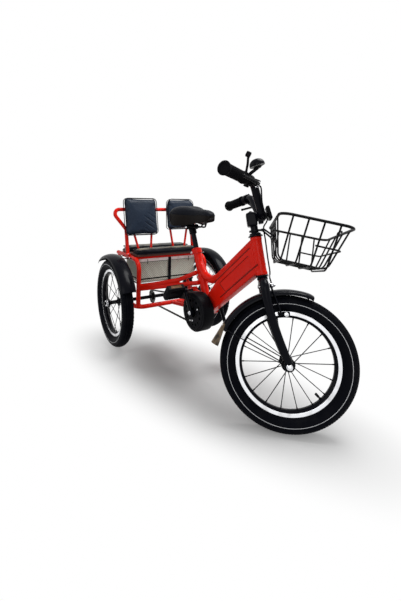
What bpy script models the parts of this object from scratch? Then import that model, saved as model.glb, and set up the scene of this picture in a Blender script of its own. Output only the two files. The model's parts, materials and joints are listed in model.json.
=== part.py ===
"""Kids tricycle: steered front wheel, chain drive to a rear axle, bench seat with two back pads.

Metres. +X points forward, +Y to the rider's left, +Z up, and Z = 0 is the ground.
The steering stands turned to the left, by STEER_REST about the head tube's axis.
"""

import math

import bmesh
import bpy
from mathutils import Matrix, Vector

# Layout
REAR_AXLE_X = -0.370
WHEELBASE = 0.811
TRACK = 0.525
STEER_REST = math.radians(50.0)
CLEARANCE = 0.0003

# Wheels: a 16 inch tyre on a box section rim
WHEEL_RADIUS = 0.2085
TYRE_WIDTH = 0.054
TYRE_WALL = 0.0045
TYRE_HEIGHT = 0.050
RIM_RADIUS = WHEEL_RADIUS - TYRE_HEIGHT
RIM_WIDTH = 0.025
RIM_DEPTH = 0.020
WHEEL_STEPS = 28
SPOKES = 18
SPOKE_RADIUS = 0.0012
HUB_RADIUS = 0.011
HUB_FLANGE_RADIUS = 0.021
FRONT_HUB_WIDTH = 0.064
AXLE_RADIUS = 0.0050

# Head tube and fork
HEAD_TILT = math.radians(17.1)
FORK_RAKE = 0.033
HEAD_BOTTOM_Z = 0.4646
HEAD_TOP_Z = 0.585
HEAD_RADIUS = 0.0175
STEERER_RADIUS = 0.0125
CROWN_DROP = 0.0222
CALIPER_DROP = 0.0370
STUB_DROP = 0.0470
FORK_HALF_WIDTH = 0.047
FORK_BLADE_RADIUS = 0.0145
FORK_TIP_RADIUS = 0.0120
FORK_END_RADIUS = 0.0160
FORK_END_HALF_WIDTH = 0.0035
FENDER_GAP = 0.011
FENDER_HALF_WIDTH = 0.033
FENDER_WALL = 0.0016
CALIPER_BOLT_RADIUS = 0.0029

# Handlebar
BAR_RADIUS = 0.0125
BAR_CLAMP_AHEAD = 0.030
BAR_CLAMP_Z = 0.655
BAR_RISE = 0.083
BAR_HALF_WIDTH = 0.240
GRIP_LENGTH = 0.105
GRIP_RADIUS = 0.0165
GRIP_FLANGE = 0.0042
BRACKET_WALL = 0.0049
QUILL_RADIUS = 0.0120
CLAMP_RADIUS = 0.0178
CLAMP_HALF_LENGTH = 0.0145

# Front frame
RAIL_RADIUS = 0.0165
BEAM_HALF_WIDTH = 0.018
INSET_DEPTH = 0.0016
SEAT_TUBE_RADIUS = 0.0165
SEAT_POST_RADIUS = 0.0110
STAY_RADIUS = 0.0095

# Cranks and chain
CRANK_X = 0.413
CRANK_Z = 0.260
CRANK_LENGTH = 0.090
CRANK_ANGLE = math.radians(117.0)
CRANK_TEETH = 28
AXLE_TEETH = 16
CHAIN_PITCH = 0.0127
CHAIN_Y = -0.058
CRANK_ARM_Y = 0.088
LEFT_ARM_Y = 0.060
BRACKET_RADIUS = 0.021
BRACKET_HALF_WIDTH = 0.034

# Rear frame and seat
SIDE_Y = 0.180
REAR_FENDER_RADIUS = WHEEL_RADIUS + 0.024
REAR_FENDER_HALF_WIDTH = 0.034
SIDE_RAIL_Z = WHEEL_RADIUS + REAR_FENDER_RADIUS - 0.019
FRAME_TUBE_RADIUS = 0.0105
UPRIGHT_X = 0.112
LOOP_HALF_WIDTH = 0.196
REAR_AXLE_RADIUS = 0.0085
BEARING_RADIUS = 0.0147
CROSS_TUBE_RADIUS = 0.0060
BENCH_BACK = -0.130
BENCH_FRONT = 0.080
BENCH_SLIT = 0.028
BENCH_HALF_LENGTH = 0.173
BENCH_BOARD = 0.009
BENCH_THICKNESS = 0.023
HOOP_X = -0.012
HOOP_LEAN = math.radians(10.0)
HOOP_TOP_Z = 0.653
HOOP_SHOULDER_Z = 0.556
HOOP_HALF_WIDTH = 0.260
HOOP_LEG_Y = 0.187
HOOP_RADIUS = 0.0090
UPRIGHT_RADIUS = 0.0058
PAD_WIDTH = 0.172
PAD_HEIGHT = 0.182
PAD_THICKNESS = 0.025
PAD_CENTRE_Y = 0.113
PAD_CENTRE_Z = 0.6150
BOX_BACK = -0.116
BOX_FRONT = 0.060
BOX_HALF_LENGTH = 0.160
BOX_FLOOR_Z = 0.300
BOX_WALL = 0.003
STRAP = 0.0022
CASE_RADIUS = 0.077
CASE_OUTER_Y = -0.078
CASE_INNER_Y = -0.028
CASE_WALL = 0.002
PEDAL_LENGTH = 0.078
PEDAL_DEPTH = 0.062
PEDAL_THICKNESS = 0.026
PEDAL_TILT = math.radians(-56.0)
PEDAL_SPINDLE_RADIUS = 0.0052

# Basket
BASKET_BACK = 0.052
BASKET_LENGTH = 0.204
BASKET_BACK_WIDTH = 0.340
BASKET_FRONT_WIDTH = 0.318
BASKET_RIM_Z = 0.643
BASKET_DEPTH = 0.126
BASKET_TILT = math.radians(4.5)
WIRE_RADIUS = 0.0025
RIM_WIRE_RADIUS = 0.0038

UP = Vector((0.0, 0.0, 1.0))
SIDEWAYS = Vector((0.0, 1.0, 0.0))
STEER_AXIS = Vector((-math.sin(HEAD_TILT), 0.0, math.cos(HEAD_TILT)))
STEER_AHEAD = Vector((math.cos(HEAD_TILT), 0.0, math.sin(HEAD_TILT)))


def colour_finish(name, colour, roughness, metallic):
    """A plain paint, plastic, rubber or metal."""
    material = bpy.data.materials.new(name)
    material.use_nodes = True
    shader = material.node_tree.nodes["Principled BSDF"]
    shader.inputs["Base Color"].default_value = (*colour, 1.0)
    shader.inputs["Roughness"].default_value = roughness
    shader.inputs["Metallic"].default_value = metallic
    return material


def clear_scene():
    for old in list(bpy.data.objects):
        bpy.data.objects.remove(old, do_unlink=True)


clear_scene()
RED = colour_finish("red_paint", (0.70, 0.045, 0.020), 0.30, 0.0)
BLACK = colour_finish("black_paint", (0.012, 0.012, 0.014), 0.28, 0.0)
PLASTIC = colour_finish("black_plastic", (0.018, 0.018, 0.020), 0.45, 0.0)
RUBBER = colour_finish("tyre_rubber", (0.020, 0.020, 0.021), 0.80, 0.0)
CHROME = colour_finish("chrome", (0.75, 0.76, 0.78), 0.15, 1.0)
VINYL = colour_finish("dark_vinyl", (0.020, 0.024, 0.035), 0.40, 0.0)
PLYWOOD = colour_finish("plywood", (0.060, 0.045, 0.035), 0.60, 0.0)
CANVAS = colour_finish("grey_canvas", (0.46, 0.43, 0.37), 0.90, 0.0)
FLAP = colour_finish("bronze_flap", (0.12, 0.08, 0.05), 0.40, 0.3)


def node(name, mesh, material):
    """One named piece from a bmesh, shaded smooth up to 40 degrees."""
    bmesh.ops.recalc_face_normals(mesh, faces=mesh.faces)
    data = bpy.data.meshes.new(name)
    mesh.to_mesh(data)
    mesh.free()
    piece = bpy.data.objects.new(name, data)
    bpy.context.scene.collection.objects.link(piece)
    data.materials.append(material)
    data.shade_smooth()
    data.set_sharp_from_angle(angle=math.radians(40.0))
    return piece


def combined(base, operation, tools):
    """The base piece with each tool joined to it or cut from it, as one plain mesh."""
    for tool in tools:
        step = base.modifiers.new(operation.lower(), "BOOLEAN")
        step.operation = operation
        step.solver = "EXACT"
        step.object = tool
    graph = bpy.context.evaluated_depsgraph_get()
    graph.update()
    result = bpy.data.meshes.new_from_object(base.evaluated_get(graph))
    base.modifiers.clear()
    base.data = result
    for tool in tools:
        bpy.data.objects.remove(tool, do_unlink=True)
    result.shade_smooth()
    result.set_sharp_from_angle(angle=math.radians(40.0))
    return base


def fused(base, *tools):
    return combined(base, "UNION", tools)


def carved(base, *tools):
    return combined(base, "DIFFERENCE", tools)


def rounded(corners, bend, steps=4):
    """The polyline through the corners, with an arc of the bend radius at each inner corner."""
    corners = [Vector(corner) for corner in corners]
    path = [corners[0]]
    for before, corner, after in zip(corners, corners[1:], corners[2:]):
        back = (before - corner).normalized()
        ahead = (after - corner).normalized()
        half = back.angle(ahead) / 2
        reach = bend / math.tan(half)
        centre = corner + (back + ahead).normalized() * (bend / math.sin(half))
        first = corner + back * reach - centre
        turn = math.pi - 2 * half
        axle = first.cross(corner + ahead * reach - centre).normalized()
        for step in range(steps + 1):
            path.append(centre + Matrix.Rotation(turn * step / steps, 3, axle) @ first)
    path.append(corners[-1])
    return path


def bar(name, path, radius, sides, material, flatten=1.0, squash_along=None):
    """A round bar along a path, capped at both ends. The radius may be one value per point."""
    path = [Vector(point) for point in path]
    radii = [radius] * len(path) if isinstance(radius, float) else radius
    mesh = bmesh.new()
    rings = []
    heading = (path[1] - path[0]).normalized()
    across = heading.orthogonal().normalized()
    if abs(heading.dot(SIDEWAYS)) < 0.9:
        across = (SIDEWAYS - heading * heading.dot(SIDEWAYS)).normalized()
    for index, point in enumerate(path):
        before = path[max(index - 1, 0)]
        after = path[min(index + 1, len(path) - 1)]
        turned = (after - before).normalized()
        across = (heading.rotation_difference(turned) @ across).normalized()
        heading = turned
        other = heading.cross(across)
        ring = []
        for side in range(sides):
            angle = 2 * math.pi * (side + 0.5) / sides
            offset = across * math.cos(angle) + other * math.sin(angle)
            if squash_along is not None:
                offset -= squash_along * offset.dot(squash_along) * (1 - flatten)
            ring.append(mesh.verts.new(point + offset * radii[index]))
        rings.append(ring)
    for ring, following in zip(rings, rings[1:]):
        for side in range(sides):
            other_side = (side + 1) % sides
            mesh.faces.new((ring[side], ring[other_side], following[other_side], following[side]))
    mesh.faces.new(list(reversed(rings[0])))
    mesh.faces.new(rings[-1])
    return node(name, mesh, material)


def hoop_bar(name, path, radius, sides, material):
    """A round bar bent into a closed loop."""
    path = [Vector(point) for point in path]
    count = len(path)
    normal = sum((a.cross(b) for a, b in zip(path, path[1:] + path[:1])), Vector()).normalized()
    mesh = bmesh.new()
    rings = []
    for index, point in enumerate(path):
        heading = (path[(index + 1) % count] - path[index - 1]).normalized()
        outward = heading.cross(normal)
        ring = []
        for side in range(sides):
            angle = 2 * math.pi * (side + 0.5) / sides
            spoke = outward * math.cos(angle) + normal * math.sin(angle)
            ring.append(mesh.verts.new(point + spoke * radius))
        rings.append(ring)
    for index in range(count):
        ring = rings[index]
        following = rings[(index + 1) % count]
        for side in range(sides):
            other_side = (side + 1) % sides
            mesh.faces.new((ring[side], ring[other_side], following[other_side], following[side]))
    return node(name, mesh, material)


def turned(name, profile, steps, material, axle=SIDEWAYS, at=(0.0, 0.0, 0.0)):
    """A closed (radius, height) outline turned about the axle through a point."""
    mesh = bmesh.new()
    frame = UP.rotation_difference(axle).to_matrix()
    rings = []
    for radius, height in profile:
        count = 1 if radius == 0 else steps
        ring = []
        for step in range(count):
            angle = 2 * math.pi * step / steps
            spot = Vector((radius * math.cos(angle), radius * math.sin(angle), height))
            ring.append(mesh.verts.new(frame @ spot))
        rings.append(ring)
    for ring, following in zip(rings, rings[1:] + rings[:1]):
        if len(ring) == 1 and len(following) == 1:
            continue
        for step in range(steps):
            after = (step + 1) % steps
            face = [ring[step % len(ring)], ring[after % len(ring)]]
            face += [following[after % len(following)], following[step % len(following)]]
            mesh.faces.new(list(dict.fromkeys(face)))
    piece = node(name, mesh, material)
    piece.location = at
    return piece


def snug(radius, sides):
    """The corner radius of a hole with flat sides that clears a shaft of the given radius all round."""
    return (radius + CLEARANCE) / math.cos(math.pi / sides)


def rod(name, start, end, radius, sides, material):
    return bar(name, [start, end], radius, sides, material)


def slab(name, outline, near, far, material, bevel=0.0):
    """An (x, z) outline given thickness from y = near to y = far, its rim edges bevelled."""
    mesh = bmesh.new()
    face = mesh.faces.new([mesh.verts.new((x, near, z)) for x, z in outline])
    moved = bmesh.ops.extrude_face_region(mesh, geom=[face])
    shifted = [item for item in moved["geom"] if isinstance(item, bmesh.types.BMVert)]
    bmesh.ops.translate(mesh, vec=(0.0, far - near, 0.0), verts=shifted)
    if bevel:
        rim = [edge for edge in mesh.edges if abs(edge.verts[0].co.y - edge.verts[1].co.y) < 1e-6]
        bmesh.ops.bevel(mesh, geom=rim, offset=bevel, segments=1, affect="EDGES")
    return node(name, mesh, material)


def block(name, size, centre, material, bevel=0.0, turn=None):
    """A box of the given size, its edges rounded, turned by a matrix about its centre."""
    mesh = bmesh.new()
    bmesh.ops.create_cube(mesh, size=1.0)
    bmesh.ops.scale(mesh, vec=size, verts=mesh.verts)
    if bevel:
        bmesh.ops.bevel(mesh, geom=list(mesh.edges), offset=bevel, segments=1, affect="EDGES")
    if turn is not None:
        bmesh.ops.rotate(mesh, matrix=turn, verts=mesh.verts)
    bmesh.ops.translate(mesh, vec=centre, verts=mesh.verts)
    return node(name, mesh, material)


def at_x(distance_ahead_of_rear_axle):
    return REAR_AXLE_X + distance_ahead_of_rear_axle


def side_point(x, y, z):
    """A point given by its distance ahead of the rear axle."""
    return Vector((at_x(x), y, z))


# The steering axis, and a frame that rides on it. Pieces are drawn straight ahead, then follow it.
FRONT_AXLE_Z = WHEEL_RADIUS - 0.0008
FRONT_AXLE = side_point(WHEELBASE, 0.0, FRONT_AXLE_Z)
AXIS_FOOT = FRONT_AXLE - STEER_AHEAD * FORK_RAKE


def on_axis(height):
    return AXIS_FOOT + STEER_AXIS * ((height - AXIS_FOOT.z) / STEER_AXIS.z)


HEAD_BOTTOM = on_axis(HEAD_BOTTOM_Z)
HEAD_TOP = on_axis(HEAD_TOP_Z)
steering = bpy.data.objects.new("steering_axis", None)
bpy.context.scene.collection.objects.link(steering)
STRAIGHT = Matrix.Translation(HEAD_BOTTOM) @ UP.rotation_difference(STEER_AXIS).to_matrix().to_4x4()
steering.matrix_world = STRAIGHT @ Matrix.Rotation(STEER_REST, 4, "Z")


def steered(*pieces):
    """Each piece, drawn straight ahead, turns with the steering."""
    for piece in pieces:
        piece.parent = steering
        piece.matrix_parent_inverse = STRAIGHT.inverted()


# Wheels


def wheel_rim(name, hub_width, bore, spin_offset, inner_end=0.0):
    """Rim, hub and spokes as laced: each spoke runs from a hub flange to the middle of the rim."""
    half = RIM_WIDTH / 2
    inner = RIM_RADIUS - RIM_DEPTH
    profile = [
        (RIM_RADIUS, -half),
        (RIM_RADIUS - 0.0060, 0.0),
        (RIM_RADIUS, half),
        (RIM_RADIUS - 0.0115, half),
        (inner, half * 0.45),
        (inner, -half * 0.45),
        (RIM_RADIUS - 0.0115, -half),
    ]
    rim = turned(name, profile, WHEEL_STEPS, BLACK)
    end = hub_width / 2
    flange = end - 0.006
    low = min(-end, inner_end)
    high = max(end, inner_end)
    hub_profile = [
        (bore, low),
        (HUB_RADIUS, low),
        (HUB_RADIUS, -flange - 0.002),
        (HUB_FLANGE_RADIUS, -flange - 0.002),
        (HUB_FLANGE_RADIUS, -flange + 0.002),
        (HUB_RADIUS, -flange + 0.002),
        (HUB_RADIUS, flange - 0.002),
        (HUB_FLANGE_RADIUS, flange - 0.002),
        (HUB_FLANGE_RADIUS, flange + 0.002),
        (HUB_RADIUS, flange + 0.002),
        (HUB_RADIUS, high),
        (bore, high),
    ]
    hub = turned(name + "_hub", hub_profile, 8, BLACK)
    spokes = []
    for index in range(SPOKES):
        side = 1 if index % 2 else -1
        at_rim = 2 * math.pi * (index + 0.5) / SPOKES
        lean = spin_offset * (1 if index % 4 < 2 else -1)
        at_hub = at_rim + lean
        hub_spot = (HUB_FLANGE_RADIUS - 0.003) * Vector((math.cos(at_hub), 0.0, math.sin(at_hub)))
        rim_spot = (inner + 0.004) * Vector((math.cos(at_rim), 0.0, math.sin(at_rim)))
        # Crossing spokes leave opposite faces of their flange, so that they pass without touching.
        hub_spot.y = side * flange + math.copysign(0.0026, lean)
        rim_spot.y = side * 0.0015
        spokes.append(rod(name + "_spoke", hub_spot, rim_spot, SPOKE_RADIUS, 3, BLACK))
    return fused(rim, hub, *spokes)


def tyre(name):
    """A hollow tyre, open at its beads, which sit on the rim's edges."""
    half = TYRE_WIDTH / 2
    foot = RIM_RADIUS + CLEARANCE
    crown = WHEEL_RADIUS
    outer = [
        (foot, 0.0115),
        (foot + 0.0165, half),
        (foot + 0.0335, half - 0.0015),
        (crown - 0.0012, half - 0.0155),
    ]
    inner = [
        (foot, 0.0115 - TYRE_WALL),
        (foot + 0.0215, half - TYRE_WALL),
        (crown - TYRE_WALL, 0.0),
    ]
    profile = [*outer, (crown, 0.0)] + [(r, -y) for r, y in reversed(outer)]
    profile += [(r, -y) for r, y in inner] + [(r, y) for r, y in reversed(inner[:-1])]
    return turned(name, profile, WHEEL_STEPS, RUBBER)


REAR_AXLE_Z = WHEEL_RADIUS
front_tyre = tyre("front_tyre")
front_rim = wheel_rim("front_wheel", FRONT_HUB_WIDTH, snug(AXLE_RADIUS, 8), 0.25)
for piece in (front_tyre, front_rim):
    piece.location = FRONT_AXLE
steered(front_tyre, front_rim)

REAR_HUB_WIDTH = 0.060
HUB_INNER_END = 0.0520
for side, label in ((-1, "right"), (1, "left")):
    rear_tyre = tyre(label + "_rear_tyre")
    rear_rim = wheel_rim(label + "_rear_wheel", REAR_HUB_WIDTH, snug(REAR_AXLE_RADIUS, 8), 0.55,
                         -side * HUB_INNER_END)
    for piece in (rear_tyre, rear_rim):
        piece.location = side_point(0.0, side * TRACK / 2, REAR_AXLE_Z)


def fender(name, radius, half_width, start, end, steps, centre, material):
    """A rolled sheet arc over a wheel, with a crowned section and turned down edges."""
    section = []
    for spread in (-1.0, -0.94, -0.45, 0.45, 0.94, 1.0):
        drop = 0.016 if abs(spread) == 1.0 else 0.009 * spread * spread
        section.append((spread * half_width, -drop))
    mesh = bmesh.new()
    rings = []
    for step in range(steps + 1):
        angle = start + (end - start) * step / steps
        out = Vector((math.cos(angle), 0.0, math.sin(angle)))
        ring = [centre + out * (radius + drop) + SIDEWAYS * y for y, drop in section]
        for y, drop in reversed(section):
            ring.append(centre + out * (radius + drop - FENDER_WALL) + SIDEWAYS * (y - math.copysign(
                FENDER_WALL if abs(y) > half_width * 0.9 else 0.0, y)))
        rings.append([mesh.verts.new(point) for point in ring])
    count = len(rings[0])
    for ring, following in zip(rings, rings[1:]):
        for index in range(count):
            other = (index + 1) % count
            mesh.faces.new((ring[index], ring[other], following[other], following[index]))
    for ring in (rings[0], rings[-1]):
        last = len(ring) - 1
        for index in range(len(section) - 1):
            mesh.faces.new((ring[index], ring[index + 1], ring[last - index - 1], ring[last - index]))
    return node(name, mesh, material)


# Fork, in one piece with its steerer


def build_fork():
    """Two blades and their arch in one bent bar, the steerer above and a flat end for the axle below."""
    crown = HEAD_BOTTOM - STEER_AXIS * CROWN_DROP
    steerer = rod("fork", HEAD_BOTTOM - STEER_AXIS * STUB_DROP, HEAD_TOP + STEER_AXIS * 0.010,
                  STEERER_RADIUS, 12, BLACK)
    race = rod("race", crown + STEER_AXIS * 0.006, HEAD_BOTTOM - STEER_AXIS * 0.0081, 0.0172, 12, BLACK)
    drop = (crown - FRONT_AXLE).dot(STEER_AXIS)
    blade = []
    radii = []
    for step in range(5):
        share = step / 4
        ahead = FORK_RAKE * share**1.6
        blade.append(crown - STEER_AXIS * (0.045 + (drop - 0.056) * share) + STEER_AHEAD * ahead)
        radii.append(FORK_BLADE_RADIUS + (FORK_TIP_RADIUS - FORK_BLADE_RADIUS) * share)
    out = SIDEWAYS * FORK_HALF_WIDTH
    arch = rounded([blade[0] + out, crown + out, crown - out, blade[0] - out], 0.024, 3)[1:-1]
    path = [point + out for point in reversed(blade)] + arch + [point - out for point in blade]
    sizes = [*reversed(radii), *[FORK_BLADE_RADIUS] * len(arch), *radii]
    pieces = [race, bar("blades", path, sizes, 10, BLACK)]
    holes = []
    for side in (-1, 1):
        end = FRONT_AXLE + out * side
        thick = FORK_END_HALF_WIDTH + 0.001
        outline = [(0, -thick), (FORK_END_RADIUS, -thick), (FORK_END_RADIUS, thick), (0, thick)]
        flat = turned("flat", outline, 12, BLACK)
        flat.location = end
        pieces.append(flat)
        reach = SIDEWAYS * 0.016
        holes.append(rod("axle_hole", end - reach, end + reach, snug(AXLE_RADIUS, 8), 8, BLACK))
        # The blade stops flush with the flat end, so that the nut and the stay's eyelet lie against it.
        size = (0.046, 0.022, 0.039)
        for direction in (-1, 1):
            face = end + SIDEWAYS * direction * (FORK_END_HALF_WIDTH + size[1] / 2) + STEER_AXIS * 0.002
            holes.append(block("flush_face", size, face, BLACK))
    bolt = HEAD_BOTTOM - STEER_AXIS * CALIPER_DROP
    reach = STEER_AHEAD * 0.030
    holes.append(rod("bolt_hole", bolt - reach, bolt + reach, snug(CALIPER_BOLT_RADIUS, 8), 8, BLACK))
    return carved(fused(steerer, *pieces), *holes)


fork = build_fork()


def build_axle():
    """The fixed front axle: a rod with a nut and washer pressed on each end, outside the fork ends."""
    out = FORK_HALF_WIDTH + FORK_END_HALF_WIDTH + 0.0024
    nut = 0.0085
    washer = 0.0095
    profile = [(0, -out - 0.016), (AXLE_RADIUS, -out - 0.016), (AXLE_RADIUS, -out - 0.009)]
    profile += [(nut, -out - 0.009), (nut, -out - 0.002), (washer, -out - 0.002), (washer, -out)]
    profile += [(AXLE_RADIUS, -out)]
    profile += [(r, -y) for r, y in reversed(profile)]
    return turned("front_axle", profile, 8, CHROME, at=FRONT_AXLE)


front_axle = build_axle()

FRONT_FENDER_RADIUS = WHEEL_RADIUS + FENDER_GAP + 0.0075
front_fender = fender("front_fender", FRONT_FENDER_RADIUS, FENDER_HALF_WIDTH, math.radians(77),
                      math.radians(163), 10, FRONT_AXLE, BLACK)


def build_fender_tab():
    """The tab that joins the front fender to the underside of the fork's stub."""
    stub = HEAD_BOTTOM - STEER_AXIS * (STUB_DROP + CLEARANCE)
    out = (stub - FRONT_AXLE).normalized()
    start = FRONT_AXLE + out * (FRONT_FENDER_RADIUS - 0.003)
    top = stub - STEER_AXIS * 0.003
    turn = UP.rotation_difference(STEER_AXIS).to_matrix()
    cap = block("tab", (0.020, 0.022, 0.006), top, BLACK, 0.0, turn)
    return fused(cap, bar("foot", [start, top], 0.0080, 6, BLACK))


fused(front_fender, build_fender_tab())


def build_mud_flap():
    """A flexible flap on the fender's rear end, flaring outwards and widening."""
    mesh = bmesh.new()
    rows = []
    for share in (0.0, 0.35, 0.7, 1.0):
        angle = math.radians(158 + 18 * share)
        radius = FRONT_FENDER_RADIUS + 0.0006 + 0.013 * share * share
        out = Vector((math.cos(angle), 0.0, math.sin(angle)))
        half = FENDER_HALF_WIDTH * (0.80 + 0.56 * share)
        row = []
        for lift in (0.0, 0.0020):
            for spread in (-1.0, -0.5, 0.0, 0.5, 1.0):
                sag = 0.009 * (spread * 0.85) ** 2 * (1 - 0.5 * share)
                spot = FRONT_AXLE + out * (radius + lift - sag) + SIDEWAYS * half * spread
                row.append(mesh.verts.new(spot))
        rows.append(row)
    for row, following in zip(rows, rows[1:]):
        for index in range(4):
            mesh.faces.new((row[index], row[index + 1], following[index + 1], following[index]))
            mesh.faces.new((row[index + 5], row[index + 6], following[index + 6], following[index + 5]))
        mesh.faces.new((row[0], row[5], following[5], following[0]))
        mesh.faces.new((row[4], row[9], following[9], following[4]))
    for row in (rows[0], rows[-1]):
        for index in range(4):
            mesh.faces.new((row[index], row[index + 1], row[index + 6], row[index + 5]))
    return node("mud_flap", mesh, FLAP)


mud_flap = build_mud_flap()


def build_fender_stay(side, label):
    """A thin rod from an eyelet on the axle to the fender's edge."""
    outside = FORK_HALF_WIDTH - FORK_END_HALF_WIDTH - CLEARANCE
    hole = snug(AXLE_RADIUS, 12)
    outline = [(hole, -0.0018), (0.0100, -0.0018), (0.0100, 0), (hole, 0)]
    eyelet = turned(label + "_fender_stay", outline, 12, BLACK)
    shift = outside if side > 0 else outside - 0.0018
    eyelet.data.transform(Matrix.Translation(FRONT_AXLE + SIDEWAYS * side * shift))
    angle = math.radians(161)
    out = Vector((math.cos(angle), 0.0, math.sin(angle)))
    start = FRONT_AXLE + SIDEWAYS * side * (outside - 0.0021) + out * 0.0075
    beside = SIDEWAYS * side * (FENDER_HALF_WIDTH + 0.0022)
    end = FRONT_AXLE + beside + out * (FRONT_FENDER_RADIUS - 0.010)
    return fused(eyelet, rod("stay_rod", start, end, 0.0019, 4, BLACK))


fender_stays = [build_fender_stay(-1, "right"), build_fender_stay(1, "left")]
steered(fork, front_axle, front_fender, mud_flap, *fender_stays)


# Headset, stem, handlebar and grips
def build_headset():
    hole = snug(STEERER_RADIUS, 12)
    lower = turned("headset_lower", [(hole, 0), (0.0195, 0), (0.0195, -0.0045), (0.0172, -0.0074),
                                     (hole, -0.0074)], 12, BLACK, axle=STEER_AXIS, at=HEAD_BOTTOM)
    lower.location = HEAD_BOTTOM - STEER_AXIS * CLEARANCE
    upper = turned("headset_upper", [(hole, 0), (0.0235, 0), (0.0235, 0.0040), (0.0180, 0.0120),
                                     (hole, 0.0120)], 12, BLACK, axle=STEER_AXIS)
    upper.location = HEAD_TOP + STEER_AXIS * CLEARANCE
    return lower, upper


headset_lower, headset_upper = build_headset()
BAR_CLAMP = on_axis(BAR_CLAMP_Z) + Vector((BAR_CLAMP_AHEAD, 0.0, 0.0))


def build_stem():
    """The quill, its head block and the clamp round the middle of the handlebar."""
    top = on_axis(BAR_CLAMP_Z - 0.010)
    quill = rod("stem", HEAD_TOP + STEER_AXIS * 0.0126, top, QUILL_RADIUS, 12, BLACK)
    tilt = Matrix.Rotation(-HEAD_TILT, 3, "Y")
    middle = on_axis(BAR_CLAMP_Z - 0.014) - STEER_AHEAD * 0.004
    head = block("head", (0.034, 0.040, 0.046), middle, BLACK, 0.006, tilt)
    neck = rod("neck", top + Vector((0.004, 0, 0)), BAR_CLAMP, 0.0125, 10, BLACK)
    half = SIDEWAYS * CLAMP_HALF_LENGTH
    clamp = rod("clamp", BAR_CLAMP - half, BAR_CLAMP + half, CLAMP_RADIUS, 12, BLACK)
    stem = fused(quill, head, neck, clamp)
    reach = SIDEWAYS * 0.030
    hole = rod("bar_hole", BAR_CLAMP - reach, BAR_CLAMP + reach, snug(BAR_RADIUS, 12), 12, BLACK)
    return carved(stem, hole)


stem = build_stem()


def bar_route(side):
    """The handlebar's corners on one side: clamp, rise, sweep back to the grip's end."""
    return [
        BAR_CLAMP + SIDEWAYS * side * 0.028,
        BAR_CLAMP + Vector((-0.042, side * 0.098, BAR_RISE)),
        BAR_CLAMP + Vector((-0.124, side * BAR_HALF_WIDTH, BAR_RISE - 0.011)),
    ]


GRIP_END = {side: bar_route(side)[2] for side in (-1, 1)}
GRIP_HEADING = {side: (bar_route(side)[2] - bar_route(side)[1]).normalized() for side in (-1, 1)}
BAR_PATH = rounded([*reversed(bar_route(-1)), *bar_route(1)], 0.030, 2)
handlebar = bar("handlebar", BAR_PATH, BAR_RADIUS, 10, BLACK)


def grip(side, label):
    """A rubber sleeve with a flared end that closes it."""
    length = GRIP_LENGTH
    hole = snug(BAR_RADIUS, 12)
    flange = GRIP_RADIUS + GRIP_FLANGE
    collar = GRIP_RADIUS + 0.0025
    profile = [(0, 0.0035), (flange - 0.0005, 0.0035), (flange, -0.0035), (GRIP_RADIUS + 0.0008, -0.0090)]
    profile += [(GRIP_RADIUS, -0.020), (GRIP_RADIUS, -length + 0.006), (collar, -length + 0.004)]
    profile += [(collar, -length), (hole, -length), (hole, CLEARANCE), (0, CLEARANCE)]
    return turned(label + "_grip", profile, 12, PLASTIC, axle=GRIP_HEADING[side], at=GRIP_END[side])


grips = [grip(-1, "right"), grip(1, "left")]
LEVER_BACK = 0.134
BELL_BACK = 0.1135


def bar_ring(name, spot, along, half_width):
    """A clamp band round the handlebar."""
    hole = snug(BAR_RADIUS, 12)
    band = BAR_RADIUS + BRACKET_WALL
    outline = [(hole, -half_width), (band, -half_width), (band, half_width), (hole, half_width)]
    ring = turned(name, outline, 12, PLASTIC, axle=along)
    ring.data.transform(Matrix.Translation(spot))
    return ring


def build_brake_lever(side, label):
    """A clamp on the bar with a pivot, and the lever that hangs ahead of the grip."""
    along = GRIP_HEADING[side]
    spot = GRIP_END[side] - along * LEVER_BACK
    ahead = along.cross(UP).normalized() * side
    ahead = (ahead - UP * 0.35).normalized()
    upright = along.cross(ahead).normalized()
    ring = bar_ring(label + "_lever_bracket", spot, along, 0.009)
    arm_length = 0.022
    arm_centre = spot + ahead * (BAR_RADIUS + 0.0019 + arm_length / 2)
    pivot = arm_centre + ahead * 0.0060 - along * 0.004
    turn = Matrix((ahead, along, upright)).transposed()
    arm = block("arm", (arm_length, 0.016, 0.020), arm_centre, PLASTIC, 0.0015, turn)
    bracket = fused(ring, arm)
    lever_path = rounded([pivot + along * 0.006, pivot + along * 0.030 + ahead * 0.015,
                          pivot + along * 0.098 + ahead * 0.011], 0.020, 3)
    radii = [0.0062 - 0.0003 * index for index in range(len(lever_path))]
    lever = bar(label + "_brake_lever", lever_path, radii, 8, PLASTIC)
    boss = rod("boss", pivot - upright * 0.0045, pivot + upright * 0.0045, 0.0072, 10, PLASTIC)
    lever = fused(lever, boss)
    slot = block("slot", (0.040, 0.060, 0.0132), pivot + ahead * 0.0060, PLASTIC, 0.0, turn)
    bracket = carved(bracket, slot)
    lever.data.transform(Matrix.Translation(-pivot))
    lever.location = pivot
    return bracket, lever


right_bracket, right_lever = build_brake_lever(-1, "right")
left_bracket, left_lever = build_brake_lever(1, "left")


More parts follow.
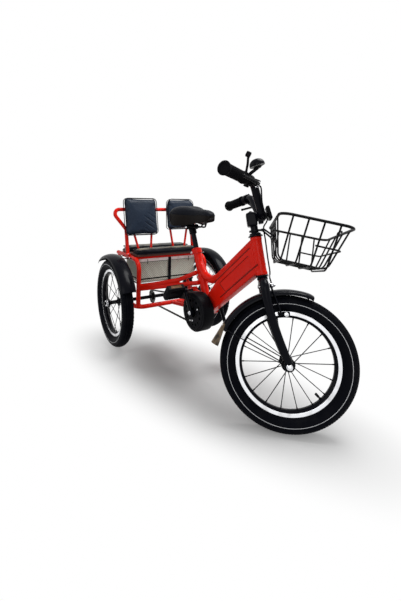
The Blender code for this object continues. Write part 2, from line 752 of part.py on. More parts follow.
def build_bell():
    """A domed bell that stands over the bar beside the grip, with its sprung striker and knob."""
    along = GRIP_HEADING[-1]
    spot = GRIP_END[-1] - along * BELL_BACK
    base = bar_ring("bell_base", spot, along, 0.006)
    seat = spot + Vector((0.030, -0.006, 0.038))
    lean = Vector((-0.41, -0.10, 0.91)).normalized()
    rise = (seat - spot).normalized()
    depth = 0.006
    post = rod("post", spot + rise * (BAR_RADIUS + 0.002), seat - lean * depth, 0.0052, 6, PLASTIC)
    outline = [(0, -depth), (0.0110, -depth), (0.0110, 0), (0, 0)]
    foot = turned("foot", outline, 8, PLASTIC, axle=lean, at=seat)
    root = spot + UP * (BAR_RADIUS + 0.002)
    tip = root + Vector((-0.0010, -0.0070, 0.0560))
    stick = rod("stick", root, tip, 0.0024, 4, PLASTIC)
    turn = Matrix.Rotation(math.radians(20), 3, "Y")
    knob = block("knob", (0.0120, 0.0120, 0.0120), tip, PLASTIC, 0.0, turn)
    base = fused(base, post, foot, stick, knob)
    profile = [(0, 0), (0.0225, 0), (0.0225, 0.006), (0.0190, 0.0150), (0.0110, 0.0205), (0, 0.0220)]
    dome = turned("bell_dome", profile, 12, BLACK, axle=lean, at=seat + lean * CLEARANCE)
    return base, dome


bell_base, bell_dome = build_bell()


def build_reflector():
    """The front reflector's housing on its arm, ahead of the handlebar clamp."""
    centre = BAR_CLAMP + Vector((CLAMP_RADIUS + 0.0045, 0.0, 0.0140))
    tilt = Matrix.Rotation(math.radians(-24), 3, "Y")
    shell = block("front_reflector", (0.0110, 0.050, 0.044), centre, PLASTIC, 0.003, tilt)
    arm = rod("arm", BAR_CLAMP + Vector((0.010, 0, 0.002)), centre, 0.0060, 8, PLASTIC)
    reach = SIDEWAYS * 0.040
    room = rod("room", BAR_CLAMP - reach, BAR_CLAMP + reach, snug(CLAMP_RADIUS, 12), 12, PLASTIC)
    return carved(fused(shell, arm), room)


front_reflector = build_reflector()
steered(headset_upper, stem, handlebar, *grips, right_bracket, right_lever, left_bracket, left_lever,
        bell_base, bell_dome, front_reflector)


# Wire basket, drawn in its own frame: x forward from its back, z up from its rim
BASKET_FRAME = (
    Matrix.Translation(on_axis(BASKET_RIM_Z) + Vector((BASKET_BACK + 0.017, 0.0, 0.0)))
    @ Matrix.Rotation(BASKET_TILT, 4, "Y")
)


def in_basket(x, y, z):
    return BASKET_FRAME @ Vector((x, y, z))


def rim_half_width(x):
    return (BASKET_BACK_WIDTH + (BASKET_FRONT_WIDTH - BASKET_BACK_WIDTH) * x / BASKET_LENGTH) / 2


def build_basket():
    """A basket of welded wire: a thick rim, bent side wires, a base grid and a lower front ring."""
    corners = [(0, -rim_half_width(0)), (BASKET_LENGTH, -rim_half_width(BASKET_LENGTH)),
               (BASKET_LENGTH, rim_half_width(BASKET_LENGTH)), (0, rim_half_width(0))]
    loop = []
    for index, (x, y) in enumerate(corners):
        before = Vector((*corners[index - 1], 0))
        here = Vector((x, y, 0))
        after = Vector((*corners[(index + 1) % 4], 0))
        back = (before - here).normalized() * 0.04
        ahead = (after - here).normalized() * 0.04
        loop += rounded([here + back, here, here + ahead], 0.030, 3)[1:-1]
    basket = hoop_bar("basket", [in_basket(*point) for point in loop], RIM_WIRE_RADIUS, 4, BLACK)
    floor = -BASKET_DEPTH
    base_half = 0.098
    base_back = 0.036
    base_front = BASKET_LENGTH - 0.040
    wires = []
    for index in range(4):
        x = base_back + (base_front - base_back) * index / 3
        half = rim_half_width(x)
        corners = [(x, -half, 0), (x, -base_half, floor), (x, base_half, floor), (x, half, 0)]
        route = rounded(corners, 0.022, 1)
        wires.append(bar("hoop", [in_basket(*point) for point in route], WIRE_RADIUS, 3, BLACK))
    for index in range(4):
        y = base_half * (index / 1.5 - 1) * 0.80
        low = floor + 0.0008
        route = rounded([(0, y * 1.30, 0), (base_back - 0.006, y, low), (base_front + 0.006, y, low),
                         (BASKET_LENGTH, y * 1.30, 0)], 0.022, 2)
        wires.append(bar("strand", [in_basket(*point) for point in route], WIRE_RADIUS * 0.98, 3, BLACK))
    share = 0.52
    middle = floor * share

    def band_half_width(x):
        return rim_half_width(x) + (base_half - rim_half_width(x)) * share

    third = base_back + (base_front - base_back) * 2 / 3
    front = BASKET_LENGTH + (base_front + 0.006 - BASKET_LENGTH) * share
    corners = [(third - 0.006, -band_half_width(third), middle), (front, -band_half_width(front), middle),
               (front, band_half_width(front), middle), (third - 0.006, band_half_width(third), middle)]
    route = rounded(corners, 0.016, 2)
    wires.append(bar("band", [in_basket(*point) for point in route], WIRE_RADIUS, 3, BLACK))
    lean = Matrix.Rotation(BASKET_TILT - 0.235, 3, "Y")
    plate = block("plate", (0.0030, 0.108, 0.066), in_basket(0.0078, 0, -0.036), BLACK, 0.0, lean)
    handle = ((-0.024, 0.0), (-0.018, 0.011), (0.018, 0.011), (0.024, 0.0))
    route = [in_basket(BASKET_LENGTH, y, z) for y, z in handle]
    wires.append(bar("handle", route, WIRE_RADIUS, 4, BLACK))
    return fused(basket, *wires, plate)


basket = build_basket()


def build_basket_bracket():
    """A flat arm from a ring on the quill to the basket's back plate."""
    centre = HEAD_TOP + STEER_AXIS * 0.0170
    hole = snug(QUILL_RADIUS, 12)
    ring = turned("basket_bracket", [(hole, 0), (0.0180, 0), (0.0180, 0.006), (hole, 0.006)], 12, BLACK,
                  axle=STEER_AXIS)
    ring.data.transform(Matrix.Translation(centre))
    start = centre + STEER_AHEAD * 0.0155 + STEER_AXIS * 0.003
    end = in_basket(0.0062, 0.0, -0.050)
    arms = []
    for side in (-1, 1):
        spread = SIDEWAYS * side
        corners = [start, start + STEER_AHEAD * 0.012 + spread * 0.020, end + spread * 0.030]
        arms.append(bar("arm", rounded(corners, 0.010, 2), 0.0030, 4, BLACK))
    tie = rod("tie", end - SIDEWAYS * 0.034, end + SIDEWAYS * 0.034, 0.0030, 5, BLACK)
    return fused(ring, tie, *arms)


basket_bracket = build_basket_bracket()
steered(basket, basket_bracket)


# Side pull caliper brake on the fork crown
CALIPER_PIVOT = HEAD_BOTTOM - STEER_AXIS * CALIPER_DROP
CALIPER_FACE = CALIPER_PIVOT + STEER_AHEAD * (FORK_BLADE_RADIUS + 0.0045)
PAD_RADIUS = RIM_RADIUS - 0.0065
PAD_GAP = 0.0016


def build_caliper():
    """Two curved arms on one bolt, each with a rubber block at the rim's braking face."""
    bolt = rod("caliper_bolt", CALIPER_PIVOT - STEER_AHEAD * 0.020, CALIPER_FACE + STEER_AHEAD * 0.0185,
               CALIPER_BOLT_RADIUS, 8, CHROME)
    nut = rod("nut", CALIPER_FACE + STEER_AHEAD * 0.0103, CALIPER_FACE + STEER_AHEAD * 0.0155, 0.0062, 6,
              CHROME)
    seat = rod("seat", CALIPER_FACE - STEER_AHEAD * 0.0040, CALIPER_FACE, 0.0055, 8, CHROME)
    bolt = fused(bolt, nut, seat)
    arms = []
    for side, label, layer, lift in ((-1, "right", 0.0026, 0.0020), (1, "left", 0.0075, 0.0240)):
        hinge = CALIPER_FACE + STEER_AHEAD * layer
        angle = math.radians(102)
        rim_out = Vector((math.cos(angle), 0.0, math.sin(angle)))
        beside = SIDEWAYS * side * (RIM_WIDTH / 2 + PAD_GAP + 0.0045)
        shoe = FRONT_AXLE + rim_out * PAD_RADIUS + beside
        knee = hinge + SIDEWAYS * side * 0.040 - STEER_AXIS * 0.012
        ear = hinge + SIDEWAYS * 0.036 + STEER_AXIS * lift
        below = Vector((shoe.x, knee.y, shoe.z)) + STEER_AHEAD * 0.004
        outward = SIDEWAYS * side
        route = rounded([hinge - outward * 0.004, hinge + outward * 0.018, knee, below], 0.010, 2)
        arm = bar(label + "_caliper_arm", route, 0.0042, 6, BLACK, 0.55, STEER_AHEAD)
        arm = fused(arm, bar("ear", [hinge, ear], 0.0040, 6, BLACK, 0.55, STEER_AHEAD))
        thick = STEER_AHEAD * 0.0023
        boss = rod("boss", hinge - thick, hinge + thick, 0.0085, 8, BLACK)
        holder = rod("holder", below - outward * 0.010, below + outward * 0.007, 0.0042, 6, BLACK)
        rubber = block("rubber", (0.036, 0.009, 0.010), shoe, BLACK, 0.0,
                       Matrix.Rotation(math.radians(90) - angle, 3, "Y"))
        link = rod("link", shoe, below, 0.0034, 6, BLACK)
        arm = fused(arm, boss, holder, rubber, link)
        reach = STEER_AHEAD * 0.012
        arm = carved(arm, rod("hole", hinge - reach, hinge + reach, snug(CALIPER_BOLT_RADIUS, 8), 8, BLACK))
        arm.data.transform(Matrix.Translation(-hinge))
        arm.location = hinge
        arms.append(arm)
    return bolt, arms


caliper_bolt, caliper_arms = build_caliper()
steered(caliper_bolt, *caliper_arms)


def smooth_route(points, steps):
    """A smooth curve through the points, with the given number of steps from each to the next."""
    points = [Vector(point) for point in points]
    ends = [points[0] * 2 - points[1], *points, points[-1] * 2 - points[-2]]
    route = []
    for before, start, end, after in zip(ends, ends[1:], ends[2:], ends[3:]):
        for step in range(steps):
            t = step / steps
            route.append(0.5 * (
                start * 2 + (end - before) * t
                + (before * 2 - start * 5 + end * 4 - after) * t**2
                + (start * 3 - before - end * 3 + after) * t**3
            ))
    route.append(points[-1])
    return route


def build_brake_cable():
    """The front brake's cable housing: from the right lever along the bar, then down to the caliper."""
    along = GRIP_HEADING[-1]
    ahead = (along.cross(UP).normalized() * -1 - UP * 0.35).normalized()
    low_ear = ahead * 0.020 - along.cross(ahead) * 0.0085
    bracket = GRIP_END[-1] - along * LEVER_BACK + low_ear
    start, corner, _ = bar_route(-1)
    points = [
        bracket - along * 0.0084,
        bracket - along * 0.0160,
        corner + Vector((0.0240, 0.0030, -0.0110)),
        start.lerp(corner, 0.62) + Vector((0.0188, 0.0, -0.0183)),
        start.lerp(corner, 0.28) + Vector((0.0170, -0.0020, -0.0160)),
        BAR_CLAMP + Vector((0.0180, -0.0290, -0.0100)),
        BAR_CLAMP + Vector((0.0180, -0.0150, -0.0190)),
        side_point(0.6815, -0.0030, 0.6180),
        side_point(0.6930, 0.0, 0.5790),
        side_point(0.7090, 0.0060, 0.5220),
        side_point(0.7230, 0.0270, 0.4820),
        CALIPER_FACE + STEER_AHEAD * 0.0075 + SIDEWAYS * 0.0340 + STEER_AXIS * 0.0285,
    ]
    data = bpy.data.curves.new("front_brake_cable", "CURVE")
    data.dimensions = "3D"
    data.bevel_depth = 0.0024
    data.bevel_resolution = 2
    data.use_fill_caps = True
    route = smooth_route(points, 3)
    spline = data.splines.new("POLY")
    spline.points.add(len(route) - 1)
    for knot, point in zip(spline.points, route):
        knot.co = (*point, 1.0)
    spline.use_smooth = True
    data.materials.append(PLASTIC)
    cable = bpy.data.objects.new("front_brake_cable", data)
    bpy.context.scene.collection.objects.link(cable)
    return cable


brake_cable = build_brake_cable()
steered(brake_cable)


# Front frame
CRANK = side_point(CRANK_X, 0.0, CRANK_Z)
SEAT_TUBE_TOP = side_point(0.307, 0.0, 0.498)
SEAT_TUBE_AXIS = (SEAT_TUBE_TOP - CRANK).normalized()
SPINDLE_RADIUS = 0.0080


def by_crank(ahead, above):
    """A point in the middle plane, given from the crank's axis."""
    return CRANK + Vector((ahead, 0.0, above))


def build_front_frame():
    """Head tube, curved top rail, box beam, seat tube and crank shell, welded into one."""
    length = (HEAD_TOP - HEAD_BOTTOM).length
    head = turned("front_frame", [(0, 0), (HEAD_RADIUS, 0), (HEAD_RADIUS, length), (0, length)],
                  14, RED, axle=STEER_AXIS, at=HEAD_BOTTOM)
    head_end = HEAD_TOP + Vector((-0.0029, 0, -0.0190))
    dip = [by_crank(*spot) for spot in ((0.059, 0.146), (0.015, 0.126), (-0.035, 0.134), (-0.081, 0.180))]
    rail = bar("rail", rounded([head_end, *dip], 0.045, 2), RAIL_RADIUS, 10, RED)
    low_end = [HEAD_BOTTOM + Vector((-0.0074, 0, 0.0054))]
    high_end = [HEAD_TOP + Vector((-0.0204, 0, -0.031)), HEAD_TOP + Vector((0.0036, 0, -0.025))]
    heel = [by_crank(*spot) for spot in ((0.086, 0.047), (0.011, -0.019), (-0.011, -0.004), (-0.004, 0.046),
                                         (0.027, 0.090), (0.049, 0.132), (0.107, 0.186))]
    corners = low_end + heel + high_end
    outline = [(corner.x, corner.z) for corner in corners]
    beam = slab("beam", outline, -BEAM_HALF_WIDTH, BEAM_HALF_WIDTH, RED, 0.0028)
    shell = rod("shell", CRANK - SIDEWAYS * BRACKET_HALF_WIDTH, CRANK + SIDEWAYS * BRACKET_HALF_WIDTH,
                BRACKET_RADIUS, 12, RED)
    tube = rod("tube", CRANK, SEAT_TUBE_TOP, SEAT_TUBE_RADIUS, 10, RED)
    frame = fused(head, rail, beam, shell, tube)
    beyond = STEER_AXIS * 0.010
    hole = snug(STEERER_RADIUS, 12)
    steerer = rod("steerer_bore", HEAD_BOTTOM - beyond, HEAD_TOP + beyond, hole, 12, RED)
    post = rod("post_bore", SEAT_TUBE_TOP - SEAT_TUBE_AXIS * 0.150, SEAT_TUBE_TOP + SEAT_TUBE_AXIS * 0.010,
               snug(SEAT_POST_RADIUS, 10), 10, RED)
    reach = SIDEWAYS * (BRACKET_HALF_WIDTH + 0.010)
    bore = rod("spindle_bore", CRANK - reach, CRANK + reach, snug(SPINDLE_RADIUS, 12), 12, RED)
    cuts = [steerer, post, bore]
    corners = [HEAD_BOTTOM + Vector((-0.0424, 0, -0.0026)), by_crank(0.092, 0.074), by_crank(0.047, 0.037),
               by_crank(0.039, 0.058), by_crank(0.067, 0.092), HEAD_BOTTOM + Vector((-0.0674, 0, 0.0224))]
    inset = [(corner.x, corner.z) for corner in corners]
    for side in (-1, 1):
        floor = side * (BEAM_HALF_WIDTH - INSET_DEPTH)
        cuts.append(slab("inset", inset, floor, side * (BEAM_HALF_WIDTH + 0.004), RED))
    return carved(frame, *cuts)


front_frame = build_front_frame()


def build_seat_clamp():
    """A collar round the seat tube's top, pinched by a bolt behind."""
    low = SEAT_TUBE_TOP - SEAT_TUBE_AXIS * 0.024
    hole = snug(SEAT_TUBE_RADIUS, 12)
    profile = [(hole, 0), (0.0210, 0), (0.0210, 0.022), (hole, 0.022)]
    collar = turned("seat_clamp", profile, 12, RED, axle=SEAT_TUBE_AXIS, at=low)
    back = SEAT_TUBE_AXIS.cross(SIDEWAYS).normalized() * -1
    if back.x > 0:
        back = -back
    centre = low + SEAT_TUBE_AXIS * 0.011 + back * 0.0265
    ears = block("ears", (0.016, 0.016, 0.016), centre, RED, 0.002,
                 UP.rotation_difference(SEAT_TUBE_AXIS).to_matrix())
    bolt = rod("bolt", centre - SIDEWAYS * 0.016, centre + SIDEWAYS * 0.016, 0.0040, 6, RED)
    return fused(collar, ears, bolt)


seat_clamp = build_seat_clamp()
POST_TOP = SEAT_TUBE_TOP + SEAT_TUBE_AXIS * ((0.580 - SEAT_TUBE_TOP.z) / SEAT_TUBE_AXIS.z)
seat_post = rod("seat_post", SEAT_TUBE_TOP - SEAT_TUBE_AXIS * 0.120, POST_TOP, SEAT_POST_RADIUS, 12, BLACK)


# Saddle
SADDLE_SECTIONS = (
    # ahead of the rear axle, half width, top, lower edge
    (0.183, 0.036, 0.655, 0.628),
    (0.186, 0.058, 0.662, 0.617),
    (0.195, 0.073, 0.669, 0.609),
    (0.212, 0.081, 0.674, 0.604),
    (0.234, 0.083, 0.676, 0.601),
    (0.256, 0.078, 0.675, 0.600),
    (0.278, 0.067, 0.672, 0.600),
    (0.300, 0.053, 0.669, 0.601),
    (0.325, 0.041, 0.667, 0.603),
    (0.352, 0.034, 0.666, 0.605),
    (0.380, 0.030, 0.664, 0.607),
    (0.402, 0.024, 0.657, 0.614),
    (0.414, 0.013, 0.646, 0.627),
)


def build_saddle():
    """A padded shell: domed top, shoulders, a seam drawn in below them and a skirt that tucks under."""
    mesh = bmesh.new()
    rings = []
    across = ((0.0, 1.0), (0.40, 0.98), (0.76, 0.88), (0.96, 0.66), (0.975, 0.56), (1.0, 0.46),
              (0.985, 0.16), (0.90, 0.0), (0.45, 0.02))
    for ahead, half, top, low in SADDLE_SECTIONS:
        height = top - low
        points = [(half * y, low + height * z) for y, z in across]
        points += [(0.0, low + height * 0.03)]
        points += [(-half * y, low + height * z) for y, z in reversed(across[1:])]
        rings.append([mesh.verts.new(side_point(ahead, y, z)) for y, z in points])
    count = len(rings[0])
    for ring, following in zip(rings, rings[1:]):
        for index in range(count):
            after = (index + 1) % count
            mesh.faces.new((ring[index], ring[after], following[after], following[index]))
    mesh.faces.new(rings[0])
    mesh.faces.new(list(reversed(rings[-1])))
    return node("saddle", mesh, VINYL)


saddle = build_saddle()


def build_saddle_frame():
    """Two steel rails under the saddle, gripped by a clamp on the post's top."""
    grip_at = POST_TOP - SEAT_TUBE_AXIS * 0.010
    profile = [(0, -0.014), (0.0160, -0.014), (0.0160, 0.013), (0, 0.013)]
    clamp = turned("saddle_frame", profile, 12, PLASTIC, axle=SEAT_TUBE_AXIS, at=grip_at)
    heart = side_point(0.268, 0.0, 0.5870)
    pieces = [rod("cross", heart - SIDEWAYS * 0.027, heart + SIDEWAYS * 0.027, 0.0110, 6, PLASTIC)]
    for side in (-1, 1):
        y = side * 0.020
        route = rounded([side_point(0.222, y * 1.3, 0.6037), side_point(0.222, y * 1.3, 0.589),
                         side_point(0.330, y, 0.589), side_point(0.356, y * 0.45, 0.5935),
                         side_point(0.356, y * 0.45, 0.6061)], 0.006, 2)
        pieces.append(bar("rail", route, 0.0035, 4, PLASTIC))
    post = rod("post", grip_at - SEAT_TUBE_AXIS * 0.030, POST_TOP + SEAT_TUBE_AXIS * CLEARANCE,
               snug(SEAT_POST_RADIUS, 12), 12, PLASTIC)
    return carved(fused(clamp, *pieces), post)


saddle_frame = build_saddle_frame()


# Rear frame
def build_rear_frame():
    """Side rails that turn down to an axle loop, seat cross tubes, bearing rings and the stays."""
    behind = -0.056
    ahead = 0.124
    corners = [(behind, -LOOP_HALF_WIDTH), (ahead, -LOOP_HALF_WIDTH), (ahead, LOOP_HALF_WIDTH),
               (behind, LOOP_HALF_WIDTH)]
    loop = rounded([side_point(x, y, REAR_AXLE_Z) for x, y in corners], 0.042, 3)
    frame = bar("rear_frame", loop, FRAME_TUBE_RADIUS, 10, RED)
    pieces = []
    for side in (-1, 1):
        y = side * SIDE_Y
        rail = rounded([side_point(-0.168, y, SIDE_RAIL_Z), side_point(UPRIGHT_X, y, SIDE_RAIL_Z),
                        side_point(UPRIGHT_X, y + side * 0.004, REAR_AXLE_Z)], 0.048, 3)
        pieces.append(bar("rail", rail, FRAME_TUBE_RADIUS, 10, RED))
        brace_foot = side_point(-0.046, side * LOOP_HALF_WIDTH, REAR_AXLE_Z)
        brace = [side_point(-0.150, y, SIDE_RAIL_Z), brace_foot]
        pieces.append(bar("brace", brace, FRAME_TUBE_RADIUS * 0.86, 6, RED))
        inner = side_point(0, side * (LOOP_HALF_WIDTH - 0.0125), REAR_AXLE_Z)
        pieces.append(rod("bearing_ring", inner, inner + SIDEWAYS * side * 0.025, 0.0210, 10, RED))
        for height, knee, low in ((0.402, 0.352, 0.302), (0.362, 0.330, 0.291)):
            up_tube = SEAT_TUBE_AXIS * ((height - CRANK.z) / SEAT_TUBE_AXIS.z)
            start = CRANK + up_tube + SIDEWAYS * side * 0.008
            corners = [start, side_point(0.252, side * 0.052, knee), side_point(UPRIGHT_X, y, low)]
            pieces.append(bar("stay", rounded(corners, 0.060, 1), STAY_RADIUS, 6, RED))
        pieces.append(rod("chain_stay", CRANK + Vector((-0.012, side * 0.015, -0.004)),
                          side_point(0.126, side * 0.015, REAR_AXLE_Z), 0.0085, 6, RED))
    for ahead in (-0.1175, HOOP_X, 0.0615):
        z = SIDE_RAIL_Z + FRAME_TUBE_RADIUS - CROSS_TUBE_RADIUS
        pieces.append(rod("cross_tube", side_point(ahead, -SIDE_Y, z), side_point(ahead, SIDE_Y, z),
                          CROSS_TUBE_RADIUS, 6, RED))
    frame = fused(frame, *pieces)
    cuts = []
    for side in (-1, 1):
        inner = side_point(0, side * (LOOP_HALF_WIDTH - 0.030), REAR_AXLE_Z)
        outer = side_point(0, side * (LOOP_HALF_WIDTH + 0.030), REAR_AXLE_Z)
        cuts.append(rod("bearing_seat", inner, outer, snug(BEARING_RADIUS, 12), 12, RED))
    foot = CRANK - SEAT_TUBE_AXIS * 0.010
    cuts.append(rod("seat_tube_cope", foot, SEAT_TUBE_TOP, snug(SEAT_TUBE_RADIUS, 10), 10, RED))
    reach = SIDEWAYS * 0.060
    cuts.append(rod("shell_cope", CRANK - reach, CRANK + reach, snug(BRACKET_RADIUS, 12), 12, RED))
    return carved(frame, *cuts)


rear_frame = build_rear_frame()


def build_rear_axle():
    """One shaft through both bearings, with the wheels' nuts outside."""
    reach = TRACK / 2 + REAR_HUB_WIDTH / 2 + 0.017
    profile = [(0, -reach), (0.0065, -reach), (REAR_AXLE_RADIUS, -reach + 0.002),
               (REAR_AXLE_RADIUS, reach - 0.002), (0.0065, reach), (0, reach)]
    axle = turned("rear_axle", profile, 10, BLACK, at=side_point(0, 0, REAR_AXLE_Z))
    for side, label in ((-1, "right"), (1, "left")):
        hole = snug(REAR_AXLE_RADIUS, 12)
        bearing = [(hole, -0.0120), (BEARING_RADIUS, -0.0120), (BEARING_RADIUS, 0.0120), (hole, 0.0120)]
        seat = side_point(0, side * LOOP_HALF_WIDTH, REAR_AXLE_Z)
        turned(label + "_axle_bearing", bearing, 12, BLACK, at=seat)
        hole = snug(REAR_AXLE_RADIUS, 6)
        nut = [(hole, 0), (0.0150, 0), (0.0150, 0.009), (hole, 0.009)]
        face = side_point(0, side * (TRACK / 2 + REAR_HUB_WIDTH / 2 + CLEARANCE), REAR_AXLE_Z)
        turned(label + "_axle_nut", nut, 6, CHROME, axle=SIDEWAYS * side, at=face)
    return axle


rear_axle = build_rear_axle()

for side, label in ((-1, "right"), (1, "left")):
    wheel_centre = side_point(0, side * TRACK / 2, REAR_AXLE_Z)
    guard = fender(label + "_rear_fender", REAR_FENDER_RADIUS, REAR_FENDER_HALF_WIDTH, math.radians(26),
                   math.radians(128), 8, wheel_centre, BLACK)
    # Two short bars reach from the rail's side to the fender's inner edge, at the height where it passes.
    inner_edge = TRACK / 2 - REAR_FENDER_HALF_WIDTH + FENDER_WALL
    rail_side = SIDE_Y + FRAME_TUBE_RADIUS * math.cos(math.pi / 10) + CLEARANCE
    middle = side * (rail_side + inner_edge) / 2
    edge_radius = REAR_FENDER_RADIUS - 0.0130
    brackets = []
    for ahead in (-0.062, 0.040):
        height = REAR_AXLE_Z + math.sqrt(edge_radius**2 - ahead**2)
        size = (0.020, inner_edge - rail_side, 0.0030)
        brackets.append(block("bracket", size, side_point(ahead, middle, height), BLACK))
    fused(guard, *brackets)


# Cranks, chain and their case
def pitch_radius(teeth):
    return CHAIN_PITCH / 2 / math.sin(math.pi / teeth)


def sprocket(name, teeth, centre, boss_radius, boss_half, bore, holes):
    """A toothed disc with a boss round its bore and lightening holes."""
    outline = []
    radius = pitch_radius(teeth)
    for index in range(teeth):
        for share, lift in ((0.0, -0.0036), (0.36, 0.0006), (0.64, 0.0006)):
            angle = 2 * math.pi * (index + share) / teeth
            outline.append((math.cos(angle) * (radius + lift), math.sin(angle) * (radius + lift)))
    disc = slab(name, outline, -0.0011, 0.0011, BLACK)
    outline = [(0, -boss_half), (boss_radius, -boss_half), (boss_radius, boss_half), (0, boss_half)]
    boss = turned("boss", outline, 12, BLACK)
    disc = fused(disc, boss)
    reach = SIDEWAYS * (boss_half + 0.010)
    cuts = [rod("bore", -reach, reach, bore, 10, BLACK)]
    for index in range(holes):
        angle = 2 * math.pi * index / holes
        spot = Vector((math.cos(angle), 0, math.sin(angle))) * radius * 0.60
        cuts.append(rod("hole", spot - reach, spot + reach, radius * 0.20, 6, BLACK))
    disc = carved(disc, *cuts)
    disc.location = centre
    return disc


chainring = sprocket("chainring", CRANK_TEETH, CRANK + SIDEWAYS * CHAIN_Y, 0.016, 0.005,
                     snug(SPINDLE_RADIUS, 10), 0)
axle_sprocket = sprocket("axle_sprocket", AXLE_TEETH, side_point(0, CHAIN_Y, REAR_AXLE_Z), 0.017, 0.010,
                         snug(REAR_AXLE_RADIUS, 10), 0)


def chain_line(offset):
    """The chain's closed outline in (x, z), offset outwards from its pitch line."""
    big = pitch_radius(CRANK_TEETH) + offset
    small = pitch_radius(AXLE_TEETH) + offset
    rise = math.atan2(CRANK_Z - REAR_AXLE_Z, CRANK_X)
    spread = math.asin((big - small) / math.hypot(CRANK_X, CRANK_Z - REAR_AXLE_Z))
    points = []
    top = rise + spread + math.pi / 2
    bottom = rise - spread - math.pi / 2
    for step in range(12):
        angle = bottom + (top - bottom) * step / 11
        points.append((at_x(CRANK_X) + big * math.cos(angle), CRANK_Z + big * math.sin(angle)))
    for step in range(8):
        angle = top + (bottom + 2 * math.pi - top) * step / 7
        points.append((at_x(0) + small * math.cos(angle), REAR_AXLE_Z + small * math.sin(angle)))
    return points


def build_chain():
    """The chain as one closed loop, grooved inside so that the teeth run in it."""
    half = 0.0030
    groove = 0.00145
    section = [(-0.0038, -half), (0.0038, -half), (0.0038, half), (-0.0038, half), (-0.0038, groove),
               (0.0022, groove), (0.0022, -groove), (-0.0038, -groove)]
    loops = [[(x, CHAIN_Y + y, z) for x, z in chain_line(offset)] for offset, y in section]
    mesh = bmesh.new()
    rings = [[mesh.verts.new(point) for point in loop] for loop in loops]
    count = len(rings[0])
    for ring, following in zip(rings, rings[1:] + rings[:1]):
        for index in range(count):
            after = (index + 1) % count
            mesh.faces.new((ring[index], ring[after], following[after], following[index]))
    return node("chain", mesh, BLACK)


chain = build_chain()


def case_outline(inset, back_end):
    """The chain case seen from the side: a disc round the chainring and an arm over the upper run."""
    radius = CASE_RADIUS - inset
    rise = CRANK_Z - REAR_AXLE_Z
    taper = pitch_radius(CRANK_TEETH) - pitch_radius(AXLE_TEETH)
    slope = math.atan2(rise, CRANK_X) + math.asin(taper / math.hypot(CRANK_X, rise))
    away = Vector((-math.sin(slope), math.cos(slope)))
    along = Vector((math.cos(slope), math.sin(slope)))
    centre = Vector((CRANK.x, CRANK_Z))
    top = slope + math.pi / 2
    low_lift = pitch_radius(CRANK_TEETH) - 0.012 + inset
    points = []
    start = top - 2 * math.pi + math.acos(low_lift / radius)
    for step in range(15):
        angle = start + (top - start) * step / 14
        points.append(centre + Vector((math.cos(angle), math.sin(angle))) * radius)
    tip = centre + away * (pitch_radius(CRANK_TEETH) + 0.013 - inset) - along * back_end
    points.append(tip)
    points.append(centre + away * low_lift - along * back_end)
    return [(point.x, point.y) for point in points]


def build_chain_case():
    """A hollow case: side walls and a rim round the chainring, open behind where the chain leaves."""
    case = slab("chain_case", case_outline(0.0, 0.205), CASE_OUTER_Y, CASE_INNER_Y, PLASTIC)
    outer_wall = CASE_OUTER_Y + CASE_WALL
    inner_wall = CASE_INNER_Y - CASE_WALL
    room = slab("room", case_outline(CASE_WALL, 0.230), outer_wall, inner_wall, PLASTIC)
    reach = SIDEWAYS * 0.010
    inner = CRANK + SIDEWAYS * CASE_INNER_Y
    outer = CRANK + SIDEWAYS * CASE_OUTER_Y
    inner_hole = rod("inner_hole", inner - reach, inner + reach, snug(BRACKET_RADIUS, 14), 14, PLASTIC)
    outer_hole = rod("outer_hole", outer - reach, outer + reach, 0.019, 12, PLASTIC)
    lower_run = side_point(CRANK_X - 0.068, CHAIN_Y, CRANK_Z - 0.0615)
    exit_slot = block("exit_slot", (0.060, 0.026, 0.022), lower_run, PLASTIC)
    return carved(case, room, inner_hole, outer_hole, exit_slot)


chain_case = build_chain_case()


def build_crank():
    """A one piece crank: spindle and both arms, with an eye at each arm's end."""
    reach = Vector((math.cos(CRANK_ANGLE), 0, math.sin(CRANK_ANGLE))) * CRANK_LENGTH
    right = CRANK + SIDEWAYS * -CRANK_ARM_Y
    left = CRANK + SIDEWAYS * LEFT_ARM_Y
    spindle = rod("crank", right, left, SPINDLE_RADIUS, 10, BLACK)
    pieces = []
    for start, direction, side in ((right, 1, -1), (left, -1, 1)):
        end = start + reach * direction + SIDEWAYS * side * 0.004
        pieces.append(bar("arm", [start, start + reach * direction * 0.5 + SIDEWAYS * side * 0.001, end],
                          [0.0100, 0.0088, 0.0082], 8, BLACK, 0.72, SIDEWAYS))
        pieces.append(rod("eye", end - SIDEWAYS * 0.0065, end + SIDEWAYS * 0.0065, 0.0105, 8, BLACK))
        pieces.append(rod("root", start - SIDEWAYS * 0.0070, start + SIDEWAYS * 0.0070, 0.0130, 8, BLACK))
    crank = fused(spindle, *pieces)
    holes = []
    for start, direction, side in ((right, 1, -1), (left, -1, 1)):
        end = start + reach * direction + SIDEWAYS * side * 0.004
        reach_out = SIDEWAYS * 0.012
        holes.append(rod("eye_hole", end - reach_out, end + reach_out, snug(PEDAL_SPINDLE_RADIUS, 8), 8, BLACK))
    crank = carved(crank, *holes)
    crank.data.transform(Matrix.Translation(-CRANK))
    crank.location = CRANK
    return crank


crank = build_crank()


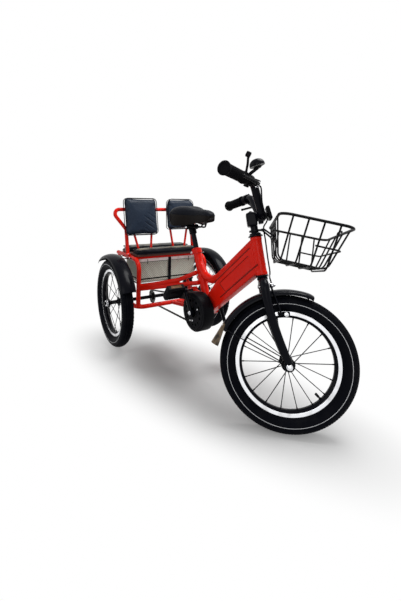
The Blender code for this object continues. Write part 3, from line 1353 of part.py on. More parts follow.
def build_pedal(side, label):
    """A moulded block pedal on its own spindle, slotted above and below."""
    reach = Vector((math.cos(CRANK_ANGLE), 0, math.sin(CRANK_ANGLE))) * CRANK_LENGTH
    arm_y = -CRANK_ARM_Y if side < 0 else LEFT_ARM_Y
    eye = CRANK + SIDEWAYS * (arm_y + side * 0.004) + reach * -side
    outer = eye + SIDEWAYS * side * (0.0065 + 0.0045 + PEDAL_LENGTH / 2)
    body = block(label + "_pedal", (PEDAL_DEPTH, PEDAL_LENGTH, PEDAL_THICKNESS), outer, PLASTIC, 0.005)
    spindle = rod("spindle", eye - SIDEWAYS * side * 0.0080, outer, PEDAL_SPINDLE_RADIUS, 8, PLASTIC)
    collar = rod("collar", eye + SIDEWAYS * side * (0.0065 + CLEARANCE), outer, 0.0085, 8, PLASTIC)
    pedal = fused(body, spindle, collar)
    cuts = []
    for spread in (-0.0165, 0.0165):
        for lift in (-1, 1):
            spot = outer + Vector((spread, side * 0.004, lift * PEDAL_THICKNESS / 2))
            cuts.append(block("slot", (0.011, PEDAL_LENGTH * 0.62, 0.0065), spot, PLASTIC))
    pedal = carved(pedal, *cuts)
    pedal.data.transform(Matrix.Rotation(PEDAL_TILT, 4, "Y") @ Matrix.Translation(-eye))
    pedal.location = eye
    return pedal


right_pedal = build_pedal(-1, "right")
left_pedal = build_pedal(1, "left")


# Bench, back rest and fabric box
def rounded_outline(half_x, half_y, corner, steps=3, along=3):
    """Points of a rounded rectangle, with extra points along its two longer sides."""
    points = []
    for turn, (sx, sy) in enumerate(((1, 1), (-1, 1), (-1, -1), (1, -1))):
        for step in range(steps + 1):
            angle = math.pi / 2 * (turn + step / steps)
            points.append((sx * (half_x - corner) + corner * math.cos(angle),
                           sy * (half_y - corner) + corner * math.sin(angle)))
        if turn % 2 == 1:
            for step in range(1, along + 1):
                points.append((-half_x if turn == 1 else half_x,
                               sy * (half_y - corner) * (1 - 2 * step / (along + 1))))
    return points


def cushion(name, half_x, half_y, thick, corner, crown, material):
    """A stuffed pad, bottom at z = 0: full sides drawn in at a seam, shoulders and a crowned top."""
    rings_of = (
        (0.010, 0.0),
        (0.0020, 0.02),
        (0.0, 0.20),
        (0.0016, 0.40),
        (0.0, 0.52),
        (0.0030, 0.76),
        (0.0120, 0.90),
        (0.0300, 0.97),
    )
    mesh = bmesh.new()
    rings = []
    limit = min(half_x, half_y)
    for inset, share in rings_of:
        shape = rounded_outline(half_x - inset, half_y - inset, max(corner - inset, 0.004))
        lift = 0.0
        if inset >= 0.012:
            lift = crown * min(inset / limit, 1.0)
        rings.append([mesh.verts.new((x, y, thick * share + lift)) for x, y in shape])
    count = len(rings[0])
    for ring, following in zip(rings, rings[1:]):
        for index in range(count):
            after = (index + 1) % count
            mesh.faces.new((ring[index], ring[after], following[after], following[index]))
    mesh.faces.new(list(reversed(rings[0])))
    last = [vertex.co.copy() for vertex in rings[-1]]
    inner = [mesh.verts.new((point.x * 0.45, point.y * 0.62, thick + crown)) for point in last]
    for index in range(count):
        after = (index + 1) % count
        mesh.faces.new((rings[-1][index], rings[-1][after], inner[after], inner[index]))
    mesh.faces.new(inner)
    return node(name, mesh, material)


BOARD_Z = SIDE_RAIL_Z + FRAME_TUBE_RADIUS + CLEARANCE
PAD_Z = BOARD_Z + BENCH_BOARD + CLEARANCE
BOARD_SIZE = (BENCH_FRONT - BENCH_BACK - 0.004, 2 * BENCH_HALF_LENGTH - 0.002, BENCH_BOARD)
BOARD_CENTRE = side_point((BENCH_FRONT + BENCH_BACK) / 2, 0, BOARD_Z + BENCH_BOARD / 2)
bench_board = block("bench_board", BOARD_SIZE, BOARD_CENTRE, PLYWOOD, 0.0015)


def bench_pad(name, back, front):
    pad = cushion(name, (front - back) / 2, BENCH_HALF_LENGTH, BENCH_THICKNESS - 0.004, 0.022, 0.004, VINYL)
    pad.data.transform(Matrix.Translation(side_point((front + back) / 2, 0, PAD_Z)))
    return pad


front_bench_pad = bench_pad("front_bench_pad", HOOP_X + BENCH_SLIT / 2, BENCH_FRONT)
rear_bench_pad = bench_pad("rear_bench_pad", BENCH_BACK, HOOP_X - BENCH_SLIT / 2)


HOOP_FOOT = side_point(HOOP_X, 0, BOARD_Z)
LEANING = (Matrix.Translation(HOOP_FOOT) @ Matrix.Rotation(-HOOP_LEAN, 4, "Y")
           @ Matrix.Translation(-HOOP_FOOT))


def in_backrest(ahead, y, z):
    """A point of the back rest, given as if it stood upright."""
    return LEANING @ side_point(ahead, y, z)


def build_backrest():
    """A bent hoop that leans back from the side rails, with four bars that carry the two pads."""
    x = HOOP_X
    foot_plate = 0.005
    low = BOARD_Z + 0.003
    corners = [(-HOOP_LEG_Y, low), (-HOOP_LEG_Y, HOOP_SHOULDER_Z), (-HOOP_HALF_WIDTH, HOOP_TOP_Z),
               (HOOP_HALF_WIDTH, HOOP_TOP_Z), (HOOP_LEG_Y, HOOP_SHOULDER_Z), (HOOP_LEG_Y, low)]
    route = rounded([in_backrest(x, y, z) for y, z in corners], 0.020, 3)
    frame = bar("backrest_frame", route, HOOP_RADIUS, 8, RED)
    pieces = []
    front = x + HOOP_RADIUS - 0.004
    for side in (-1, 1):
        plate = side_point(x, side * (HOOP_LEG_Y + 0.001), BOARD_Z + foot_plate / 2)
        pieces.append(block("foot", (0.034, 0.022, foot_plate), plate, RED))
        for low_y, high_y in ((0.128, 0.178), (0.065, 0.042)):
            foot = in_backrest(front, side * low_y, BOARD_Z + BENCH_BOARD + 0.0018)
            top = in_backrest(front, side * high_y, HOOP_TOP_Z)
            pieces.append(rod("upright", foot, top, UPRIGHT_RADIUS, 5, RED))
    return fused(frame, *pieces)


backrest_frame = build_backrest()

for side, label in ((-1, "right"), (1, "left")):
    name = label + "_back_pad"
    pad = cushion(name, PAD_HEIGHT / 2, PAD_WIDTH / 2, PAD_THICKNESS - 0.004, 0.019, 0.004, VINYL)
    stand = Matrix.Rotation(math.radians(90), 4, "Y")
    face = HOOP_X + HOOP_RADIUS + 0.002 + CLEARANCE
    centre = side_point(face, side * PAD_CENTRE_Y, PAD_CENTRE_Z)
    pad.data.transform(LEANING @ Matrix.Translation(centre) @ stand)


def build_fabric_box():
    """A stitched box, open above, its walls bellied out a little and a thick hem round its mouth."""
    half_x = (BOX_FRONT - BOX_BACK) / 2
    top = BOARD_Z - 2 * CROSS_TUBE_RADIUS - 0.0010
    height = top - BOX_FLOOR_Z
    hem = 0.0018
    hem_low = height - 0.0155
    under_hem = height - 0.0160
    outside = ((-0.006, 0.0), (-0.001, 0.010), (0.001, 0.45 * height), (-0.001, under_hem), (hem, hem_low),
               (hem, height))
    inside = ((-hem, height), (-hem, hem_low), (-0.001, under_hem), (0.001, 0.45 * height), (-0.001, 0.013),
              (-0.006, BOX_WALL))
    rows = [*outside, *((spread - BOX_WALL, lift) for spread, lift in inside)]
    mesh = bmesh.new()
    rings = []
    for spread, lift in rows:
        half_y = BOX_HALF_LENGTH - 0.002 + spread
        shape = rounded_outline(half_x - 0.002 + spread, half_y, 0.014 + spread, 2, 2)
        middle = side_point((BOX_FRONT + BOX_BACK) / 2, 0, BOX_FLOOR_Z + lift)
        rings.append([mesh.verts.new(middle + Vector((x, y, 0))) for x, y in shape])
    count = len(rings[0])
    for ring, following in zip(rings, rings[1:]):
        for index in range(count):
            after = (index + 1) % count
            mesh.faces.new((ring[index], ring[after], following[after], following[index]))
    mesh.faces.new(list(reversed(rings[0])))
    mesh.faces.new(rings[-1])
    return node("fabric_box", mesh, CANVAS)


fabric_box = build_fabric_box()


def build_cradle():
    """Two flat steel hangers under the box, hung from the seat's cross tubes, and a rail round its foot."""
    gap = CLEARANCE * 2
    top = BOARD_Z - CLEARANCE - 2 * CROSS_TUBE_RADIUS - CLEARANCE
    under = BOX_FLOOR_Z - gap - STRAP
    front = BOX_FRONT + gap
    back = BOX_BACK - gap
    outline = [(front, under + STRAP), (front, top), (front + STRAP, top), (front + STRAP, under),
               (back - STRAP, under), (back - STRAP, top), (back, top), (back, under + STRAP)]
    outline = [(at_x(x), z) for x, z in outline]
    cradle = slab("box_cradle", outline, -0.003, 0.013, BLACK)
    loop = []
    half = BOX_HALF_LENGTH - 0.006
    corners = [(back + 0.004, -half), (front - 0.004, -half), (front - 0.004, half), (back + 0.004, half)]
    for index, corner in enumerate(corners):
        before = Vector((*corners[index - 1], 0))
        here = Vector((*corner, 0))
        after = Vector((*corners[(index + 1) % 4], 0))
        loop += rounded([here + (before - here).normalized() * 0.03, here,
                         here + (after - here).normalized() * 0.03], 0.016, 2)[1:-1]
    route = [side_point(point.x, point.y, under - 0.0015) for point in loop]
    rail = hoop_bar("foot_rail", route, 0.0036, 5, BLACK)
    return fused(cradle, rail)


box_cradle = build_cradle()
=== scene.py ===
"""Kids tricycle, the finished model: every surface as it is made, round the fixed working model.

Metres. +X points forward, +Y to the rider's left, +Z up, and Z = 0 is the ground. The steering
stands turned to the left, so its pieces are drawn straight ahead and then turned by TURN_LEFT.
"""

import json
import math

import bmesh
import bpy
from mathutils import Matrix, Vector

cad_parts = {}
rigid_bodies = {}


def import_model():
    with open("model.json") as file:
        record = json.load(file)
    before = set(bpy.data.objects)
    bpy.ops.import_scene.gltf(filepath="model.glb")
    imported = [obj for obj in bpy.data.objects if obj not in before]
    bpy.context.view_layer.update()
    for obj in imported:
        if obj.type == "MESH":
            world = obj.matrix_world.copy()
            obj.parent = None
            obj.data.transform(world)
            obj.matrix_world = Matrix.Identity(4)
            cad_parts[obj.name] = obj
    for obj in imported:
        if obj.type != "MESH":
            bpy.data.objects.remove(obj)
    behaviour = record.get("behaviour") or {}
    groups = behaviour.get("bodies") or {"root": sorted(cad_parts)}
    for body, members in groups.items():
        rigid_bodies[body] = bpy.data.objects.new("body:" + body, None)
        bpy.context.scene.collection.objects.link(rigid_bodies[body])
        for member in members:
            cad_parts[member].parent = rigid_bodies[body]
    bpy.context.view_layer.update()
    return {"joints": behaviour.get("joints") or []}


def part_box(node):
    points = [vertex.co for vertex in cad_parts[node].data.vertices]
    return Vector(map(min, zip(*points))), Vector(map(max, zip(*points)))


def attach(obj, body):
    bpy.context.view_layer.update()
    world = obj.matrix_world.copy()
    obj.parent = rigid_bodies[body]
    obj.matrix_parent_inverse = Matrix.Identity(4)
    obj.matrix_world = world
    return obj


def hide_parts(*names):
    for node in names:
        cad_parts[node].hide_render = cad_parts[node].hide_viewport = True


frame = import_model()

# Camera. It stands low ahead of the tricycle, on the rider's right, close enough that the front
# wheel looks half as large again as the rear ones. Its place and turn follow the photograph.
IMAGE_WIDTH = 401
IMAGE_HEIGHT = 601
FOCAL_PIXELS = 318.79
CENTRE_ACROSS = 182.65
CENTRE_DOWN = 240.72
SENSOR_WIDTH = 36.0
CAMERA_PLACE = Vector((1.0649, -0.7444, 0.7006))
CAMERA_YAW = math.radians(149.086)
CAMERA_PITCH = math.radians(-7.253)
CAMERA_ROLL = math.radians(1.221)

for thing in list(bpy.data.objects):
    if thing.type in ("CAMERA", "LIGHT") or thing.name == "Cube":
        bpy.data.objects.remove(thing, do_unlink=True)
bpy.ops.object.camera_add(location=CAMERA_PLACE)
camera = bpy.context.object
camera.name = "studio_camera"
camera.data.sensor_width = SENSOR_WIDTH
camera.data.lens = FOCAL_PIXELS / IMAGE_HEIGHT * camera.data.sensor_width
camera.data.shift_x = (IMAGE_WIDTH / 2 - CENTRE_ACROSS) / IMAGE_HEIGHT
camera.data.shift_y = (CENTRE_DOWN - IMAGE_HEIGHT / 2) / IMAGE_HEIGHT
looking = Vector((
    math.cos(CAMERA_PITCH) * math.cos(CAMERA_YAW),
    math.cos(CAMERA_PITCH) * math.sin(CAMERA_YAW),
    math.sin(CAMERA_PITCH),
))
level = looking.cross(Vector((0.0, 0.0, 1.0))).normalized()
above = level.cross(looking)
across = level * math.cos(CAMERA_ROLL) + above * math.sin(CAMERA_ROLL)
upward = above * math.cos(CAMERA_ROLL) - level * math.sin(CAMERA_ROLL)
camera.rotation_euler = Matrix((across, upward, -looking)).transposed().to_euler()
bpy.context.scene.camera = camera


class Wire:
    """A shader socket that takes part in sums, each of which adds its Math node."""

    def __init__(self, socket):
        self.socket = socket

    def node(self, kind, settings=None, inputs=None, output=0):
        """A new node of a kind, with its settings, then its sockets' values or links."""
        tree = self.socket.id_data
        made = tree.nodes.new(kind)
        for name, value in (settings or {}).items():
            setattr(made, name, value)
        for name, value in (inputs or {}).items():
            if isinstance(value, Wire):
                tree.links.new(value.socket, made.inputs[name])
            else:
                made.inputs[name].default_value = value
        return Wire(made.outputs[output])

    def into(self, socket):
        self.socket.id_data.links.new(self.socket, socket)

    def sum_of(self, operation, first, second):
        return self.node("ShaderNodeMath", {"operation": operation}, {0: first, 1: second})

    def __add__(self, other):
        return self.sum_of("ADD", self, other)

    def __radd__(self, other):
        return self.sum_of("ADD", other, self)

    def __mul__(self, other):
        return self.sum_of("MULTIPLY", self, other)

    def __rmul__(self, other):
        return self.sum_of("MULTIPLY", other, self)

    def most(self, other):
        return self.sum_of("MAXIMUM", self, other)

    def clamped(self, low, high):
        """A smooth step from 0 to 1 between two values."""
        return self.node("ShaderNodeMapRange", {"interpolation_type": "SMOOTHSTEP"},
                         {"Value": self, "From Min": low, "From Max": high})

    def noise(self, scale, detail=3.0, roughness=0.5):
        """A noise on this vector, about 0.5 in the middle."""
        return self.node("ShaderNodeTexNoise", None,
                         {"Vector": self, "Scale": scale, "Detail": detail, "Roughness": roughness})

    def cells(self, scale, feature="DISTANCE_TO_EDGE"):
        """Distances in a pattern of cells on this vector."""
        return self.node("ShaderNodeTexVoronoi", {"feature": feature}, {"Vector": self, "Scale": scale},
                         "Distance")

    def bands(self, scale, direction, distortion=0.0, detail_scale=1.0):
        """Waves that run along one direction of this vector."""
        settings = {"wave_type": "BANDS", "bands_direction": direction}
        inputs = {"Vector": self, "Scale": scale, "Distortion": distortion, "Detail Scale": detail_scale}
        return self.node("ShaderNodeTexWave", settings, inputs, "Fac")

    def mixed(self, *colours):
        """A colour between two, by this factor. Each is (red, green, blue) or another wire."""
        first, second = (colour if isinstance(colour, Wire) else (*colour, 1.0) for colour in colours)
        return self.node("ShaderNodeMix", {"data_type": "RGBA"}, {0: self, 6: first, 7: second}, 2)


# Floor and daylight. A wide floor keeps the soft shadow under the tricycle: close round it the floor is a
# mid grey, a painted shadow pool that deepens that shadow, and further out the camera sees it white. Three
# large soft lamps and an even sky light it from above and from the front, as a bright overcast day does.
FLOOR_SIZE = 60.0
FLOOR_DROP = 0.0004  # the tyres stand this far above it
SHADOW_POOL_CENTRE = (0.1, -0.065, 0.0)
SHADOW_POOL_TURN = math.radians(20.0)
SHADOW_POOL_HALF_SIZE = (0.64, 0.24, 1.0)
SHADOW_POOL_EDGE = (0.4, 1.35)
SHADOW_POOL_GREY = (0.52, 0.52, 0.52, 1.0)
SKY_STRENGTH = 0.34
LAMPS_AIM = Vector((0.0, 0.0, 0.35))

bpy.ops.object.select_all(action="DESELECT")
bpy.ops.mesh.primitive_circle_add(vertices=64, radius=FLOOR_SIZE, fill_type="NGON",
                                  location=(0, 0, -FLOOR_DROP))
floor = bpy.context.object
floor.name = "studio_floor"
floor_paint = bpy.data.materials.new("floor_with_painted_shadow")
floor_paint.use_nodes = True
floor_tree = floor_paint.node_tree
floor_tree.nodes.remove(floor_tree.nodes["Principled BSDF"])
floor_end = floor_tree.nodes["Material Output"].inputs["Surface"]
spot = Wire(floor_tree.nodes.new("ShaderNodeTexCoord").outputs["Object"])
shadow_pool = spot.node("ShaderNodeMapping", {"vector_type": "TEXTURE"}, {
    "Vector": spot, "Location": SHADOW_POOL_CENTRE, "Rotation": (0.0, 0.0, SHADOW_POOL_TURN), "Scale": SHADOW_POOL_HALF_SIZE})
away = shadow_pool.node("ShaderNodeVectorMath", {"operation": "LENGTH"}, {0: shadow_pool}, "Value")


def looked_at(tree):
    """1 where the camera looks, also through glass or in a mirror, and 0 for the light on the object."""
    ray = tree.nodes.new("ShaderNodeLightPath").outputs
    seen, through, mirrored = (Wire(ray[f"Is {kind} Ray"]) for kind in ("Camera", "Transmission", "Glossy"))
    return seen.most(through).most(mirrored)


# Inside the ellipse the grey diffuse floor is painted shadow; beyond it camera rays see plain white.
glow = looked_at(floor_tree) * away.clamped(*SHADOW_POOL_EDGE)
painted_shadow_floor = spot.node("ShaderNodeBsdfDiffuse", None, {"Color": SHADOW_POOL_GREY})
white = spot.node("ShaderNodeEmission", None, {"Color": (1, 1, 1, 1), "Strength": 1.0})
spot.node("ShaderNodeMixShader", None, {0: glow, 1: painted_shadow_floor, 2: white}).into(floor_end)
floor.data.materials.append(floor_paint)

world = bpy.data.worlds.new("overcast_sky")
bpy.context.scene.world = world
world.use_nodes = True
sky = world.node_tree.nodes["Background"]
(SKY_STRENGTH + (1.0 - SKY_STRENGTH) * looked_at(world.node_tree)).into(sky.inputs["Strength"])
sky.inputs["Color"].default_value = (1.0, 1.0, 1.0, 1.0)

LAMPS = {
    # name: (place, size, watts)
    "overhead_lamp": ((0.3, 0.75, 2.2), 1.2, 46.0),
    "front_lamp": ((2.2, -1.9, 1.7), 2.2, 19.0),
    "side_lamp": ((-0.9, -2.6, 1.4), 2.4, 14.0),
}
for lamp_name, (place, size, watts) in LAMPS.items():
    bpy.ops.object.light_add(type="AREA", location=place)
    lamp = bpy.context.object
    lamp.name = lamp_name
    lamp.data.shape = "DISK"
    lamp.data.size = size
    lamp.data.energy = watts
    lamp.rotation_euler = (LAMPS_AIM - Vector(place)).to_track_quat("-Z", "Y").to_euler()
bpy.context.scene.view_settings.view_transform = "Standard"

# Tyres. Each is a black rubber tyre for a 16 inch wheel, moulded with seven rows of tread blocks,
# two ribs and a thin white line on each sidewall. It is held on the rim by its beads.
WHEEL_RADIUS = 0.2085
TYRE_CENTRE_RADIUS = 0.1838
TYRE_HALF_WIDTH = 0.027
TYRE_SKIN = 0.0035
BLOCK_HEIGHT = 0.0013
TREAD_STEPS = 144
BLOCK_INSET = 0.0009
BLOCK_ROWS = ((-6, 6), (8, 24), (27, 41), (44, 60))  # degrees from the crown
WHITE_LINE = (88.6, 92.2)
SIDEWALL = (0, 68, 76, 83, 86, 96, 101, 108, 118, 130, 142, 150)
RIBS = (86, 96, 101)
RIB_HEIGHT = 0.0006
INSIDE_WALL = (130, 95, 60, 25)
BEAD_RADIUS = 0.159
BEAD_HALF_WIDTH = 0.0112
ABOUT_Y = Matrix.Rotation(-math.pi / 2, 4, "X")
REAR_AXLE = Vector((-0.37, 0.0, WHEEL_RADIUS))
FRONT_AXLE = Vector((0.441, 0.0, WHEEL_RADIUS - 0.0008))
HALF_TRACK = 0.2625
STEER_REST = math.radians(50.0)
steering_joint = next(joint for joint in frame["joints"] if joint["name"] == "steering_turn")
STEER_AXIS = Vector(steering_joint["axis"])
STEER_AHEAD = Vector((STEER_AXIS.z, 0.0, -STEER_AXIS.x))
HEAD_BOTTOM = Vector(steering_joint["pos_m"])


def about(point, turn):
    """A turn or a stretch about a point."""
    return Matrix.Translation(point) @ turn @ Matrix.Translation(-point)


TURN_LEFT = about(HEAD_BOTTOM, Matrix.Rotation(STEER_REST, 4, STEER_AXIS))


def finish(name, colour, roughness, **constants):
    """A Principled material with its constants set on the shader, and its mapped Object coordinates."""
    material = bpy.data.materials.new(name)
    material.use_nodes = True
    shader = material.node_tree.nodes["Principled BSDF"].inputs
    shader["Base Color"].default_value = (*colour, 1.0)
    shader["Roughness"].default_value = roughness
    for socket, value in constants.items():
        shader[socket.replace("_", " ").title().replace("Ior", "IOR")].default_value = value
    place = Wire(material.node_tree.nodes.new("ShaderNodeTexCoord").outputs["Object"])
    return material, shader, place.node("ShaderNodeMapping", None, {"Vector": place})


def bumped(shader, height, strength, distance=0.001):
    """Feeds a height into the shader's normal."""
    height.node("ShaderNodeBump", None,
                {"Strength": strength, "Distance": distance, "Height": height}).into(shader["Normal"])


def picked():
    return bpy.context.object


def clear_selection():
    bpy.ops.object.select_all(action="DESELECT")


def choose(piece):
    """Makes a piece the only selected one, and the active one."""
    clear_selection()
    piece.select_set(True)
    bpy.context.view_layer.objects.active = piece


def edited(piece, *steps):
    """Runs edit-mode steps on a piece with all of it selected, and returns the piece."""
    choose(piece)
    bpy.ops.object.mode_set(mode="EDIT")
    bpy.ops.mesh.select_all(action="SELECT")
    for step in steps:
        step()
    bpy.ops.object.mode_set(mode="OBJECT")
    return piece


def mended():
    """Merges doubles and turns every face outwards, in edit mode."""
    bpy.ops.mesh.select_all(action="SELECT")
    bpy.ops.mesh.remove_doubles(threshold=0.00001)
    bpy.ops.mesh.normals_make_consistent(inside=False)


def smoothed(piece, degrees=35.0):
    choose(piece)
    bpy.ops.object.shade_smooth_by_angle(angle=math.radians(degrees))
    return piece


def revolved(outline, steps):
    """A closed (radius, height) outline turned about Z: a ring of points laid on it, then spun."""
    clear_selection()
    bpy.ops.mesh.primitive_circle_add(vertices=len(outline), radius=1.0)
    piece = picked()
    for vertex, (radius, height) in zip(piece.data.vertices, outline):
        vertex.co = (radius, 0.0, height)
    edited(piece, lambda: bpy.ops.mesh.spin(
        steps=steps, angle=2 * math.pi, center=(0, 0, 0), axis=(0, 0, 1)), mended)
    return smoothed(piece)


def moved(piece, matrix):
    """Applies a move to a piece's points."""
    piece.data.transform(matrix)
    piece.data.update()
    return piece


def painted(piece, *materials):
    piece.data.materials.clear()
    for material in materials:
        piece.data.materials.append(material)
    return piece


def settle(piece, name, body, slot_name, *stands_for):
    """Names a finished piece, fixes it to its body and lets it stand for its nodes."""
    piece.name = name
    piece.data.name = name
    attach(piece, body)
    if stands_for:
        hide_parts(*stands_for)
    return piece


def copied(piece):
    twin = piece.copy()
    twin.data = piece.data.copy()
    bpy.context.scene.collection.objects.link(twin)
    return twin


rubber, shader, place = finish("tyre_rubber", (0.003, 0.003, 0.005), 0.6, specular_ior_level=0.035)
dust = place.noise(23.0, 5.0).clamped(0.48, 0.8) * 0.35
dust.mixed((0.0018, 0.0022, 0.0042), (0.014, 0.0135, 0.015)).into(shader["Base Color"])
(0.46 + place.noise(70.0) * 0.22 + dust * 0.3).into(shader["Roughness"])
bumped(shader, place.noise(700.0, 2.0), 0.12, 0.0004)

white_rubber, shader, place = finish("white_sidewall", (0.62, 0.63, 0.65), 0.5)
worn = place.noise(34.0, 4.0).clamped(0.52, 0.8)
worn.mixed((0.66, 0.67, 0.69), (0.3, 0.3, 0.31)).into(shader["Base Color"])


def tyre_outline():
    """Half angles from the crown down each sidewall to the bead, then back along the inside."""
    down = sorted({angle for row in BLOCK_ROWS for angle in row if angle >= 0} | {*SIDEWALL, *WHITE_LINE})
    carcass_height = WHEEL_RADIUS - BLOCK_HEIGHT - TYRE_CENTRE_RADIUS
    half = []
    for degrees in down:
        angle = math.radians(degrees)
        rib = RIB_HEIGHT if degrees in RIBS else 0.0
        half.append((TYRE_CENTRE_RADIUS + (carcass_height + rib) * math.cos(angle),
                     (TYRE_HALF_WIDTH + rib) * math.sin(angle) ** 0.9))
    half.append((BEAD_RADIUS, BEAD_HALF_WIDTH))
    half.append((BEAD_RADIUS, BEAD_HALF_WIDTH - TYRE_SKIN))
    for degrees in INSIDE_WALL:
        angle = math.radians(degrees)
        half.append((TYRE_CENTRE_RADIUS + (carcass_height - TYRE_SKIN) * math.cos(angle),
                     (TYRE_HALF_WIDTH - TYRE_SKIN) * math.sin(angle)))
    return half[1:] + [(radius, -height) for radius, height in reversed(half[1:])] + [half[0]]


def section_angle(centre):
    """How far round the tyre's section a point lies, in degrees from the crown."""
    radius = math.hypot(centre.x, centre.y)
    return math.degrees(math.atan2(abs(centre.z), radius - TYRE_CENTRE_RADIUS))


def build_tyre():
    tyre = revolved(tyre_outline(), TREAD_STEPS)

    def raise_blocks():
        grid = bmesh.from_edit_mesh(tyre.data)
        for face in grid.faces:
            centre = face.calc_center_median()
            angle = section_angle(centre)
            outside = face.normal.dot(Vector((centre.x, centre.y, 0)).normalized()) > 0.3
            step = round(math.atan2(centre.y, centre.x) / (2 * math.pi) * TREAD_STEPS - 0.5)
            row = next((index for index, (low, high) in enumerate(BLOCK_ROWS) if low < angle < high), None)
            keep = row is not None and outside and (row in (1, 2) or (step + row) % 2 == 0 or row == 0)
            face.select_set(keep)
        bmesh.update_edit_mesh(tyre.data)
        bpy.ops.mesh.inset(thickness=BLOCK_INSET, depth=BLOCK_HEIGHT, use_individual=True)

    bpy.context.tool_settings.mesh_select_mode = (False, False, True)
    edited(tyre, lambda: bpy.ops.mesh.select_all(action="DESELECT"), raise_blocks)
    painted(tyre, rubber, white_rubber)
    for face in tyre.data.polygons:
        if WHITE_LINE[0] < section_angle(face.center) < WHITE_LINE[1]:
            if abs(face.center.z) > TYRE_HALF_WIDTH - TYRE_SKIN / 2:
                face.material_index = 1
    return moved(smoothed(tyre, 28.0), ABOUT_Y)


WHEEL_PLACES = {
    # wheel: (its body, where its middle goes)
    "front": ("front_wheel", TURN_LEFT @ Matrix.Translation(FRONT_AXLE)),
    "right_rear": ("axle", Matrix.Translation(REAR_AXLE - Vector((0, HALF_TRACK, 0)))),
    "left_rear": ("left_wheel", Matrix.Translation(REAR_AXLE + Vector((0, HALF_TRACK, 0)))),
}
tyre_pattern = build_tyre()
for label, (body, place_there) in WHEEL_PLACES.items():
    tyre = moved(copied(tyre_pattern), place_there)
    settle(tyre, label + "_tyre_moulded", body, "tyre_rubber", label + "_tyre")
bpy.data.objects.remove(tyre_pattern, do_unlink=True)


# Wheels. An extruded alloy rim, black but for its two bright braking faces, is laced to a steel hub
# with eighteen crossed wire spokes. Each spoke ends in a nipple, and one valve stem points inwards.
RIM_RADIUS = 0.1585
RIM_HALF_WIDTH = 0.0125
RIM_INNER = 0.1385
TRACK_DEPTH = 0.0115
RIM_STEPS = 120
SPOKES = 18
SPOKE_RADIUS = 0.0014
NIPPLE_RADIUS = 0.0021
NIPPLE_LENGTH = 0.01
HUB_RADIUS = 0.011
FLANGE_RADIUS = 0.021
FLANGE_INSET = 0.006
VALVE_ANGLE = math.radians(-38.0)
HUBS = {
    # wheel: (hub width, bore, how far a spoke leans, how far the hub reaches inwards along Y)
    "front": (0.064, 0.0055, 0.25, 0.0),
    "right_rear": (0.06, 0.0092, 0.55, 0.052),
    "left_rear": (0.06, 0.0092, 0.55, -0.052),
}

black_enamel, shader, place = finish("black_enamel", (0.004, 0.004, 0.006), 0.24, coat_weight=0.03,
                                     coat_roughness=0.05, specular_ior_level=0.05)
speck = place.noise(140.0, 2.0).clamped(0.6, 0.74)
(place.noise(9.0, 3.0) * 0.6 + speck * 0.3).mixed((0.0012, 0.0015, 0.0036), (0.0042, 0.0046, 0.008)).into(
    shader["Base Color"])
(0.16 + place.noise(35.0, 4.0) * 0.2).into(shader["Roughness"])
bumped(shader, place.noise(420.0, 1.0), 0.06, 0.0003)

bright_alloy, shader, place = finish("bright_alloy", (0.8, 0.81, 0.84), 0.28, metallic=1.0)
rubbed = place.noise(26.0, 5.0).clamped(0.45, 0.75)
rubbed.mixed((0.86, 0.87, 0.9), (0.52, 0.52, 0.52)).into(shader["Base Color"])
(0.22 + rubbed * 0.25).into(shader["Roughness"])


def bar_between(start, end, radius, sides=8):
    """A closed round bar from one point to another."""
    start = Vector(start)
    end = Vector(end)
    clear_selection()
    bpy.ops.mesh.primitive_cylinder_add(vertices=sides, radius=radius, depth=(end - start).length)
    turn = Vector((0, 0, 1)).rotation_difference(end - start).to_matrix().to_4x4()
    return moved(picked(), Matrix.Translation((start + end) / 2) @ turn)


def outward_at(angle):
    """The direction at an angle round a wheel."""
    return Vector((math.cos(angle), 0.0, math.sin(angle)))


def joined(pieces):
    clear_selection()
    for piece in pieces:
        piece.select_set(True)
    bpy.context.view_layer.objects.active = pieces[0]
    bpy.ops.object.join()
    return pieces[0]


def modified(piece, kind, **settings):
    """Adds a modifier with its settings and applies it."""
    choose(piece)
    step = piece.modifiers.new(kind.lower(), kind)
    for setting, value in settings.items():
        setattr(step, setting, value)
    bpy.ops.object.modifier_apply(modifier=step.name)
    return piece


def bevelled(piece, width, degrees=40.0, segments=2):
    """Rounds a piece's sharp edges."""
    return modified(piece, "BEVEL", width=width, segments=segments, limit_method="ANGLE",
                    angle_limit=math.radians(degrees))


def painted_all(pieces, material):
    return [painted(piece, material) for piece in pieces]


def build_rim():
    h = RIM_HALF_WIDTH
    half = [(RIM_RADIUS, h), (RIM_RADIUS - TRACK_DEPTH, h), (RIM_RADIUS - TRACK_DEPTH - 0.0012, h - 0.0012),
            (RIM_INNER + 0.0024, h * 0.66), (RIM_INNER, h * 0.4)]
    well = [(RIM_RADIUS, h - 0.0018), (RIM_RADIUS - 0.0035, h - 0.0032), (RIM_RADIUS - 0.005, h * 0.35)]
    outline = half + [(r, -y) for r, y in reversed(half)] + [(r, -y) for r, y in well]
    outline += [(r, y) for r, y in reversed(well)]
    rim = bevelled(revolved(outline, RIM_STEPS), 0.0006, 25.0)
    painted(rim, black_enamel, bright_alloy)
    for face in rim.data.polygons:
        if abs(face.center.z) > h - 0.0002 and abs(face.normal.z) > 0.7:
            face.material_index = 1
    return moved(smoothed(rim), ABOUT_Y)


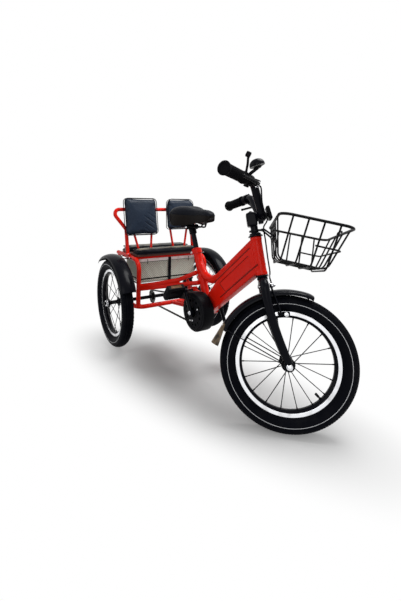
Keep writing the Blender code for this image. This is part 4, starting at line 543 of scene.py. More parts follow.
def hub_outline(width, bore, inner_end):
    end = width / 2
    flange = end - FLANGE_INSET
    low = min(-end, inner_end)
    high = max(end, inner_end)
    return [(bore, low), (HUB_RADIUS, low), (HUB_RADIUS, -flange - 0.002), (FLANGE_RADIUS, -flange - 0.0014),
            (FLANGE_RADIUS, -flange + 0.0014), (HUB_RADIUS + 0.002, -flange + 0.003),
            (HUB_RADIUS - 0.002, -flange + 0.01), (HUB_RADIUS - 0.002, flange - 0.01),
            (HUB_RADIUS + 0.002, flange - 0.003), (FLANGE_RADIUS, flange - 0.0014),
            (FLANGE_RADIUS, flange + 0.0014), (HUB_RADIUS, flange + 0.002), (HUB_RADIUS, high), (bore, high)]


def build_spokes(width, spoke_lean):
    """Wires from alternate flanges, leaning forwards and backwards in pairs, with their nipples."""
    flange = width / 2 - FLANGE_INSET
    wires = []
    for index in range(SPOKES):
        side = 1 if index % 2 else -1
        at_rim = 2 * math.pi * (index + 0.5) / SPOKES
        turn = spoke_lean * (1 if index % 4 < 2 else -1)
        hub_end = (FLANGE_RADIUS - 0.003) * outward_at(at_rim + turn)
        rim_end = (RIM_INNER + 0.003) * outward_at(at_rim)
        hub_end.y = side * flange + math.copysign(0.0024, turn)
        rim_end.y = side * 0.0015
        along = (hub_end - rim_end).normalized()
        wires.append(bar_between(hub_end, rim_end, SPOKE_RADIUS))
        wires.append(bar_between(rim_end, rim_end + along * NIPPLE_LENGTH, NIPPLE_RADIUS))
        head = Vector((0.0, math.copysign(0.0012, turn), 0.0))
        wires.append(bar_between(hub_end - head, hub_end + head, SPOKE_RADIUS * 2.0))
    return joined(wires)


def build_valve():
    out = outward_at(VALVE_ANGLE)
    stem = bar_between(out * (RIM_INNER + 0.002), out * (RIM_INNER - 0.014), 0.0026, 12)
    cap = bar_between(out * (RIM_INNER - 0.007), out * (RIM_INNER - 0.02), 0.0041, 12)
    nut = bar_between(out * (RIM_INNER + 0.001), out * (RIM_INNER - 0.003), 0.005, 6)
    return painted(smoothed(bevelled(joined([stem, cap, nut]), 0.0006)), black_enamel)


rim_pattern = build_rim()
for label, (body, place_there) in WHEEL_PLACES.items():
    width, bore, lean, inner_end = HUBS[label]
    hub = smoothed(moved(bevelled(revolved(hub_outline(width, bore, inner_end), 40), 0.0004, 30.0), ABOUT_Y))
    laced = painted_all([hub, smoothed(build_spokes(width, lean))], black_enamel)
    wheel = joined([copied(rim_pattern), *laced, build_valve()])
    settle(moved(wheel, place_there), label + "_wheel_laced", body, "black_paint", label + "_wheel")
bpy.data.objects.remove(rim_pattern, do_unlink=True)


# Fork. One steel tube is bent over the wheel into both blades; the steerer and its crown race are
# welded on top and a round flat end to each foot. It is painted black, and turns with the handlebar.
HEAD_TOP = Vector((0.290401, 0.0, 0.585))
CROWN_DROP = 0.0222
STUB_DROP = 0.047
FORK_RAKE = 0.033
FORK_HALF_WIDTH = 0.047
BLADE_RADIUS = 0.0145
BLADE_TIP_RADIUS = 0.012
BLADE_ARCH_BEND = 0.026
STEERER_RADIUS = 0.0125
FORK_END_RADIUS = 0.016
FORK_END_HALF_WIDTH = 0.0035
FORK_GRAIN = 0.0015
BLADE_STEPS = 12
BLADE_START = 0.045
BLADE_SHORTER = 0.056
CROWN_RACE_RADIUS = 0.0172
ACROSS = Vector((0.0, 1.0, 0.0))
UP = Vector((0.0, 0.0, 1.0))


def arced(corners, bend, steps=10):
    """The line through the corners, with an arc of the bend radius at each inner corner."""
    corners = [Vector(corner) for corner in corners]
    path = [corners[0]]
    for before, corner, after in zip(corners, corners[1:], corners[2:]):
        back = (before - corner).normalized()
        onward = (after - corner).normalized()
        half = back.angle(onward) / 2
        reach = bend / math.tan(half)
        centre = corner + (back + onward).normalized() * (bend / math.sin(half))
        first = corner + back * reach - centre
        axle = first.cross(corner + onward * reach - centre).normalized()
        for step in range(steps + 1):
            path.append(centre + Matrix.Rotation((math.pi - 2 * half) * step / steps, 3, axle) @ first)
    path.append(corners[-1])
    return path


def rod(at, axis, low, high, radius, sides=8, edge=None):
    """A closed round bar on an axis through a point, from one distance along it to another."""
    bar = bar_between(at + axis * low, at + axis * high, radius, sides)
    return smoothed(bevelled(bar, edge)) if edge else bar


def tube(route, radius, sides=24, closed=False):
    """A round bar along a route, its ends closed. The radius may be one value for each point."""
    radii = [radius] * len(route) if isinstance(radius, float) else radius
    line = bpy.data.curves.new("bar", "CURVE")
    line.dimensions = "3D"
    line.bevel_depth = 1.0
    line.bevel_resolution = (sides - 4) // 2
    line.use_fill_caps = not closed
    spline = line.splines.new("POLY")
    spline.points.add(len(route) - 1)
    for knot, spot, size in zip(spline.points, route, radii):
        knot.co = (*spot, 1.0)
        knot.radius = size
    spline.use_cyclic_u = closed
    spline.use_smooth = True
    bar = bpy.data.objects.new("bar", line)
    bpy.context.scene.collection.objects.link(bar)
    choose(bar)
    bpy.ops.object.convert(target="MESH")
    bar = picked()
    bar.data.materials.clear()
    return smoothed(edited(bar, mended), 50.0)


def welded(pieces, grain, passes=5):
    """Joins closed shapes into one skin, with a small fillet of weld where they meet."""
    skin = modified(joined(pieces), "REMESH", mode="VOXEL", voxel_size=grain)
    return smoothed(modified(skin, "SMOOTH", factor=0.5, iterations=passes), 60.0)


def boxed(size, centre, bevel, turn=None, segments=3):
    """A block with rounded edges, turned about its own middle and put in its place."""
    clear_selection()
    bpy.ops.mesh.primitive_cube_add(size=1.0)
    block = moved(picked(), Matrix.Diagonal((*size, 1.0)))
    bevelled(block, bevel, 30.0, segments)
    place_there = Matrix.Translation(centre)
    if turn is not None:
        place_there = place_there @ turn.to_4x4()
    return smoothed(moved(block, place_there), 40.0)


def stood(piece, axis, at):
    """Stands a shape that was turned about Z on another axis, at a point."""
    return moved(piece, Matrix.Translation(at) @ UP.rotation_difference(axis).to_matrix().to_4x4())


def steered(piece, name, slot_name, node, place_there=TURN_LEFT, body="steering"):
    """Settles a piece that turns with the fork: drawn straight ahead, then turned to the left."""
    settle(moved(piece, place_there), name, body, slot_name, node)


def build_fork():
    crown = HEAD_BOTTOM - STEER_AXIS * CROWN_DROP
    drop = (crown - FRONT_AXLE).dot(STEER_AXIS)
    blade, radii = [], []
    for step in range(BLADE_STEPS + 1):
        share = step / BLADE_STEPS
        blade.append(crown - STEER_AXIS * (BLADE_START + (drop - BLADE_SHORTER) * share)
                     + STEER_AHEAD * FORK_RAKE * share**1.6)
        radii.append(BLADE_RADIUS + (BLADE_TIP_RADIUS - BLADE_RADIUS) * share)
    out = ACROSS * FORK_HALF_WIDTH
    arch = arced([blade[0] + out, crown + out, crown - out, blade[0] - out], BLADE_ARCH_BEND)[1:-1]
    route = [spot + out for spot in reversed(blade)] + arch + [spot - out for spot in blade]
    sizes = [*reversed(radii), *[BLADE_RADIUS] * len(arch), *radii]
    pieces = [
        tube(route, sizes),
        bar_between(HEAD_BOTTOM - STEER_AXIS * STUB_DROP, HEAD_TOP + STEER_AXIS * 0.01, STEERER_RADIUS, 32),
        bar_between(crown + STEER_AXIS * 0.006, HEAD_BOTTOM - STEER_AXIS * 0.0081, CROWN_RACE_RADIUS, 32),
    ]
    for side in (-1, 1):
        end = FRONT_AXLE + out * side
        pieces.append(rod(end, ACROSS, -FORK_END_HALF_WIDTH, FORK_END_HALF_WIDTH, FORK_END_RADIUS, 40))
        pieces.append(tube([blade[-1] + out * side, end], [BLADE_TIP_RADIUS * 0.9, 0.0065]))
    return welded(pieces, FORK_GRAIN)


steered(painted(build_fork(), black_enamel), "fork_welded", "black_paint", "fork")


# Front axle. A plated steel spindle is fixed in the fork ends by a washer and a lipped nut outside
# each. It turns with the steering, and the front wheel runs on it.
AXLE_OUT = FORK_HALF_WIDTH + FORK_END_HALF_WIDTH + 0.0024
AXLE_END = AXLE_OUT + 0.016
AXLE_RADIUS = 0.005
WASHER = (0.0, 0.002, 0.0095)  # from, to and radius, outwards from the fork's end
NUT = (0.002, 0.009, 0.0086)
NUT_LIP = (0.0088, 0.013, 0.0068)

chrome, shader, place = finish("bright_plating", (0.74, 0.75, 0.78), 0.14, metallic=1.0)
dulled = place.noise(48.0, 5.0).clamped(0.42, 0.78)
dulled.mixed((0.8, 0.81, 0.84), (0.42, 0.41, 0.4)).into(shader["Base Color"])
(0.1 + dulled * 0.28).into(shader["Roughness"])
bumped(shader, place.noise(900.0, 2.0), 0.05, 0.0002)


def build_front_axle():
    pieces = [rod(Vector(), ACROSS, -AXLE_END, AXLE_END, AXLE_RADIUS, 24)]
    for side in (-1, 1):
        face = ACROSS * side * AXLE_OUT
        for ring, sides in ((WASHER, 32), (NUT, 6), (NUT_LIP, 24)):
            pieces.append(rod(face, ACROSS * side, *ring, sides))
    return smoothed(bevelled(joined(pieces), 0.0005), 35.0)


FROM_FRONT_AXLE = TURN_LEFT @ Matrix.Translation(FRONT_AXLE)
steered(painted(build_front_axle(), chrome), "front_axle_nuts", "chrome", "front_axle", FROM_FRONT_AXLE)


# Front mudguard. A rolled sheet arc with a crowned middle and turned down edges, painted black. A short
# stub holds it under the fork; its bronze rubber flap and two wire stays come next.
GUARD_RADIUS = 0.227
GUARD_HALF_WIDTH = 0.033
GUARD_WALL = 0.0014
GUARD_SECTION = ((-1.0, 0.016), (-0.985, 0.012), (-0.955, 0.0092), (-0.88, 0.0068), (-0.72, 0.0042),
                 (-0.5, 0.002), (-0.25, 0.0005), (0.0, 0.0), (0.25, 0.0005), (0.5, 0.002),
                 (0.72, 0.0042), (0.88, 0.0068), (0.955, 0.0092), (0.985, 0.012), (1.0, 0.016))
GUARD_STUB_RADIUS = 0.0074
FLAP_WALL = 0.0018
FLAP_ARC = (158.0, 176.0)
RIVET = ((0.0, -0.003), (0.0028, -0.003), (0.0028, 0.0008), (0.0018, 0.002), (0.0, 0.0024))
EYELET = ((0.0054, -0.0009), (0.01, -0.0009), (0.01, 0.0009), (0.0054, 0.0009))
STAY_RADIUS = 0.0018
STAY_ARC = math.radians(161)


def laid(rows, columns, place_of, thickness):
    """A sheet whose points place_of(u, v) lays, each from 0 to 1, with its wall."""
    clear_selection()
    bpy.ops.mesh.primitive_grid_add(x_subdivisions=rows, y_subdivisions=columns, size=2)
    piece = picked()
    for vertex in piece.data.vertices:
        vertex.co = place_of((vertex.co.x + 1) / 2, (vertex.co.y + 1) / 2)
    modified(piece, "SOLIDIFY", thickness=thickness, offset=0.0)
    return smoothed(edited(piece, mended), 35.0)


def guard_arc(radius, half_width, start, end, rows):
    """A mudguard's sheet, turned about Y through the wheel's middle from one angle to the other."""
    def place_of(u, v):
        angle = math.radians(start + (end - start) * u)
        index = round(v * (len(GUARD_SECTION) - 1))
        spread, drop = GUARD_SECTION[index]
        nip = 0.0025 * max(0.0, 1 - min(u, 1 - u) * rows / 1.5)
        out = outward_at(angle)
        return out * (radius - drop - GUARD_WALL / 2 - nip) + ACROSS * spread * half_width
    return laid(rows, len(GUARD_SECTION) - 1, place_of, GUARD_WALL)


def build_front_guard():
    guard = moved(guard_arc(GUARD_RADIUS, GUARD_HALF_WIDTH, 77.0, 163.0, 48), Matrix.Translation(FRONT_AXLE))
    stub = HEAD_BOTTOM - STEER_AXIS * (STUB_DROP + 0.0006)
    out = (stub - FRONT_AXLE).normalized()
    foot = FRONT_AXLE + out * (GUARD_RADIUS - 0.002)
    turn = UP.rotation_difference(STEER_AXIS).to_matrix()
    cap = boxed((0.02, 0.022, 0.005), stub - STEER_AXIS * 0.0035, 0.001, turn)
    post = smoothed(bar_between(foot, stub - STEER_AXIS * 0.004, GUARD_STUB_RADIUS, 24))
    flange = stood(revolved([(0.0, 0.0), (0.011, 0.0), (0.01, 0.0022), (0.0, 0.0028)], 32), out, foot)
    return joined([guard, cap, post, flange])


steered(painted(build_front_guard(), black_enamel), "front_mudguard", "black_paint", "front_fender")

bronze_rubber, shader, place = finish("bronze_flap", (0.13, 0.088, 0.05), 0.42, specular_ior_level=0.22)
dirt = place.noise(36.0, 5.0).clamped(0.4, 0.72)
dirt.mixed((0.155, 0.105, 0.058), (0.012, 0.01, 0.008)).into(shader["Base Color"])
(0.3 + dirt * 0.3).into(shader["Roughness"])
bumped(shader, place.noise(260.0, 3.0), 0.25, 0.0005)


def flap_point(u, v):
    angle = math.radians(FLAP_ARC[0] + (FLAP_ARC[1] - FLAP_ARC[0]) * u)
    spread = 2 * v - 1
    round_off = 0.1 * max(0.0, u - 0.85) / 0.15 * abs(spread) ** 3
    half = GUARD_HALF_WIDTH * (0.8 + 0.56 * u - round_off)
    sag = (0.0065 + 0.017 * u) * spread**2 + 0.0006 * math.sin(math.radians(720) * v) * u
    out = outward_at(angle)
    return out * (GUARD_RADIUS + 0.0014 + 0.013 * u * u - sag) + ACROSS * half * spread


flap = laid(24, 28, flap_point, FLAP_WALL)
rivets = []
for spread in (-0.5, 0.5):
    rivet_place = flap_point(0.1, 0.5 + spread / 2 * 0.8)
    rivets.append(painted(stood(revolved(RIVET, 20), rivet_place.normalized(), rivet_place), chrome))
flap = joined([painted(flap, bronze_rubber), *rivets])
steered(flap, "rubber_mud_flap", "bronze_flap", "mud_flap", FROM_FRONT_AXLE)

for side, label in ((-1, "right"), (1, "left")):
    inside = FORK_HALF_WIDTH - FORK_END_HALF_WIDTH - 0.0003
    outward = ACROSS * side
    out = outward_at(STAY_ARC)
    eyelet = stood(bevelled(revolved(EYELET, 32), 0.0003), ACROSS, outward * (inside - 0.0009))
    start = outward * (inside - 0.0021) + out * 0.0075
    elbow = outward * (GUARD_HALF_WIDTH + 0.0022) + out * (GUARD_RADIUS - 0.01)
    wire = tube(arced([start, start + out * 0.02, elbow - out * 0.012, elbow], 0.03, 5), STAY_RADIUS, 12)
    stay = painted(joined([smoothed(eyelet), wire]), black_enamel)
    steered(stay, label + "_mudguard_stay", "black_paint", label + "_fender_stay", FROM_FRONT_AXLE)


# Headset. Two pressed steel cups hold the fork's ball races at the ends of the head tube: a flared
# one below, fixed to the frame, and one with a wide brim above, which turns with the steerer.
LOWER_CUP = ((0.013, 0.0), (0.0195, 0.0), (0.0198, -0.0012), (0.0195, -0.0038), (0.0184, -0.0056),
             (0.0172, -0.0072), (0.013, -0.0074))
UPPER_CUP = ((0.013, 0.0), (0.0228, 0.0), (0.0236, 0.0006), (0.0236, 0.0026), (0.0226, 0.004),
             (0.02, 0.0056), (0.0184, 0.0082), (0.018, 0.0108), (0.0172, 0.012), (0.013, 0.012))

lower_cup = stood(revolved(LOWER_CUP, 64), STEER_AXIS, HEAD_BOTTOM - STEER_AXIS * 0.0003)
lower_cup = painted(smoothed(lower_cup, 30.0), black_enamel)
settle(lower_cup, "lower_head_cup", "frame", "black_paint", "headset_lower")
upper_cup = stood(revolved(UPPER_CUP, 64), STEER_AXIS, HEAD_TOP + STEER_AXIS * 0.0003)
upper_cup = painted(smoothed(upper_cup, 30.0), black_enamel)
steered(upper_cup, "upper_head_cup", "black_paint", "headset_upper")


# Stem and handlebar. The cast stem's quill goes down the steerer; its head block carries a clamp
# round the middle of a 25 mm steel bar, which rises and sweeps back to the grips. All black.
BAR_CLAMP = Vector((0.298865, 0.0, 0.655))
BAR_RADIUS = 0.0125
BAR_BEND = 0.04
CLAMP_RADIUS = 0.0178
CLAMP_HALF_LENGTH = 0.0145
QUILL_RADIUS = 0.012
HEAD_BLOCK_SIZE = (0.034, 0.04, 0.046)
EARS_SIZE = (0.016, 0.02, 0.01)
STEM_CAP = ((0.0, 0.0), (0.0105, 0.0), (0.0105, 0.0016), (0.0088, 0.0034), (0.0, 0.0042))
STEM_SCREW = ((0.0, 0.003), (0.0046, 0.003), (0.0046, 0.0062), (0.0036, 0.0068), (0.0, 0.0068))
STEM_CAP_UP = 0.0225
BAR_INNER = 0.028  # the bar's straight middle, out from the clamp's own
BAR_TOP = (-0.042, 0.098, 0.083)  # ahead of, out from and above the clamp
BAR_END = (-0.124, 0.24, 0.072)


def on_axis(height):
    """The point of the steering axis at a height."""
    return HEAD_BOTTOM + STEER_AXIS * ((height - HEAD_BOTTOM.z) / STEER_AXIS.z)


def build_stem():
    top = on_axis(BAR_CLAMP.z - 0.01)
    lean = math.atan2(STEER_AXIS.x, STEER_AXIS.z)
    middle = on_axis(BAR_CLAMP.z - 0.014) - STEER_AHEAD * 0.004
    cast = [
        bar_between(HEAD_TOP + STEER_AXIS * 0.0126, top, QUILL_RADIUS, 32),
        boxed(HEAD_BLOCK_SIZE, middle, 0.006, Matrix.Rotation(lean, 3, "Y")),
        bar_between(top + Vector((0.004, 0, 0)), BAR_CLAMP, 0.0125, 32),
        rod(BAR_CLAMP, ACROSS, -CLAMP_HALF_LENGTH, CLAMP_HALF_LENGTH, CLAMP_RADIUS, 40),
    ]
    body = welded(cast, 0.0012, 4)
    low = BAR_CLAMP - STEER_AHEAD * 0.004 - STEER_AXIS * (CLAMP_RADIUS + 0.001)
    ears = boxed(EARS_SIZE, low, 0.002, Matrix.Rotation(lean, 3, "Y"))
    bolt = rod(low, ACROSS, -0.0125, 0.0125, 0.0034, 6, 0.0004)
    cap = stood(revolved(STEM_CAP, 40), STEER_AXIS, middle + STEER_AXIS * STEM_CAP_UP)
    screw = stood(revolved(STEM_SCREW, 24), STEER_AXIS, middle + STEER_AXIS * STEM_CAP_UP)
    return joined([body, ears, bolt, cap, screw])


steered(painted(build_stem(), black_enamel), "cast_stem", "black_paint", "stem")


def bar_route(side):
    """The handlebar's corners on one side: the clamp, the top of the rise, the grip's end."""
    corners = ((0.0, BAR_INNER, 0.0), BAR_TOP, BAR_END)
    return [BAR_CLAMP + Vector((ahead, side * out, up)) for ahead, out, up in corners]


bar_line = arced([*reversed(bar_route(-1)), *bar_route(1)], BAR_BEND, 12)
steered(painted(tube(bar_line, BAR_RADIUS, 32), black_enamel), "bent_handlebar", "black_paint", "handlebar")


# Grips. Soft black rubber sleeves pushed over the bar, with a closed flared end, seventeen fine ribs
# round them and a collar at the hand's inner side.
GRIP_RADIUS = 0.0165
GRIP_LENGTH = 0.105
GRIP_FLANGE = 0.0207
GRIP_RIBS = 17
RIB_PITCH = 0.0048
GRIP_END = {side: bar_route(side)[2] for side in (-1, 1)}
GRIP_HEADING = {side: (bar_route(side)[2] - bar_route(side)[1]).normalized() for side in (-1, 1)}

soft_grip, shader, place = finish("soft_grip_rubber", (0.005, 0.005, 0.006), 0.62, specular_ior_level=0.035)
place.noise(60.0, 3.0).mixed((0.0015, 0.0015, 0.0024), (0.0044, 0.0044, 0.0056)).into(shader["Base Color"])
(0.52 + place.noise(45.0) * 0.2).into(shader["Roughness"])
bumped(shader, place.noise(1300.0, 1.0), 0.2, 0.0003)


def grip_outline():
    """From the middle of the closed end, down the ribs to the collar and back inside."""
    line = [(0.0, 0.0016), (0.012, 0.0016), (0.0132, 0.003), (0.0176, 0.0035), (0.02, 0.0028),
            (GRIP_FLANGE, 0.0004), (GRIP_FLANGE - 0.0008, -0.0034), (GRIP_RADIUS + 0.0012, -0.0075),
            (GRIP_RADIUS, -0.011)]
    for rib in range(GRIP_RIBS):
        low = -0.0145 - rib * RIB_PITCH
        line += [(GRIP_RADIUS - 0.0004, low), (GRIP_RADIUS + 0.0006, low - 0.001),
                 (GRIP_RADIUS + 0.0006, low - 0.0026), (GRIP_RADIUS - 0.0004, low - 0.0036)]
    line += [(GRIP_RADIUS, -GRIP_LENGTH + 0.007), (GRIP_RADIUS + 0.0025, -GRIP_LENGTH + 0.0048),
             (GRIP_RADIUS + 0.0025, -GRIP_LENGTH + 0.0008), (GRIP_RADIUS + 0.0014, -GRIP_LENGTH),
             (BAR_RADIUS + 0.0006, -GRIP_LENGTH), (BAR_RADIUS + 0.0006, -0.0003), (0.0, -0.0003)]
    return line


for side, label in ((-1, "right"), (1, "left")):
    grip = smoothed(stood(revolved(grip_outline(), 56), GRIP_HEADING[side], GRIP_END[side]), 30.0)
    steered(painted(grip, soft_grip), label + "_ribbed_grip", "black_plastic", label + "_grip")


# Brake levers. Each is a moulded black clamp on the bar with a slotted ear, and a curved lever that
# turns on a plated pin in it. The right one pulls the front brake's cable.
LEVER_BACK = 0.134
CHEEK_SIZE = (0.022, 0.016, 0.0034)
CHEEK_LIFT = 0.0083
HEEL_SIZE = (0.007, 0.016, 0.02)
LUG_SIZE = (0.014, 0.012, 0.009)
LEVER_LENGTH = 0.098
BAND_RADIUS = BAR_RADIUS + 0.0049

moulded, shader, place = finish("moulded_black", (0.003, 0.003, 0.004), 0.4, specular_ior_level=0.05)
place.noise(30.0, 4.0).mixed((0.0015, 0.0016, 0.0028), (0.0044, 0.0045, 0.006)).into(shader["Base Color"])
(0.34 + place.noise(55.0, 3.0) * 0.18).into(shader["Roughness"])
bumped(shader, place.noise(1500.0, 2.0), 0.14, 0.0003)


def band_round_bar(spot, along, half_width):
    hole = BAR_RADIUS + 0.0004
    outline = [(hole, -half_width), (BAND_RADIUS, -half_width), (BAND_RADIUS, half_width),
               (hole, half_width)]
    return stood(smoothed(bevelled(revolved(outline, 48), 0.0008)), along, spot)


for side, label in ((-1, "right"), (1, "left")):
    along = GRIP_HEADING[side]
    spot = GRIP_END[side] - along * LEVER_BACK
    ahead = (along.cross(UP).normalized() * side - UP * 0.35).normalized()
    upright = along.cross(ahead).normalized()
    turn = Matrix((ahead, along, upright)).transposed()
    arm_middle = spot + ahead * (BAR_RADIUS + 0.0129)
    pivot = arm_middle + ahead * 0.006 - along * 0.004
    cheeks = [boxed(CHEEK_SIZE, arm_middle + upright * lift, 0.001, turn)
              for lift in (-CHEEK_LIFT, CHEEK_LIFT)]
    heel = boxed(HEEL_SIZE, arm_middle - ahead * 0.0075, 0.0012, turn)
    screw = rod(spot - upright * 0.0175, ahead, -0.01, 0.006, 0.003, 12, 0.0004)
    lug = boxed(LUG_SIZE, spot - upright * 0.017, 0.002, turn)
    low_ear = arm_middle + ahead * 0.004 - upright * 0.0085
    adjuster = rod(low_ear, along, -0.005, -0.014, 0.0038, 12, 0.0005)
    mouldings = painted_all([band_round_bar(spot, along, 0.009), *cheeks, heel, lug], moulded)
    bracket = joined([*mouldings, *painted_all([screw, adjuster], chrome)])
    steered(bracket, label + "_lever_clamp", "black_plastic", label + "_lever_bracket")
    sweep = arced([pivot + along * 0.004, pivot + along * 0.03 + ahead * 0.015,
                   pivot + along * LEVER_LENGTH + ahead * 0.011], 0.026, 10)
    radii = [0.006 - 0.002 * index / len(sweep) for index in range(len(sweep))]
    blade = tube(sweep, radii, 20)
    tip = sweep[-1]
    clear_selection()
    bpy.ops.mesh.primitive_uv_sphere_add(segments=20, ring_count=12, radius=0.0052, location=tip)
    ball = picked()
    bpy.ops.object.transform_apply(location=True)
    boss = rod(pivot, upright, -0.0045, 0.0045, 0.0072, 28, 0.0006)
    lever = welded([blade, ball, boss], 0.0008, 3)
    pin = rod(pivot, upright, -0.0045, 0.0047, 0.0022, 16, 0.0003)
    lever = joined([painted(lever, moulded), painted(pin, chrome)])
    steered(lever, label + "_curved_lever", "black_plastic", label + "_brake_lever", body=label + "_lever")


# Bell. A black dome stands on a post beside the right grip, leaning back over the bar, with a stick
# for its striker behind it that ends in a square knob for the thumb.
BELL_BACK = 0.1135
BELL_RISE = Vector((0.03, -0.006, 0.038))
BELL_FOOT = ((0.0, -0.006), (0.009, -0.006), (0.011, -0.0042), (0.011, -0.0004), (0.0, -0.0004))
KNOB_SIZE = (0.0145, 0.0145, 0.0145)
STICK_REACH = Vector((-0.001, -0.007, 0.056))
BELL_LEAN = Vector((-0.41, -0.1, 0.91)).normalized()
BELL_DOME = ((0.0, 0.0008), (0.019, 0.0008), (0.0206, 0.0), (0.0222, 0.0002), (0.0225, 0.0012),
             (0.0224, 0.005), (0.0216, 0.0086), (0.02, 0.0122), (0.0174, 0.0156), (0.0138, 0.0184),
             (0.0096, 0.0204), (0.005, 0.0216), (0.0, 0.022))


def build_bell_base():
    along = GRIP_HEADING[-1]
    spot = GRIP_END[-1] - along * BELL_BACK
    seat = spot + BELL_RISE
    rise = (seat - spot).normalized()
    post = smoothed(bar_between(spot + rise * (BAR_RADIUS + 0.002), seat - BELL_LEAN * 0.004, 0.005, 24))
    foot = stood(revolved(BELL_FOOT, 40), BELL_LEAN, seat)
    root = spot + UP * (BAR_RADIUS + 0.002)
    tip = root + STICK_REACH
    stick = tube(arced([root, root.lerp(tip, 0.5) + Vector((0.0016, 0, 0)), tip], 0.05, 6), 0.0036, 20)
    knob = boxed(KNOB_SIZE, tip, 0.002, Matrix.Rotation(math.radians(20), 3, "Y"))
    return joined([band_round_bar(spot, along, 0.006), post, foot, stick, knob]), seat


bell_base, bell_seat = build_bell_base()
steered(painted(bell_base, moulded), "bell_striker", "black_plastic", "bell_base")
dome = stood(smoothed(revolved(BELL_DOME, 64), 50.0), BELL_LEAN, bell_seat + BELL_LEAN * 0.0003)
steered(painted(dome, black_enamel), "domed_bell", "black_paint", "bell_dome")


# Front reflector. A clear prismatic lens in a black moulded shell, held by a short arm that ends on
# the handlebar clamp.
REFLECTOR_SIZE = (0.011, 0.05, 0.044)
LENS_SIZE = (0.0018, 0.043, 0.037)
REFLECTOR_TURN = Matrix.Rotation(math.radians(-24), 3, "Y")

lens, shader, place = finish("clear_prisms", (0.62, 0.64, 0.66), 0.12, coat_weight=0.6)
cells = place.cells(420.0, "F1")
cells.clamped(0.0, 0.7).mixed((0.8, 0.82, 0.84), (0.3, 0.32, 0.35)).into(shader["Base Color"])
bumped(shader, cells, 0.6, 0.0008)

shell_middle = BAR_CLAMP + Vector((CLAMP_RADIUS + 0.0045, 0.0, 0.014))
shell = boxed(REFLECTOR_SIZE, shell_middle, 0.003, REFLECTOR_TURN, 4)
face_out = REFLECTOR_TURN @ Vector((1.0, 0.0, 0.0))
lens_plate = boxed(LENS_SIZE, shell_middle + face_out * 0.0052, 0.0008, REFLECTOR_TURN)
arm_foot = BAR_CLAMP + Vector((CLAMP_RADIUS - 0.001, 0, 0.004))
reflector_arm = smoothed(bar_between(arm_foot, shell_middle, 0.006, 24))
reflector = joined([*painted_all([shell, reflector_arm], moulded), painted(lens_plate, lens)])
steered(reflector, "shelled_reflector", "black_plastic", "front_reflector")


# Basket. It is welded from black coated wire: a thick rim, four hoops across, four strands along,
# a ring low round its front, a small carrying loop and a plate of crossed bars at its back.
BASKET_LENGTH = 0.204
BASKET_BACK_WIDTH = 0.34
BASKET_FRONT_WIDTH = 0.318
BASKET_DEPTH = 0.126
BASE_HALF_WIDTH = 0.098
BASE_BACK = 0.036
BASE_FRONT = BASKET_LENGTH - 0.04
WIRE_RADIUS = 0.0027
RIM_WIRE_RADIUS = 0.0042
HOOP_BEND = 0.036
STRAND_BEND = 0.024
RING_BEND = 0.018
RING_DROP = 0.52  # of the basket's depth
CARRYING_LOOP = ((-0.024, 0.0), (-0.02, 0.011), (0.02, 0.011), (0.024, 0.0))
PLATE_PLACE = (0.0078, 0.0, -0.036)
PLATE_LEAN = -0.235
PLATE_UPRIGHTS = (-0.0525, -0.035, -0.0175, 0.0, 0.0175, 0.035, 0.0525)
PLATE_LEVELS = (-0.031, -0.0155, 0.0, 0.0155, 0.031)
BASKET_TILT = math.radians(4.5)
BASKET_FRAME = (Matrix.Translation(on_axis(0.643) + Vector((0.069, 0.0, 0.0)))
                @ Matrix.Rotation(BASKET_TILT, 4, "Y"))

coated_wire, shader, place = finish("coated_wire", (0.003, 0.003, 0.004), 0.38, specular_ior_level=0.07)
place.noise(90.0, 2.0).mixed((0.003, 0.003, 0.0036), (0.0075, 0.0075, 0.0085)).into(shader["Base Color"])
(0.32 + place.noise(120.0, 2.0) * 0.16).into(shader["Roughness"])
bumped(shader, place.noise(800.0, 2.0), 0.12, 0.0003)


def rim_half(x):
    return (BASKET_BACK_WIDTH + (BASKET_FRONT_WIDTH - BASKET_BACK_WIDTH) * x / BASKET_LENGTH) / 2


def rim_line():
    """The basket's top edge as one closed loop with round corners."""
    corners = [(0, -rim_half(0)), (BASKET_LENGTH, -rim_half(BASKET_LENGTH)),
               (BASKET_LENGTH, rim_half(BASKET_LENGTH)), (0, rim_half(0))]
    line = []
    for index, (x, y) in enumerate(corners):
        here = Vector((x, y, 0))
        back = (Vector((*corners[index - 1], 0)) - here).normalized() * 0.04
        onward = (Vector((*corners[(index + 1) % 4], 0)) - here).normalized() * 0.04
        line += arced([here + back, here, here + onward], 0.034, 8)[1:-1]
    return line


